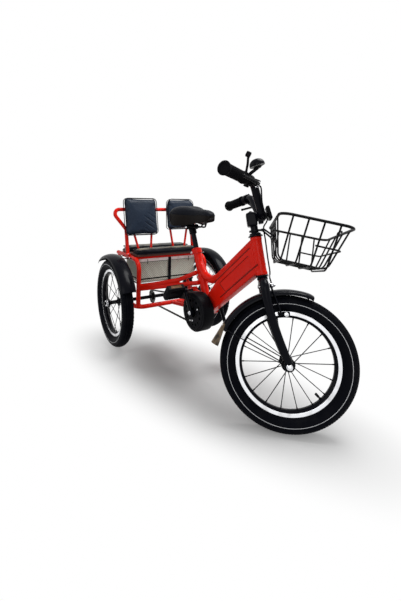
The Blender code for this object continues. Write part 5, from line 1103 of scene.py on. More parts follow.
def build_basket():
    floor_z = -BASKET_DEPTH
    pieces = [tube(rim_line(), RIM_WIRE_RADIUS, 16, closed=True)]
    for index in range(4):
        x = BASE_BACK + (BASE_FRONT - BASE_BACK) * index / 3
        half = rim_half(x)
        corners = [(x, -half, 0), (x, -BASE_HALF_WIDTH, floor_z), (x, BASE_HALF_WIDTH, floor_z),
                   (x, half, 0)]
        pieces.append(tube(arced(corners, HOOP_BEND, 9), WIRE_RADIUS, 12))
    for index in range(4):
        y = BASE_HALF_WIDTH * (index / 1.5 - 1) * 0.8
        low = floor_z + WIRE_RADIUS * 1.6
        corners = [(0, y * 1.3, 0), (BASE_BACK - 0.006, y, low), (BASE_FRONT + 0.006, y, low),
                   (BASKET_LENGTH, y * 1.3, 0)]
        pieces.append(tube(arced(corners, STRAND_BEND, 7), WIRE_RADIUS * 0.96, 12))
    share = RING_DROP
    third = BASE_BACK + (BASE_FRONT - BASE_BACK) * 2 / 3 - 0.006
    front = BASKET_LENGTH + (BASE_FRONT + 0.006 - BASKET_LENGTH) * share

    def half_here(x):
        return rim_half(x) + (BASE_HALF_WIDTH - rim_half(x)) * share

    corners = [(third, -half_here(third), floor_z * share), (front, -half_here(front), floor_z * share),
               (front, half_here(front), floor_z * share), (third, half_here(third), floor_z * share)]
    pieces.append(tube(arced(corners, RING_BEND, 6), WIRE_RADIUS, 12))
    loop = [(BASKET_LENGTH, y, z) for y, z in CARRYING_LOOP]
    pieces.append(tube(arced(loop, 0.006, 5), WIRE_RADIUS, 12))
    pieces += back_plate()
    return joined(pieces)


def back_plate():
    """The plate that the basket hangs by: crossed flat bars, the outer ones wider, welded together."""
    at = Matrix.Translation(PLATE_PLACE) @ Matrix.Rotation(PLATE_LEAN, 4, "Y")
    bars = []
    for y in PLATE_UPRIGHTS:
        width = 0.0058 if abs(y) == PLATE_UPRIGHTS[-1] else 0.0036
        bars.append(boxed((0.003, width, 0.066), (0, y, 0), 0.0008, None, 1))
    for z in PLATE_LEVELS:
        width = 0.0052 if abs(z) == PLATE_LEVELS[-1] else 0.0034
        bars.append(boxed((0.0026, 0.108, width), (0, 0, z), 0.0007, None, 1))
    return [moved(bar, at) for bar in bars]


basket = smoothed(painted(build_basket(), coated_wire), 40.0)
steered(basket, "welded_wire_basket", "black_paint", "basket", TURN_LEFT @ BASKET_FRAME)


# Basket bracket. A ring on the stem's quill carries two round steel arms that spread to a cross tie
# bolted behind the basket's plate.
BRACKET_WIRE_RADIUS = 0.003
BRACKET_HALF_WIDTH = 0.03


def build_bracket():
    centre = HEAD_TOP + STEER_AXIS * 0.017
    hole = QUILL_RADIUS + 0.0005
    ring = revolved([(hole, 0), (0.018, 0), (0.018, 0.006), (hole, 0.006)], 40)
    pieces = [stood(smoothed(bevelled(ring, 0.0006)), STEER_AXIS, centre)]
    start = centre + STEER_AHEAD * 0.0155 + STEER_AXIS * 0.003
    end = BASKET_FRAME @ Vector((0.0062, 0.0, -0.05))
    for side in (-1, 1):
        spread = ACROSS * side
        line = arced([start, start + STEER_AHEAD * 0.012 + spread * 0.02, end + spread * BRACKET_HALF_WIDTH],
                     0.012, 6)
        pieces.append(tube(line, BRACKET_WIRE_RADIUS, 12))
        nut = end + spread * BRACKET_HALF_WIDTH
        pieces.append(rod(nut, STEER_AHEAD, -0.004, 0.003, 0.0052, 6, 0.0004))
    pieces.append(smoothed(rod(end, ACROSS, -0.034, 0.034, BRACKET_WIRE_RADIUS, 16)))
    return joined(pieces)


steered(painted(build_bracket(), black_enamel), "forked_basket_bracket", "black_paint", "basket_bracket")


# Front brake. Two pressed arms cross on one plated bolt through the fork's crown, each with a rubber
# shoe at the rim's bright face, and the outer cable ends on the upper arm's ear.
CALIPER_PIVOT = HEAD_BOTTOM - STEER_AXIS * 0.037
CALIPER_FACE = CALIPER_PIVOT + STEER_AHEAD * 0.019
SHOE_RADIUS = RIM_RADIUS - 0.0065
SHOE_ANGLE = math.radians(102)
SHOE_SIZE = (0.036, 0.009, 0.01)

pieces = [
    bar_between(CALIPER_PIVOT - STEER_AHEAD * 0.02, CALIPER_FACE + STEER_AHEAD * 0.0185, 0.0029, 24),
    rod(CALIPER_FACE, STEER_AHEAD, 0.0105, 0.0155, 0.0063, 6),
    bar_between(CALIPER_FACE - STEER_AHEAD * 0.004, CALIPER_FACE, 0.0055, 24),
    rod(CALIPER_PIVOT, STEER_AHEAD, -0.0195, -0.0155, 0.006, 6),
]
bolt = smoothed(bevelled(joined(pieces), 0.0005))
steered(painted(bolt, chrome), "plated_caliper_bolt", "chrome", "caliper_bolt")

for side, label, layer, lift in ((-1, "right", 0.0026, 0.002), (1, "left", 0.0075, 0.024)):
    hinge = CALIPER_FACE + STEER_AHEAD * layer
    outward = ACROSS * side
    shoe = FRONT_AXLE + outward_at(SHOE_ANGLE) * SHOE_RADIUS + outward * (RIM_HALF_WIDTH + 0.0061)
    knee = hinge + outward * 0.04 - STEER_AXIS * 0.012
    ear = hinge + ACROSS * 0.036 + STEER_AXIS * lift
    below = Vector((shoe.x, knee.y, shoe.z)) + STEER_AHEAD * 0.004
    line = arced([hinge - outward * 0.004, hinge + outward * 0.018, knee, below], 0.012, 8)
    flattened = about(hinge, Matrix.Scale(0.55, 4, STEER_AHEAD))
    arm = moved(tube(line, 0.005, 16), flattened)
    tail = moved(tube([hinge, ear], 0.0046, 16), flattened)
    boss = rod(hinge, STEER_AHEAD, -0.0023, 0.0023, 0.0085, 32, 0.0006)
    post = rod(below, outward, -0.01, 0.007, 0.0042, 20)
    link = bar_between(shoe, below, 0.0034, 20)
    arm = painted(welded([arm, tail, post, link], 0.0009, 3), black_enamel)
    pad = boxed(SHOE_SIZE, shoe, 0.0016, Matrix.Rotation(math.radians(90) - SHOE_ANGLE, 3, "Y"))
    nut = rod(below, outward, 0.0035, 0.0082, 0.0072, 6, 0.0006)
    arm = joined([arm, painted(boss, chrome), painted(pad, soft_grip), painted(nut, chrome)])
    steered(arm, label + "_brake_arm", "black_paint", label + "_caliper_arm", body=label + "_caliper")


# Brake cable. A black lined housing leaves the right lever, loops ahead of the stem and drops to the
# caliper's ear, where a plated barrel lets out the inner wire. Its shape is fixed, with no free cord.
def eased(points, steps):
    """A smooth curve through the points, with so many steps from each to the next."""
    points = [Vector(point) for point in points]
    ends = [points[0] * 2 - points[1], *points, points[-1] * 2 - points[-2]]
    line = []
    for before, start, end, after in zip(ends, ends[1:], ends[2:], ends[3:]):
        for step in range(steps):
            t = step / steps
            bend = before * 2 - start * 5 + end * 4 - after
            twist = start * 3 - before - end * 3 + after
            line.append(0.5 * (start * 2 + (end - before) * t + bend * t**2 + twist * t**3))
    line.append(points[-1])
    return line


def cable_points():
    along = GRIP_HEADING[-1]
    ahead = (along.cross(UP).normalized() * -1 - UP * 0.35).normalized()
    low_ear = GRIP_END[-1] - along * LEVER_BACK + ahead * 0.02 - along.cross(ahead) * 0.0085
    start, corner, _ = bar_route(-1)
    return [
        low_ear - along * 0.0084,
        low_ear - along * 0.016,
        corner + Vector((0.024, 0.003, -0.011)),
        start.lerp(corner, 0.62) + Vector((0.0188, 0.0, -0.0183)),
        start.lerp(corner, 0.28) + Vector((0.017, -0.002, -0.016)),
        BAR_CLAMP + Vector((0.018, -0.029, -0.01)),
        BAR_CLAMP + Vector((0.018, -0.015, -0.019)),
        Vector((0.3115, -0.003, 0.618)),
        Vector((0.323, 0.0, 0.579)),
        Vector((0.339, 0.006, 0.522)),
        Vector((0.353, 0.027, 0.482)),
        CALIPER_FACE + STEER_AHEAD * 0.0075 + ACROSS * 0.034 + STEER_AXIS * 0.0285,
    ]


housing_line = eased(cable_points(), 8)
housing = tube(housing_line, 0.0023, 14)
barrel = bar_between(housing_line[-1], housing_line[-1].lerp(housing_line[-7], 0.55), 0.0036, 16)
barrel = smoothed(bevelled(barrel, 0.0004))
inner_end = CALIPER_FACE + STEER_AHEAD * 0.0075 + ACROSS * 0.035 + STEER_AXIS * 0.004
inner_wire = bar_between(housing_line[-1], inner_end, 0.0008, 8)
housing = joined([painted(housing, moulded), *painted_all([barrel, inner_wire], chrome)])
steered(housing, "brake_cable_housing", "black_plastic", "front_brake_cable")


# Front frame. A head tube, a dipping top rail, a deep folded sheet beam below it, the seat tube and the
# crank's shell are welded into one and enamelled orange red. The beam's sides carry a pressed panel.
# Thin dark red tubes under the rail, round the panel and along a line below it are painted shade.
CRANK = Vector((0.043, 0.0, 0.26))
SEAT_TUBE_TOP = Vector((-0.063, 0.0, 0.498))
SEAT_TUBE_AXIS = (SEAT_TUBE_TOP - CRANK).normalized()
HEAD_RADIUS = 0.0175
HEAD_LENGTH = 0.1259
BEAM_BELOW_RAIL = 0.011
RAIL_RADIUS = 0.0165
BEAM_HALF_WIDTH = 0.018
PANEL_DEPTH = 0.0022
PANEL_CORNERS = ((0.032, 0.027), (0.236, 0.027), (0.222, 0.07), (0.051, 0.07))  # along and below the rail
RAIL_CORNERS = ((0.059, 0.146), (0.015, 0.126), (-0.035, 0.134), (-0.081, 0.18))  # from the crank
BEAM_CORNERS = ((0.086, 0.047), (0.011, -0.019), (-0.011, -0.004), (-0.004, 0.046), (0.027, 0.09))
SHADE_LINES_END = 0.262
LOW_SHADE_LINE = 0.0735
SEAT_TUBE_RADIUS = 0.0165
SHELL_RADIUS = 0.021
SHELL_HALF_WIDTH = 0.034

red_enamel, shader, place = finish("red_enamel", (0.69, 0.012, 0.004), 0.3, coat_weight=0.06,
                                   coat_roughness=0.04, specular_ior_level=0.08)
cloud = place.noise(7.0, 4.0)
chips = place.noise(260.0, 3.0).clamped(0.7, 0.78)
enamel = cloud.mixed((0.64, 0.0085, 0.003), (0.75, 0.015, 0.005))
(chips * 0.6).mixed(enamel, (0.3, 0.02, 0.01)).into(shader["Base Color"])
(0.2 + cloud * 0.14 + chips * 0.2).into(shader["Roughness"])
bumped(shader, place.noise(320.0, 1.5), 0.05, 0.0003)


# Dark red for the thin tubes along the beam's creases: painted shade, darker than the red as shadow in a
# crease.
painted_shade_enamel, shader, place = finish("painted_crease_shade", (0.16, 0.006, 0.003), 0.45,
                                      specular_ior_level=0.1)
place.noise(60.0, 3.0).mixed((0.12, 0.004, 0.002), (0.26, 0.009, 0.004)).into(shader["Base Color"])


def plate(outline, low, high, bevel=0.0, segments=2):
    """A flat (x, z) outline given its thickness from y = low to y = high, its rim rounded."""
    clear_selection()
    bpy.ops.mesh.primitive_circle_add(vertices=len(outline), radius=1.0, fill_type="NGON")
    piece = picked()
    for vertex, (x, z) in zip(piece.data.vertices, outline):
        vertex.co = (x, low, z)
    edited(piece, lambda: bpy.ops.mesh.extrude_region_move(
        TRANSFORM_OT_translate={"value": (0.0, high - low, 0.0)}), mended)
    if bevel:
        bevelled(piece, bevel, 50.0, segments)
    return smoothed(piece, 35.0)


def cut(piece, *cutters):
    """Cuts closed shapes out of a piece."""
    for cutter in cutters:
        modified(piece, "BOOLEAN", operation="DIFFERENCE", solver="EXACT", object=cutter)
        bpy.data.objects.remove(cutter, do_unlink=True)
    return piece


def by_crank(ahead, above):
    return CRANK + Vector((ahead, 0.0, above))


def rounded_corners(corners, bend, steps=6):
    """A closed flat outline with every corner rounded."""
    line = []
    for index, corner in enumerate(corners):
        here = Vector(corner)
        before = Vector(corners[index - 1])
        after = Vector(corners[(index + 1) % len(corners)])
        back = here + (before - here) * min(0.45, 2.5 * bend / (before - here).length)
        onward = here + (after - here) * min(0.45, 2.5 * bend / (after - here).length)
        line += arced([back, here, onward], bend, steps)[1:-1]
    return [(spot.x, spot.z) for spot in line]


def build_front_frame():
    head_end = HEAD_TOP + Vector((-0.0029, 0, -0.019))
    dip = [by_crank(*spot) for spot in RAIL_CORNERS]
    low_lip = HEAD_RADIUS + 0.0018
    top_lip = HEAD_RADIUS + 0.0012
    head = [(0.0, 0.0), (low_lip, 0.0), (low_lip, 0.008), (HEAD_RADIUS, 0.014), (HEAD_RADIUS, 0.112),
            (top_lip, 0.116), (top_lip, HEAD_LENGTH), (0.0, HEAD_LENGTH)]
    collar = bar_between(SEAT_TUBE_TOP - SEAT_TUBE_AXIS * 0.03, SEAT_TUBE_TOP, SEAT_TUBE_RADIUS, 36)
    skin = welded([
        stood(revolved(head, 48), STEER_AXIS, HEAD_BOTTOM),
        tube(arced([head_end, *dip], 0.05, 8), RAIL_RADIUS, 32),
        rod(CRANK, ACROSS, -SHELL_HALF_WIDTH, SHELL_HALF_WIDTH, SHELL_RADIUS, 40),
        bar_between(CRANK, SEAT_TUBE_TOP, SEAT_TUBE_RADIUS, 36), collar], 0.0016)
    down_rail = (dip[0] - head_end).normalized()
    off_rail = Vector((-down_rail.z, 0, down_rail.x))

    def on_beam(along, below):
        return head_end + down_rail * along + off_rail * below

    corners = [HEAD_BOTTOM + Vector((-0.0074, 0, 0.0054))]
    corners += [by_crank(*spot) for spot in BEAM_CORNERS]
    corners += [on_beam((dip[0] - head_end).length, BEAM_BELOW_RAIL), on_beam(0.0, BEAM_BELOW_RAIL)]
    beam = plate([(spot.x, spot.z) for spot in corners], -BEAM_HALF_WIDTH, BEAM_HALF_WIDTH, 0.0042, 4)
    outline = rounded_corners([on_beam(*spot) for spot in PANEL_CORNERS], 0.005)
    wall = BEAM_HALF_WIDTH - PANEL_DEPTH
    cut(beam, plate(outline, -0.03, -wall, 0.0008), plate(outline, wall, 0.03, 0.0008))
    # These dark tubes under the rail, round the pressed panel and along a lower line paint the shade of
    # creases.
    shade_lines = []
    for side in (-1, 1):
        out = ACROSS * side
        under_rail = out * 0.0132
        upper = [on_beam(along, BEAM_BELOW_RAIL) + under_rail for along in (0.02, SHADE_LINES_END)]
        shade_lines.append(tube(upper, 0.0042, 12))
        panel_edge = [Vector((x, side * (wall + 0.0003), z)) for x, z in outline]
        shade_lines.append(tube(panel_edge, 0.0015, 10, closed=True))
        on_side = out * (BEAM_HALF_WIDTH - 0.0022)
        lower = [on_beam(along, LOW_SHADE_LINE) + on_side for along in (0.016, SHADE_LINES_END)]
        shade_lines.append(tube(lower, 0.0034, 10))
    beam = smoothed(bevelled(beam, 0.0004, 40.0, 1))
    return joined([*painted_all([skin, beam], red_enamel), *painted_all(shade_lines, painted_shade_enamel)])


settle(build_front_frame(), "welded_front_frame", "frame", "red_paint", "front_frame")


# Seat clamp and post. A red collar with two ears is pinched by a plated bolt behind the seat tube.
# The black steel post slides in it.
COLLAR_RADIUS = 0.021
COLLAR_HEIGHT = 0.022
COLLAR_EAR_SIZE = (0.016, 0.0062, 0.016)
POST_RADIUS = 0.011
POST_TOP_Z = 0.58


def build_seat_clamp():
    low = SEAT_TUBE_TOP - SEAT_TUBE_AXIS * 0.024
    hole = SEAT_TUBE_RADIUS + 0.0004
    ring = [(hole, 0.0), (COLLAR_RADIUS, 0.0), (COLLAR_RADIUS, COLLAR_HEIGHT), (hole, COLLAR_HEIGHT)]
    band = smoothed(bevelled(stood(revolved(ring, 56), SEAT_TUBE_AXIS, low), 0.001))
    back = Vector((-SEAT_TUBE_AXIS.z, 0.0, SEAT_TUBE_AXIS.x))
    centre = low + SEAT_TUBE_AXIS * 0.011 + back * 0.0255
    turn = UP.rotation_difference(SEAT_TUBE_AXIS).to_matrix()
    ears = [boxed(COLLAR_EAR_SIZE, centre + ACROSS * y, 0.002, turn) for y in (-0.0049, 0.0049)]
    bolt = joined([rod(centre, ACROSS, -0.0165, 0.0125, 0.0032, 20),
                   rod(centre, ACROSS, 0.008, 0.0125, 0.0056, 6),
                   rod(centre, ACROSS, -0.0125, -0.008, 0.0056, 24)])
    bolt = smoothed(bevelled(bolt, 0.0005))
    return joined([*painted_all([band, *ears], red_enamel), painted(bolt, chrome)])


settle(build_seat_clamp(), "pinched_seat_collar", "frame", "red_paint", "seat_clamp")
POST_TOP = SEAT_TUBE_TOP + SEAT_TUBE_AXIS * ((POST_TOP_Z - SEAT_TUBE_TOP.z) / SEAT_TUBE_AXIS.z)
post = tube([SEAT_TUBE_TOP - SEAT_TUBE_AXIS * 0.12, POST_TOP], POST_RADIUS, 40)
post = smoothed(bevelled(post, 0.0006))
settle(painted(post, black_enamel), "sliding_seat_post", "seat", "black_paint", "seat_post")


# Saddle. Foam over a shell, covered in black vinyl whose lower sides are painted brownish, a painted sheen:
# a wide round back, a long nose, a sewn seam with piping along each shoulder and a pressed hollow down
# the middle.
REAR_X = -0.37
SADDLE_SECTIONS = (
    # ahead of the rear axle, half width, top, lower edge
    (0.1815, 0.02, 0.648, 0.63), (0.183, 0.038, 0.655, 0.621), (0.187, 0.058, 0.662, 0.61),
    (0.196, 0.073, 0.669, 0.6), (0.212, 0.081, 0.674, 0.5935), (0.234, 0.083, 0.676, 0.5905),
    (0.256, 0.078, 0.675, 0.591), (0.278, 0.066, 0.672, 0.594), (0.3, 0.05, 0.668, 0.598),
    (0.325, 0.037, 0.665, 0.603), (0.352, 0.03, 0.664, 0.609), (0.38, 0.027, 0.662, 0.614),
    (0.4, 0.023, 0.657, 0.62), (0.411, 0.014, 0.65, 0.628), (0.4145, 0.006, 0.643, 0.635),
)
SADDLE_HALF_LOOP = ((0.0, 0.985), (0.22, 1.0), (0.5, 0.975), (0.76, 0.89), (0.91, 0.76), (0.965, 0.645),
                    (0.962, 0.61), (0.985, 0.58), (1.0, 0.46), (0.985, 0.2), (0.95, 0.04), (0.9, 0.0),
                    (0.84, 0.04), (0.74, 0.15), (0.45, 0.18), (0.0, 0.19))
SEAM_SHARE = (0.964, 0.625)
SHEEN_SKIRT_SHARE = 0.57
HOLLOW_DEPTH = 0.0022
HOLLOW_AHEAD = 0.285
HOLLOW_REACH = 0.085

saddle_vinyl, shader, place = finish("black_vinyl", (0.004, 0.004, 0.006), 0.44, specular_ior_level=0.06)
grain = place.cells(620.0)
place.noise(14.0, 4.0).mixed((0.002, 0.0026, 0.0048), (0.006, 0.0072, 0.0115)).into(shader["Base Color"])
(0.34 + place.noise(20.0, 4.0) * 0.22).into(shader["Roughness"])
bumped(shader, grain.clamped(0.0, 0.25), 0.22, 0.0004)

# The brown on the saddle's lower sides is a painted sheen: reflected light laid into the colour.
brown_sheen_vinyl, shader, place = finish("painted_brown_sheen_skirt", (0.007, 0.006, 0.005), 0.42,
                                    specular_ior_level=0.06)
grain = place.cells(620.0)
place.noise(18.0, 4.0).mixed((0.003, 0.0026, 0.0028), (0.013, 0.0098, 0.008)).into(shader["Base Color"])
bumped(shader, grain.clamped(0.0, 0.25), 0.22, 0.0004)


def closed_loft(loops):
    """A skin through closed loops of points, one after the other, its two ends filled."""
    rows, columns = len(loops), len(loops[0])
    clear_selection()
    bpy.ops.mesh.primitive_grid_add(x_subdivisions=columns, y_subdivisions=rows - 1, size=2)
    skin = picked()
    for index, vertex in enumerate(skin.data.vertices):
        row, column = divmod(index, columns + 1)
        vertex.co = loops[row][column % columns]

    def close_ends():
        bpy.ops.mesh.remove_doubles(threshold=0.00001)
        bpy.ops.mesh.select_all(action="DESELECT")
        bpy.ops.mesh.select_mode(type="EDGE")
        bpy.ops.mesh.select_non_manifold()
        bpy.ops.mesh.fill_holes(sides=0)

    return smoothed(edited(skin, close_ends, mended), 60.0)


def saddle_loop(ahead, half, top, low):
    half_loop = [(spot.x, spot.y) for spot in eased([Vector((y, z, 0)) for y, z in SADDLE_HALF_LOOP], 3)]
    height = top - low
    hollow = HOLLOW_DEPTH * max(0.0, 1 - abs(ahead - HOLLOW_AHEAD) / HOLLOW_REACH)
    points = []
    for y, z in half_loop + [(-y, z) for y, z in reversed(half_loop[1:-1])]:
        drop = hollow * max(0.0, 1 - (abs(y) / 0.3) ** 2) if z > 0.8 else 0.0
        points.append(Vector((REAR_X + ahead, half * y, low + height * z - drop)))
    return points


def build_saddle():
    stations = eased([Vector(section) for section in SADDLE_SECTIONS], 4)
    skin = closed_loft([saddle_loop(*station) for station in stations])
    painted(skin, saddle_vinyl, brown_sheen_vinyl)
    # Low faces that look sideways get the brown painted sheen.
    for face in skin.data.polygons:
        near = min(stations, key=lambda station: abs(REAR_X + station[0] - face.center.x))
        share = (face.center.z - near[3]) / max(near[2] - near[3], 0.001)
        if share < SHEEN_SKIRT_SHARE and abs(face.normal.z) < 0.8:
            face.material_index = 1
    cords = []
    for side in (-1, 1):
        out, up = SEAM_SHARE
        line = [Vector((REAR_X + ahead, side * (half * out + 0.0002), low + (top - low) * up))
                for ahead, half, top, low in stations[2:-2]]
        cords.append(painted(tube(line, 0.0013, 10), saddle_vinyl))
    return joined([skin, *cords])


saddle = settle(build_saddle(), "padded_saddle", "seat", "dark_vinyl", "saddle")


# Saddle frame. Two black sprung steel rails run under the saddle; a round clamp with a plated cross
# bolt grips them on the post's top.
def build_saddle_frame():
    grip_at = POST_TOP - SEAT_TUBE_AXIS * 0.01
    body = [(0.0114, -0.014), (0.016, -0.014), (0.016, 0.013), (0.0114, 0.013)]
    body = stood(smoothed(bevelled(revolved(body, 48), 0.0012)), SEAT_TUBE_AXIS, grip_at)
    heart = Vector((REAR_X + 0.268, 0.0, 0.587))
    cheeks = [rod(heart, ACROSS, y, y + 0.008, 0.0115, 32, 0.0012) for y in (-0.027, -0.0125, 0.0045, 0.019)]
    core = rod(heart, ACROSS, -0.026, 0.026, 0.0085, 32, 0.001)
    pieces = painted_all([body, core, *cheeks], moulded)
    bolt = joined([rod(heart, ACROSS, -0.033, 0.033, 0.0032, 20),
                   rod(heart, ACROSS, 0.0272, 0.0325, 0.0062, 6),
                   rod(heart, ACROSS, -0.0325, -0.0272, 0.0062, 6)])
    pieces.append(painted(smoothed(bevelled(bolt, 0.0005)), chrome))
    for side in (-1, 1):
        y = side * 0.02
        line = arced([Vector((REAR_X + x, across_at, z)) for x, across_at, z in (
            (0.212, y * 1.5, 0.605), (0.218, y * 1.3, 0.589), (0.33, y, 0.589), (0.356, y * 0.45, 0.5935),
            (0.362, y * 0.45, 0.6075))], 0.008, 7)
        pieces.append(painted(tube(line, 0.0034, 16), moulded))
    return joined(pieces)


settle(build_saddle_frame(), "railed_saddle_clamp", "seat", "black_plastic", "saddle_frame")


# Rear frame. Bent steel tubes make an axle loop, side rails that turn down to it, braces, three seat
# cross tubes, four stays to the seat tube and two to the crank's shell, all welded and enamelled red.
SIDE_Y = 0.18
SIDE_RAIL_Z = 0.422
TUBE_RADIUS = 0.0105
CROSS_RADIUS = 0.006
UPRIGHT_X = 0.112
LOOP_HALF_WIDTH = 0.196
HOOP_X = -0.012
REAR_FRAME_GRAIN = 0.002
SEAT_STAYS = ((0.402, 0.352, 0.302), (0.362, 0.33, 0.291))  # heights at the seat tube, the bend, the foot
CROSS_TUBES = (-0.1175, HOOP_X, 0.0615)


def side_point(ahead_of_axle, y, z):
    return Vector((REAR_X + ahead_of_axle, y, z))


def build_rear_frame():
    axle_z = WHEEL_RADIUS
    loop = [side_point(-0.056, -LOOP_HALF_WIDTH, axle_z), side_point(0.124, -LOOP_HALF_WIDTH, axle_z),
            side_point(0.124, LOOP_HALF_WIDTH, axle_z), side_point(-0.056, LOOP_HALF_WIDTH, axle_z)]
    pieces = [tube(arced(loop, 0.042), TUBE_RADIUS)]
    for side in (-1, 1):
        y = side * SIDE_Y
        rail = [side_point(-0.168, y, SIDE_RAIL_Z), side_point(UPRIGHT_X, y, SIDE_RAIL_Z),
                side_point(UPRIGHT_X, y + side * 0.004, axle_z)]
        pieces.append(tube(arced(rail, 0.048), TUBE_RADIUS))
        brace_foot = side_point(-0.046, side * LOOP_HALF_WIDTH, axle_z)
        pieces.append(bar_between(side_point(-0.15, y, SIDE_RAIL_Z), brace_foot, TUBE_RADIUS * 0.86, 24))
        inner = side_point(0, side * (LOOP_HALF_WIDTH - 0.0125), axle_z)
        pieces.append(bar_between(inner, inner + ACROSS * side * 0.025, 0.021, 40))
        for height, knee, low in SEAT_STAYS:
            start = CRANK + SEAT_TUBE_AXIS * ((height - CRANK.z) / SEAT_TUBE_AXIS.z)
            start = start + ACROSS * side * 0.02 - Vector((0.004, 0, 0))
            bend = side_point(0.252, side * 0.052, knee)
            line = arced([start, bend, side_point(UPRIGHT_X, y, low)], 0.06, 8)
            pieces.append(tube(line, 0.0095))
        pieces.append(bar_between(CRANK + Vector((-0.03, side * 0.015, -0.008)),
                                  side_point(0.126, side * 0.015, axle_z), 0.0085, 24))
    for ahead in CROSS_TUBES:
        z = SIDE_RAIL_Z + TUBE_RADIUS - CROSS_RADIUS
        pieces.append(rod(side_point(ahead, 0, z), ACROSS, -SIDE_Y, SIDE_Y, CROSS_RADIUS, 24))
    return welded(pieces, REAR_FRAME_GRAIN, 4)


settle(painted(build_rear_frame(), red_enamel), "welded_rear_frame", "frame", "red_paint", "rear_frame")


# Rear axle. One black steel shaft runs through two sealed bearings in the loop and carries both
# wheels, each held by a plated nut and washer on its end.
REAR_AXLE_SHAFT = 0.0085
REAR_HUB_WIDTH = 0.06
shaft_reach = HALF_TRACK + REAR_HUB_WIDTH / 2 + 0.017
shaft_line = [(0.0, -shaft_reach), (0.0062, -shaft_reach), (0.008, -shaft_reach + 0.0016)]
for thread in range(8):
    low = -shaft_reach + 0.0022 + thread * 0.0012
    shaft_line += [(0.0082, low), (0.0076, low + 0.0006)]
shaft_line += [(REAR_AXLE_SHAFT, -shaft_reach + 0.0125)]
shaft_line += [(radius, -height) for radius, height in reversed(shaft_line)]
shaft = moved(smoothed(revolved(shaft_line, 32), 30.0), Matrix.Translation(REAR_AXLE) @ ABOUT_Y)
settle(painted(shaft, black_enamel), "threaded_axle_shaft", "axle", "black_paint", "rear_axle")

BEARING_LINE = ((0.0089, -0.012), (0.01, -0.012), (0.0104, -0.0112), (0.0126, -0.0112), (0.013, -0.012),
                (0.0147, -0.0116), (0.0147, 0.0116), (0.013, 0.012), (0.0126, 0.0112), (0.0104, 0.0112),
                (0.01, 0.012), (0.0089, 0.012))
WASHER_LINE = ((0.0089, 0.0), (0.015, 0.0), (0.015, 0.0018), (0.0132, 0.002), (0.0132, 0.0024),
               (0.0089, 0.0024))
for side, label in ((-1, "right"), (1, "left")):
    bearing = smoothed(revolved(BEARING_LINE, 48), 30.0)
    seat_there = Matrix.Translation(side_point(0, side * LOOP_HALF_WIDTH, WHEEL_RADIUS)) @ ABOUT_Y
    bearing = painted(moved(bearing, seat_there), black_enamel)
    settle(bearing, label + "_sealed_bearing", "frame", "black_paint", label + "_axle_bearing")
    face = side_point(0, side * (HALF_TRACK + REAR_HUB_WIDTH / 2 + 0.0003), WHEEL_RADIUS)
    washer = stood(revolved(WASHER_LINE, 40), ACROSS * side, face)
    hexagon = bevelled(rod(face, ACROSS * side, 0.0022, 0.009, 0.0146, 6), 0.0007)
    nut = painted(joined([washer, smoothed(hexagon)]), chrome)
    settle(nut, label + "_plated_nut", "axle", "chrome", label + "_axle_nut")


# Rear mudguards. Two black rolled sheets over the wheels, each on two flat steel bars that reach in
# to the side rail, with two plated screws in each bar.
REAR_GUARD_RADIUS = WHEEL_RADIUS + 0.024
REAR_GUARD_HALF_WIDTH = 0.034
GUARD_SCREW = ((0.0, 0.0), (0.0036, 0.0), (0.003, 0.0016), (0.0012, 0.0021), (0.0, 0.0021))
for side, label in ((-1, "right"), (1, "left")):
    middle = side_point(0, side * HALF_TRACK, WHEEL_RADIUS)
    guard = guard_arc(REAR_GUARD_RADIUS, REAR_GUARD_HALF_WIDTH, 26.0, 128.0, 56)
    parts = [painted(moved(guard, Matrix.Translation(middle)), black_enamel)]
    inner_edge = HALF_TRACK - REAR_GUARD_HALF_WIDTH + 0.0014
    rail_side = SIDE_Y + TUBE_RADIUS + 0.0003
    for ahead in (-0.062, 0.04):
        height = WHEEL_RADIUS + math.sqrt((REAR_GUARD_RADIUS - 0.013) ** 2 - ahead**2)
        at = side_point(ahead, side * (rail_side + inner_edge) / 2, height)
        parts.append(painted(boxed((0.02, inner_edge - rail_side, 0.003), at, 0.0008), black_enamel))
        for reach in (-0.3, 0.3):
            spot = at + ACROSS * side * reach * (inner_edge - rail_side) + UP * 0.0012
            screw = moved(revolved(GUARD_SCREW, 20), Matrix.Translation(spot))
            parts.append(painted(screw, chrome))
    settle(joined(parts), label + "_rear_mudguard", "frame", "black_paint", label + "_rear_fender")


# Chain drive. A 28 tooth steel ring on the crank's spindle pulls a half inch chain round a 16 tooth
# sprocket pressed on the rear axle. The plates and rollers are black oxide steel, oiled.
CHAIN_PITCH = 0.0127
RING_TEETH = 28
SPROCKET_TEETH = 16
CHAIN_Y = -0.058
SPINDLE_RADIUS = 0.008
RING_RADIUS = CHAIN_PITCH / 2 / math.sin(math.pi / RING_TEETH)
SPROCKET_RADIUS = CHAIN_PITCH / 2 / math.sin(math.pi / SPROCKET_TEETH)
CENTRES = math.hypot(CRANK.x - REAR_AXLE.x, CRANK.z - REAR_AXLE.z)
RISE = math.atan2(CRANK.z - REAR_AXLE.z, CRANK.x - REAR_AXLE.x)
TOOTH = ((0.0, -0.0038), (0.14, -0.0032), (0.3, -0.0006), (0.4, 0.0016), (0.5, 0.0022), (0.6, 0.0016),
         (0.7, -0.0006), (0.86, -0.0032))  # shares of a tooth's pitch and how far it stands out there
WEB_HOLES = 6
WEB_HOLE_RADIUS = 0.0095
ROLLER_RADIUS = 0.0036
ROLLER_HALF_WIDTH = 0.0016
LINKS = 88
LINK_OUTLINE = ((-0.0092, 0.0), (-0.0082, 0.003), (-0.0058, 0.0036), (0.0, 0.0026), (0.0058, 0.0036),
                (0.0082, 0.003), (0.0092, 0.0), (0.0082, -0.003), (0.0058, -0.0036), (0.0, -0.0026),
                (-0.0058, -0.0036), (-0.0082, -0.003))

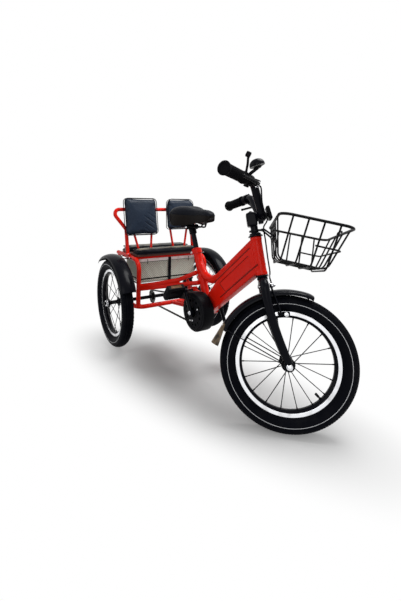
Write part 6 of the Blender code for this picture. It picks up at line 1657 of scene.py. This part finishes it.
oiled_steel, shader, place = finish("oiled_black_steel", (0.018, 0.018, 0.018), 0.34, metallic=1.0)
place.noise(160.0, 4.0).mixed((0.007, 0.007, 0.007), (0.046, 0.043, 0.04)).into(shader["Base Color"])
(0.26 + place.noise(90.0, 3.0) * 0.3).into(shader["Roughness"])


def toothed(teeth, radius, boss_radius, boss_half, bore):
    """A toothed disc with round-topped teeth, a turned boss and, where it is wide enough, round holes."""
    outline = []
    for index in range(teeth):
        for share, lift in TOOTH:
            angle = 2 * math.pi * (index + share) / teeth
            outline.append((math.cos(angle) * (radius + lift), math.sin(angle) * (radius + lift)))
    disc = plate(outline, -0.001, 0.001, 0.0003, 1)
    boss = [(bore, -boss_half), (boss_radius - 0.001, -boss_half), (boss_radius, -boss_half + 0.001),
            (boss_radius, boss_half - 0.001), (boss_radius - 0.001, boss_half), (bore, boss_half)]
    holes = [bar_between((0, -0.01, 0), (0, 0.01, 0), bore + 0.001, 32)]
    if radius > 0.045:
        for index in range(WEB_HOLES):
            spot = outward_at(2 * math.pi * index / WEB_HOLES) * radius * 0.6
            holes.append(rod(spot, ACROSS, -0.01, 0.01, WEB_HOLE_RADIUS, 28))
    cut(disc, *holes)
    return joined([smoothed(disc), moved(revolved(boss, 48), ABOUT_Y)])


ring = moved(toothed(RING_TEETH, RING_RADIUS, 0.016, 0.005, SPINDLE_RADIUS + 0.0004),
             Matrix.Translation(CRANK + ACROSS * CHAIN_Y))
settle(painted(ring, oiled_steel), "toothed_chainring", "cranks", "black_paint", "chainring")
sprocket = moved(toothed(SPROCKET_TEETH, SPROCKET_RADIUS, 0.017, 0.01, REAR_AXLE_SHAFT + 0.0004),
                 Matrix.Translation(REAR_AXLE + ACROSS * CHAIN_Y))
settle(painted(sprocket, oiled_steel), "pressed_axle_sprocket", "axle", "black_paint", "axle_sprocket")


def chain_line():
    """The chain's pitch line as a closed fine route in the plane y = 0."""
    spread = math.asin((RING_RADIUS - SPROCKET_RADIUS) / CENTRES)
    top = RISE + spread + math.pi / 2
    bottom = RISE - spread - math.pi / 2
    line = []
    for step in range(97):
        angle = bottom + (top - bottom) * step / 96
        line.append(CRANK + outward_at(angle) * RING_RADIUS)
    for step in range(49):
        angle = top + (bottom + 2 * math.pi - top) * step / 48
        line.append(REAR_AXLE + outward_at(angle) * SPROCKET_RADIUS)
    return line + [line[0]]


def spaced(line, count):
    """Points at equal steps along a route."""
    lengths = [(after - before).length for before, after in zip(line, line[1:])]
    step = sum(lengths) / count
    spots, index, gone = [], 0, 0.0
    for number in range(count):
        while gone + lengths[index] < number * step:
            gone += lengths[index]
            index += 1
        spots.append(line[index].lerp(line[index + 1], (number * step - gone) / lengths[index]))
    return spots


def build_chain():
    spots = spaced(chain_line(), LINKS)
    links = []
    for number, spot in enumerate(spots):
        onward = spots[(number + 1) % len(spots)]
        near, far = (0.0024, 0.003) if number % 2 else (0.0016, 0.0022)
        turn = Vector((1, 0, 0)).rotation_difference(onward - spot).to_matrix().to_4x4()
        turn = Matrix.Translation((spot + onward) / 2 + ACROSS * CHAIN_Y) @ turn
        for low, high in ((near, far), (-far, -near)):
            links.append(moved(plate(LINK_OUTLINE, low, high), turn))
        roller_at = spot + ACROSS * CHAIN_Y
        links.append(rod(roller_at, ACROSS, -ROLLER_HALF_WIDTH, ROLLER_HALF_WIDTH, ROLLER_RADIUS))
    return smoothed(joined(links), 30.0)


settle(painted(build_chain(), oiled_steel), "linked_chain", "frame", "black_paint", "chain")


# Chain case. A moulded black shell round the ring with an arm over the chain's upper run. Its outer
# wall has two raised rims, a ring of round windows, three screws and a hole for the crank.
CASE_RADIUS = 0.077
CASE_OUTER_Y = -0.078
CASE_INNER_Y = -0.028
CASE_WALL = 0.002
CASE_ARM = 0.205
CASE_WINDOWS = 14
WINDOW_RADIUS = 0.0058
WINDOWS_OUT = 0.048
CASE_SCREWS = (0.6, 2.6, 4.6)
CASE_SCREWS_OUT = 0.035
CASE_RIM = ((0.0, -0.0004), (0.2, -0.0016), (0.8, -0.0016), (1.0, -0.0004), (1.0, 0.0006), (0.0, 0.0006))


def case_outline(inset, back_end):
    slope = RISE + math.asin((RING_RADIUS - SPROCKET_RADIUS) / CENTRES)
    away = Vector((-math.sin(slope), 0, math.cos(slope)))
    along = outward_at(slope)
    radius = CASE_RADIUS - inset
    low_lift = RING_RADIUS - 0.012 + inset
    top = slope + math.pi / 2
    start = top - 2 * math.pi + math.acos(low_lift / radius)
    line = []
    for step in range(61):
        angle = start + (top - start) * step / 60
        line.append(CRANK + outward_at(angle) * radius)
    tip = CRANK + away * (RING_RADIUS + 0.013 - inset) - along * back_end
    heel = CRANK + away * low_lift - along * back_end
    line += arced([line[-1], tip, heel, line[0]], 0.006, 4)[1:-1]
    return [(spot.x, spot.z) for spot in line]


def build_case():
    case = plate(case_outline(0.0, CASE_ARM), CASE_OUTER_Y, CASE_INNER_Y, 0.0045, 4)
    outer = CRANK + ACROSS * CASE_OUTER_Y
    room = case_outline(CASE_WALL, CASE_ARM + 0.025)
    holes = [plate(room, CASE_OUTER_Y + CASE_WALL, CASE_INNER_Y - CASE_WALL, 0.003, 3),
             rod(CRANK, ACROSS, CASE_INNER_Y - 0.01, CASE_INNER_Y + 0.01, SHELL_RADIUS + 0.0006, 40),
             rod(outer, ACROSS, -0.01, 0.008, 0.019, 40),
             boxed((0.06, 0.026, 0.022), CRANK + Vector((-0.068, CHAIN_Y, -0.0615)), 0.003)]
    for index in range(CASE_WINDOWS):
        angle = 2 * math.pi * (index + 0.5) / CASE_WINDOWS
        holes.append(rod(outer + outward_at(angle) * WINDOWS_OUT, ACROSS, -0.01, 0.006, WINDOW_RADIUS, 24))
    cut(case, *holes)
    case = smoothed(case, 30.0)
    rims = []
    for radius, width in ((0.0195, 0.005), (0.061, 0.006)):
        rim = revolved([(radius + width * share, height) for share, height in CASE_RIM], 96)
        mirrored_there = Matrix.Rotation(math.pi / 2, 4, "X") @ Matrix.Scale(-1, 4, UP)
        rims.append(edited(moved(rim, Matrix.Translation(outer) @ mirrored_there), mended))
    screws = []
    for angle in CASE_SCREWS:
        head = revolved([(0.0, 0.0), (0.004, 0.0), (0.0034, 0.0014), (0.0014, 0.0018), (0.0, 0.0018)], 20)
        screws.append(painted(stood(head, -ACROSS, outer + outward_at(angle) * CASE_SCREWS_OUT), chrome))
    return joined([*painted_all([case, *rims], moulded), *screws])


settle(build_case(), "moulded_chain_case", "frame", "black_plastic", "chain_case")


# Cranks and pedals. Both arms and the spindle are one black forging with a plated cap at each end. The
# moulded pedals have grooved treads and an amber reflector in their front and back edges.
CRANK_ANGLE = math.radians(117.0)
CRANK_LENGTH = 0.09
ARM_RADII = [0.0104, 0.0092, 0.0085, 0.0084]
RIGHT_ARM_Y = -0.088
LEFT_ARM_Y = 0.06
PEDAL_SIZE = (0.062, 0.078, 0.026)
PEDAL_TILT = math.radians(-56.0)
STUD_SIZE = (0.0044, 0.0062, 0.0016)
STUD_PITCH = 0.0108
STUD_ROWS = (-0.0265, -0.007, 0.007, 0.0265)
PEDAL_LENS_SIZE = (0.0028, 0.046, 0.013)
PEDAL_LENS_OUT = 0.0306
CRANK_REACH = outward_at(CRANK_ANGLE) * CRANK_LENGTH

amber, shader, place = finish("amber_reflector", (0.2, 0.08, 0.008), 0.3, coat_weight=0.05,
                              specular_ior_level=0.1)
cells = place.cells(500.0, "F1")
cells.clamped(0.0, 0.7).mixed((0.26, 0.105, 0.009), (0.07, 0.022, 0.003)).into(shader["Base Color"])
bumped(shader, cells, 0.5, 0.0006)


def build_crank():
    right = CRANK + ACROSS * RIGHT_ARM_Y
    left = CRANK + ACROSS * LEFT_ARM_Y
    forging = [bar_between(right, left, SPINDLE_RADIUS, 32)]
    caps = []
    for start, direction, side in ((right, 1, -1), (left, -1, 1)):
        end = start + CRANK_REACH * direction + ACROSS * side * 0.004
        arm = tube([start.lerp(end, share) for share in (0.0, 0.35, 0.7, 1.0)], ARM_RADII, 28)
        forging += [moved(arm, about(start, Matrix.Scale(0.72, 4, ACROSS))),
                    rod(end, ACROSS, -0.0062, 0.0062, 0.0105, 36),
                    rod(start, ACROSS, -0.007, 0.007, 0.0132, 40)]
        face = start + ACROSS * side * 0.0068
        cap = revolved([(0.0, 0.0), (0.0086, 0.0), (0.0086, 0.0008), (0.007, 0.0016), (0.0034, 0.0016),
                        (0.003, 0.0006), (0.0, 0.0006)], 36)
        caps.append(painted(stood(cap, ACROSS * side, face), chrome))
    return joined([painted(welded(forging, 0.0011, 4), black_enamel), *caps])


settle(build_crank(), "forged_crank", "cranks", "black_paint", "crank")

for side, label, arm_y, direction in ((-1, "right", RIGHT_ARM_Y, 1), (1, "left", LEFT_ARM_Y, -1)):
    eye = CRANK + ACROSS * (arm_y + side * 0.004) + CRANK_REACH * direction
    middle = ACROSS * side * (0.011 + PEDAL_SIZE[1] / 2)
    body = boxed(PEDAL_SIZE, middle, 0.0058, None, 4)
    cutters = []
    for spread in (-0.0165, 0.0165):
        for lift in (-1, 1):
            spot = middle + Vector((spread, side * 0.002, lift * PEDAL_SIZE[2] / 2))
            cutters.append(boxed((0.011, PEDAL_SIZE[1] * 0.62, 0.0065), spot, 0.0012))
    cut(body, *cutters)
    treads = []
    for spread in STUD_ROWS:
        for lift in (-1, 1):
            for index in range(6):
                stud_y = (index - 2.5) * STUD_PITCH
                spot = middle + Vector((spread * 0.94, stud_y, lift * (PEDAL_SIZE[2] / 2)))
                treads.append(boxed(STUD_SIZE, spot, 0.0004, None, 1))
    lenses = [painted(boxed(PEDAL_LENS_SIZE, middle + Vector((spread, 0, 0)), 0.0008), amber)
              for spread in (-PEDAL_LENS_OUT, PEDAL_LENS_OUT)]
    shaft = smoothed(bar_between(ACROSS * side * -0.008, middle, 0.0051, 24))
    collar = rod(Vector(), ACROSS * side, 0.0068, 0.0125, 0.0085, 32, 0.0008)
    cap = stood(revolved([(0.0, 0.0), (0.009, 0.0), (0.0086, 0.0012), (0.0, 0.0016)], 32), ACROSS * side,
                middle + ACROSS * side * PEDAL_SIZE[1] / 2)
    pedal = joined([*painted_all([smoothed(body, 30.0), *treads], moulded), *lenses,
                    *painted_all([shaft, collar], oiled_steel), painted(cap, moulded)])
    moved(pedal, Matrix.Translation(eye) @ Matrix.Rotation(PEDAL_TILT, 4, "Y"))
    settle(pedal, label + "_treaded_pedal", label + "_pedal", "black_plastic", label + "_pedal")


# Bench board. Nine millimetres of plywood, stained dark red brown, with rounded edges that show its
# plies. It lies on the side rails and takes the pads' and the back rest's screws.
BOARD_Z = SIDE_RAIL_Z + TUBE_RADIUS + 0.0003
BOARD_THICKNESS = 0.009
BENCH_HALF_LENGTH = 0.173
SCREW_HEAD = ((0.0, 0.0), (0.0042, 0.0), (0.0034, 0.0014), (0.0, 0.0018))

plywood, shader, place = finish("stained_plywood", (0.06, 0.02, 0.014), 0.5, specular_ior_level=0.35)
stretched = place.node("ShaderNodeVectorMath", {"operation": "MULTIPLY"}, {0: place, 1: (30.0, 4.0, 700.0)})
plies = stretched.noise(1.0, 6.0, 0.7)
plies.clamped(0.3, 0.72).mixed((0.03, 0.01, 0.008), (0.11, 0.04, 0.024)).into(shader["Base Color"])
(0.4 + plies * 0.25).into(shader["Roughness"])
bumped(shader, plies, 0.2, 0.0006)

board = boxed((0.206, 2 * BENCH_HALF_LENGTH - 0.002, BOARD_THICKNESS),
              side_point(-0.025, 0, BOARD_Z + BOARD_THICKNESS / 2), 0.0022)
screws = []
for x in (-0.118, 0.06):
    for y in (-0.15, -0.05, 0.05, 0.15):
        upside_down = Matrix.Translation(side_point(x, y, BOARD_Z)) @ Matrix.Rotation(math.pi, 4, "X")
        screws.append(painted(moved(revolved(SCREW_HEAD, 20), upside_down), chrome))
settle(joined([painted(board, plywood), *screws]), "stained_bench_board", "frame", "plywood", "bench_board")


# Back rest frame. A red steel hoop leans back ten degrees from foot plates screwed through the board,
# flares out to its top rail, and four thinner bars between carry the two pads.
HOOP_LEAN = math.radians(10.0)
HOOP_TOP_Z = 0.653
HOOP_SHOULDER_Z = 0.556
HOOP_HALF_WIDTH = 0.26
HOOP_LEG_Y = 0.187
HOOP_RADIUS = 0.009
PAD_BAR_RADIUS = 0.0058
PAD_BARS = ((0.128, 0.178), (0.065, 0.042))  # how far out each bar's foot and top stand
FOOT_SCREW = ((0.0, 0.0), (0.0038, 0.0), (0.003, 0.0016), (0.0, 0.002))
HOOP_FOOT = side_point(HOOP_X, 0, BOARD_Z)
LEANING = about(HOOP_FOOT, Matrix.Rotation(-HOOP_LEAN, 4, "Y"))


def build_backrest():
    low = BOARD_Z + 0.003
    corners = [(-HOOP_LEG_Y, low), (-HOOP_LEG_Y, HOOP_SHOULDER_Z), (-HOOP_HALF_WIDTH, HOOP_TOP_Z),
               (HOOP_HALF_WIDTH, HOOP_TOP_Z), (HOOP_LEG_Y, HOOP_SHOULDER_Z), (HOOP_LEG_Y, low)]
    pieces = [tube(arced([LEANING @ side_point(HOOP_X, y, z) for y, z in corners], 0.022), HOOP_RADIUS)]
    front = HOOP_X + HOOP_RADIUS - 0.004
    screws = []
    for side in (-1, 1):
        at = side_point(HOOP_X, side * (HOOP_LEG_Y + 0.001), BOARD_Z + 0.0025)
        pieces.append(boxed((0.034, 0.022, 0.005), at, 0.001))
        for reach in (-0.0125, 0.0125):
            there = Matrix.Translation(at + Vector((reach, 0, 0.0023)))
            screws.append(painted(moved(revolved(FOOT_SCREW, 20), there), chrome))
        for low_y, high_y in PAD_BARS:
            foot = LEANING @ side_point(front, side * low_y, BOARD_Z + BOARD_THICKNESS + 0.0018)
            top = LEANING @ side_point(front, side * high_y, HOOP_TOP_Z)
            pieces.append(bar_between(foot, top, PAD_BAR_RADIUS, 24))
    return joined([painted(welded(pieces, 0.0016, 4), red_enamel), *screws])


settle(build_backrest(), "leaning_backrest_hoop", "frame", "red_paint", "backrest_frame")


# Pads. Foam in sewn vinyl with piped edges: two black ones on the bench, their tops painted olive as a
# sheen of reflected light, split by the gap for the back rest's bars, and two navy ones on those bars.
# The foam pushes each cover out.
PAD_GRAIN = 0.0048
COVER_STIFFNESS = 22.0
FOAM_PRESSURE = 4.0
COVER_STEPS = 20
BACK_PAD_HEIGHT = 0.615
BACK_PAD_Y = 0.113
TOP_NARROWING = 0.22  # the far back pad's, above 30 mm over its middle
FAR_PAD_SHORTER = 0.74
PAD_Z = BOARD_Z + BOARD_THICKNESS + 0.0003

navy_vinyl, shader, place = finish("navy_vinyl", (0.012, 0.02, 0.038), 0.38, specular_ior_level=0.12)
grain = place.cells(520.0)
quilting = place.bands(42.0, "Z") + place.bands(42.0, "Y")
place.noise(12.0, 4.0).mixed((0.0075, 0.0125, 0.023), (0.021, 0.033, 0.056)).into(shader["Base Color"])
(0.26 + place.noise(16.0, 4.0) * 0.26).into(shader["Roughness"])
bumped(shader, grain.clamped(0.0, 0.25) * 0.5 + quilting * 0.55, 0.3, 0.0005)

# The olive top is a painted sheen: light reflected off the bench pads' tops, laid into the colour.
olive_sheen_vinyl, shader, place = finish("painted_olive_sheen_top", (0.06, 0.053, 0.036), 0.34, specular_ior_level=0.3)
grain = place.cells(520.0)
place.noise(9.0, 5.0).clamped(0.35, 0.65).mixed((0.022, 0.022, 0.02), (0.12, 0.1, 0.062)).into(
    shader["Base Color"])
bumped(shader, grain.clamped(0.0, 0.25), 0.25, 0.0005)


def stuffed(node_name, smaller, cap):
    """A cover drawn round the pad's own form, then blown out by the foam, as far as the cap."""
    pad = bpy.data.objects.new("cover", bpy.data.objects[node_name].data.copy())
    bpy.context.scene.collection.objects.link(pad)
    edited(pad, mended)
    modified(pad, "REMESH", mode="VOXEL", voxel_size=PAD_GRAIN)
    low, high = (Vector(corner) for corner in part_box(node_name))
    middle = (low + high) / 2
    moved(pad, about(middle, Matrix.Diagonal((*smaller, 1.0))))
    start = [vertex.co.copy() for vertex in pad.data.vertices]
    choose(pad)
    cover = pad.modifiers.new("cover", "CLOTH")
    cover.settings.quality = 6
    cover.settings.tension_stiffness = COVER_STIFFNESS
    cover.settings.compression_stiffness = COVER_STIFFNESS
    cover.settings.use_pressure = True
    cover.settings.uniform_pressure_force = FOAM_PRESSURE
    cover.settings.effector_weights.gravity = 0.0
    for step in range(1, COVER_STEPS + 1):
        bpy.context.scene.frame_set(step)
    bpy.ops.object.modifier_apply(modifier=cover.name)
    for vertex, first in zip(pad.data.vertices, start):
        push = vertex.co - first
        vertex.co = first + push * min(1.0, cap / max(push.length, 1e-9))
    bpy.context.scene.frame_set(1)
    return modified(pad, "SUBSURF", levels=1, render_levels=1)


def border(half_x, half_y, corner, height=0.0):
    """A closed rounded rectangle at a height."""
    corners = [Vector((x * half_x, y * half_y, height)) for x, y in ((-1, -1), (1, -1), (1, 1), (-1, 1))]
    line = []
    for index, here in enumerate(corners):
        back = (corners[index - 1] - here).normalized() * corner * 1.6
        onward = (corners[(index + 1) % 4] - here).normalized() * corner * 1.6
        line += arced([here + back, here, here + onward], corner, 8)[1:-1]
    return line


def dressed(pad, name, sheen_above, piping_at, node_name, side_vinyl):
    """Piping round the pad, and its top panel's olive vinyl, a painted sheen, where it has one."""
    painted(pad, side_vinyl, olive_sheen_vinyl)
    for face in pad.data.polygons:
        if sheen_above and face.normal.z > 0.94 and face.center.z > sheen_above:
            face.material_index = 1
    pipes = [painted(tube(line, 0.0019, 10, closed=True), saddle_vinyl) for line in piping_at]
    pad = smoothed(joined([pad, *pipes]), 60.0)
    settle(pad, name, "frame", "dark_vinyl", node_name)


for name, back, front in (("front_bench_pad", 0.002, 0.08), ("rear_bench_pad", -0.13, -0.026)):
    pad = stuffed(name, (0.99, 0.996, 0.97), 0.0045)
    for vertex in pad.data.vertices:
        vertex.co.z = max(vertex.co.z, PAD_Z)
        vertex.co.x = min(max(vertex.co.x, REAR_X + back - 0.0006), REAR_X + front + 0.002)
        y = vertex.co.y
        if vertex.co.z > PAD_Z + 0.015:
            dimple = 0.5 + 0.5 * math.cos(2 * math.pi * y / 0.058)
            vertex.co.z -= 0.0009 * dimple * max(0.0, 1 - abs(y) / 0.2)
    middle = side_point((back + front) / 2, 0, 0)
    lines = []
    for height in (0.003, 0.0182):
        inset = 0.0006 if height < 0.01 else 0.0014
        edge = border((front - back) / 2 - inset, BENCH_HALF_LENGTH - inset, 0.021, PAD_Z + height)
        lines.append([spot + middle for spot in edge])
    dressed(pad, name + "_stuffed", PAD_Z + 0.013, lines, name, saddle_vinyl)

for side, label in ((-1, "right"), (1, "left")):
    node_name = label + "_back_pad"
    pad = stuffed(node_name, (0.97, 0.99, 0.99), 0.005)
    upright = LEANING.inverted()
    face = REAR_X + HOOP_X + HOOP_RADIUS + 0.0023
    centre = Vector((face, side * BACK_PAD_Y, BACK_PAD_HEIGHT))
    for vertex in pad.data.vertices:
        spot = upright @ vertex.co
        across_pad, up_pad, out = spot.y - centre.y, spot.z - centre.z, spot.x - face
        if out > 0.012:
            along = across_pad * 0.55 + up_pad * 0.84
            near_fold = max(0.0, 1 - ((across_pad - 0.042) / 0.04) ** 2)
            near_fold *= max(0.0, 1 - ((up_pad + 0.03) / 0.05) ** 2)
            ripple = max(0.0, math.sin(along * 2 * math.pi / 0.024)) ** 2
            out -= 0.0034 * near_fold * ripple
            out += 0.001 * math.cos(across_pad * math.pi / 0.086) * math.cos(up_pad * math.pi / 0.091)
        if side > 0 and up_pad > 0.03:
            across_pad *= 1 - TOP_NARROWING * ((up_pad - 0.03) / 0.061) ** 2
        if side > 0 and up_pad < 0:
            up_pad *= FAR_PAD_SHORTER
        vertex.co = LEANING @ Vector((face + max(out, 0.0), centre.y + across_pad, centre.z + up_pad))
    stand = LEANING @ Matrix.Translation(centre) @ Matrix.Rotation(math.radians(90), 4, "Y")
    lines = []
    for height in (0.0025, 0.0195):
        inset = 0.0 if height < 0.01 else 0.0012
        line = border(0.09 - inset, 0.085 - inset, 0.0185, height)
        if side > 0:
            line = [Vector((spot.x * (FAR_PAD_SHORTER if spot.x > 0 else 1.0),
                            spot.y * (1 - TOP_NARROWING * (max(0.0, -spot.x - 0.03) / 0.061) ** 2), spot.z))
                    for spot in line]
        lines.append([stand @ spot for spot in line])
    dressed(pad, node_name + "_stuffed", None, lines, node_name, navy_vinyl)


# Fabric box. One sheet of grey beige canvas, folded up at its corners and sewn, hangs under the bench
# as a toy box, open above. Its mouth has a wide white hem over a dark stitched line.
BOX_BACK = -0.116
BOX_FRONT = 0.06
BOX_HALF_LENGTH = 0.16
BOX_FLOOR_Z = 0.3
BOX_TOP = BOARD_Z - 2 * CROSS_RADIUS - 0.0012
BOX_WALL = 0.0022
BOX_STEPS = 168
FOLD_WIDTH = 0.041
CREASE_WIDTH = 0.017
HEM_HEIGHT = 0.015
BOX_BAND = (0.016, 0.024)

canvas, shader, place = finish("grey_canvas", (0.66, 0.62, 0.54), 0.85, specular_ior_level=0.2)
turned = place.node("ShaderNodeVectorRotate", {"rotation_type": "Z_AXIS"},
                    {"Vector": place, "Angle": math.radians(-45)})
warp = turned.bands(220.0, "X", 1.0)
weft = place.bands(310.0, "Z", 1.0)
soil = place.noise(16.0, 5.0).clamped(0.4, 0.7)
thread = warp * 0.5 + weft * 0.5
# Wide diagonal bands darken the canvas as painted shade in its folds, and raise the same folds in the bump.
fold_shade_and_bump = place.bands(62.0, "DIAGONAL", 5.0, 0.35)
cloth = (thread * 0.35 + fold_shade_and_bump * 0.65).mixed((0.17, 0.185, 0.145), (0.8, 0.84, 0.74))
(soil * 0.25).mixed(cloth, (0.36, 0.33, 0.27)).into(shader["Base Color"])
bumped(shader, thread * 0.3 + fold_shade_and_bump * 0.7, 0.6, 0.0012)

hem_white, shader, place = finish("white_hem", (0.92, 0.91, 0.88), 0.75, specular_ior_level=0.2)
weft = place.bands(420.0, "Z", 1.0)
place.noise(40.0, 4.0).clamped(0.45, 0.75).mixed((0.96, 0.95, 0.93), (0.74, 0.72, 0.67)).into(
    shader["Base Color"])
bumped(shader, weft, 0.4, 0.0005)


def box_loop(spread, lift):
    """One level of the box: a rounded rectangle whose sides wave with the cloth's folds."""
    half_x = (BOX_FRONT - BOX_BACK) / 2 - 0.002 + spread
    half_y = BOX_HALF_LENGTH - 0.002 + spread
    points = []
    share = lift / (BOX_TOP - BOX_FLOOR_Z)
    loose = math.sin(math.pi * min(1.0, max(0.0, share / 0.86))) if share < 0.86 else 0.0
    level = border(half_x, half_y, 0.014 + spread)
    for spot in spaced([*level, level[0]], BOX_STEPS):
        out = Vector((spot.x / half_x, spot.y / half_y, 0))
        wall_x = abs(out.x) > abs(out.y)
        run = spot.y if wall_x else spot.x
        lean = run + (0.055 if spot.y < 0 else -0.055) * share
        fold = math.sin(lean * 2 * math.pi / FOLD_WIDTH) * 0.6
        fold += math.sin(lean * 2 * math.pi / CREASE_WIDTH + 1.0) * 0.4
        sink = loose * (0.0022 + 0.0018 * fold)
        points.append(Vector((spot.x - (math.copysign(sink, spot.x) if wall_x else 0.0),
                              spot.y - (0.0 if wall_x else math.copysign(sink, spot.y)), 0))
                      + side_point((BOX_FRONT + BOX_BACK) / 2, 0, BOX_FLOOR_Z + lift))
    return points


def build_box():
    height = BOX_TOP - BOX_FLOOR_Z
    under = height - HEM_HEIGHT
    outside = [(-0.012, 0.0), (-0.005, 0.001), (-0.0015, 0.004), (0.0, 0.01)]
    outside += [(0.0008, 0.01 + (under - 0.01) * step / 14) for step in range(1, 14)]
    outside += [(0.0, under), (0.0016, under + 0.0008), (0.0018, height - 0.002), (0.0012, height)]
    inside = [(spread - BOX_WALL, max(lift, 0.0022)) for spread, lift in reversed(outside)]
    cloth = closed_loft([box_loop(*row) for row in outside + inside])
    painted(cloth, canvas, hem_white, moulded)
    for face in cloth.data.polygons:
        if face.center.z > BOX_FLOOR_Z + under + 0.0002:
            face.material_index = 1
        elif BOX_BAND[0] < face.center.z - BOX_FLOOR_Z < BOX_BAND[1]:
            face.material_index = 2
    return cloth, under


cloth_box, under_hem = build_box()
seam_line = [spot + Vector((0, 0, -0.001)) for spot in box_loop(0.0003, under_hem)]
seam = painted(tube(seam_line[::2], 0.0009, 8, closed=True), moulded)
corner_seams = []
for x_side in (-1, 1):
    for y_side in (-1, 1):
        x = (BOX_FRONT + BOX_BACK) / 2 + x_side * ((BOX_FRONT - BOX_BACK) / 2 - 0.0052)
        y = y_side * (BOX_HALF_LENGTH - 0.0052)
        stitches = [side_point(x, y, BOX_FLOOR_Z + lift) for lift in (0.008, under_hem)]
        corner_seams.append(painted(tube(stitches, 0.0009, 8), canvas))
bound = joined([seam, *corner_seams])
settle(bound, "box_seam_binding", "frame", "grey_canvas")
settle(cloth_box, "sewn_fabric_box", "frame", "grey_canvas", "fabric_box")


# Box cradle. A flat black steel strap hangs from the seat's cross tubes and passes under the box. A
# round wire rail is welded round its foot, and small wire hooks hold the hem to the frame.
STRAP = 0.0022
STRAP_GAP = 0.0006


def build_cradle():
    top = BOARD_Z - 2 * CROSS_RADIUS - 0.0006
    under = BOX_FLOOR_Z - STRAP_GAP - STRAP
    front = BOX_FRONT + STRAP_GAP
    back = BOX_BACK - STRAP_GAP
    outline = [(front, under + STRAP), (front, top), (front + STRAP, top), (front + STRAP, under),
               (back - STRAP, under), (back - STRAP, top), (back, top), (back, under + STRAP)]
    outline = [(REAR_X + x, z) for x, z in outline]
    pieces = [plate(outline, -0.003, 0.013, 0.0007, 1)]
    half = BOX_HALF_LENGTH - 0.006
    middle = side_point((front + back) / 2, 0, under - 0.0015)
    rail = [spot + middle for spot in border((front - back) / 2 - 0.004, half, 0.018)]
    pieces.append(tube(rail, 0.0036, 16, closed=True))
    for x in (front + STRAP, back - STRAP):
        for z in (top - 0.012, under + 0.016):
            axis = Vector((1.0 if x > 0 else -1.0, 0.0, 0.0))
            pieces.append(stood(revolved(SCREW_HEAD, 20), axis, side_point(x, 0.005, z)))
    hooks = []
    for y in (-0.115, 0.115):
        hook = [side_point(front + 0.0025, y, top - 0.004), side_point(front + 0.003, y, top - 0.02),
                side_point(front - 0.0006, y, top - 0.026)]
        hooks.append(tube(arced(hook, 0.004, 4), 0.0014, 10))
    return joined([*pieces, *hooks])


cradle = painted(build_cradle(), black_enamel)
settle(cradle, "box_cradle_straps", "frame", "black_paint", "box_cradle")
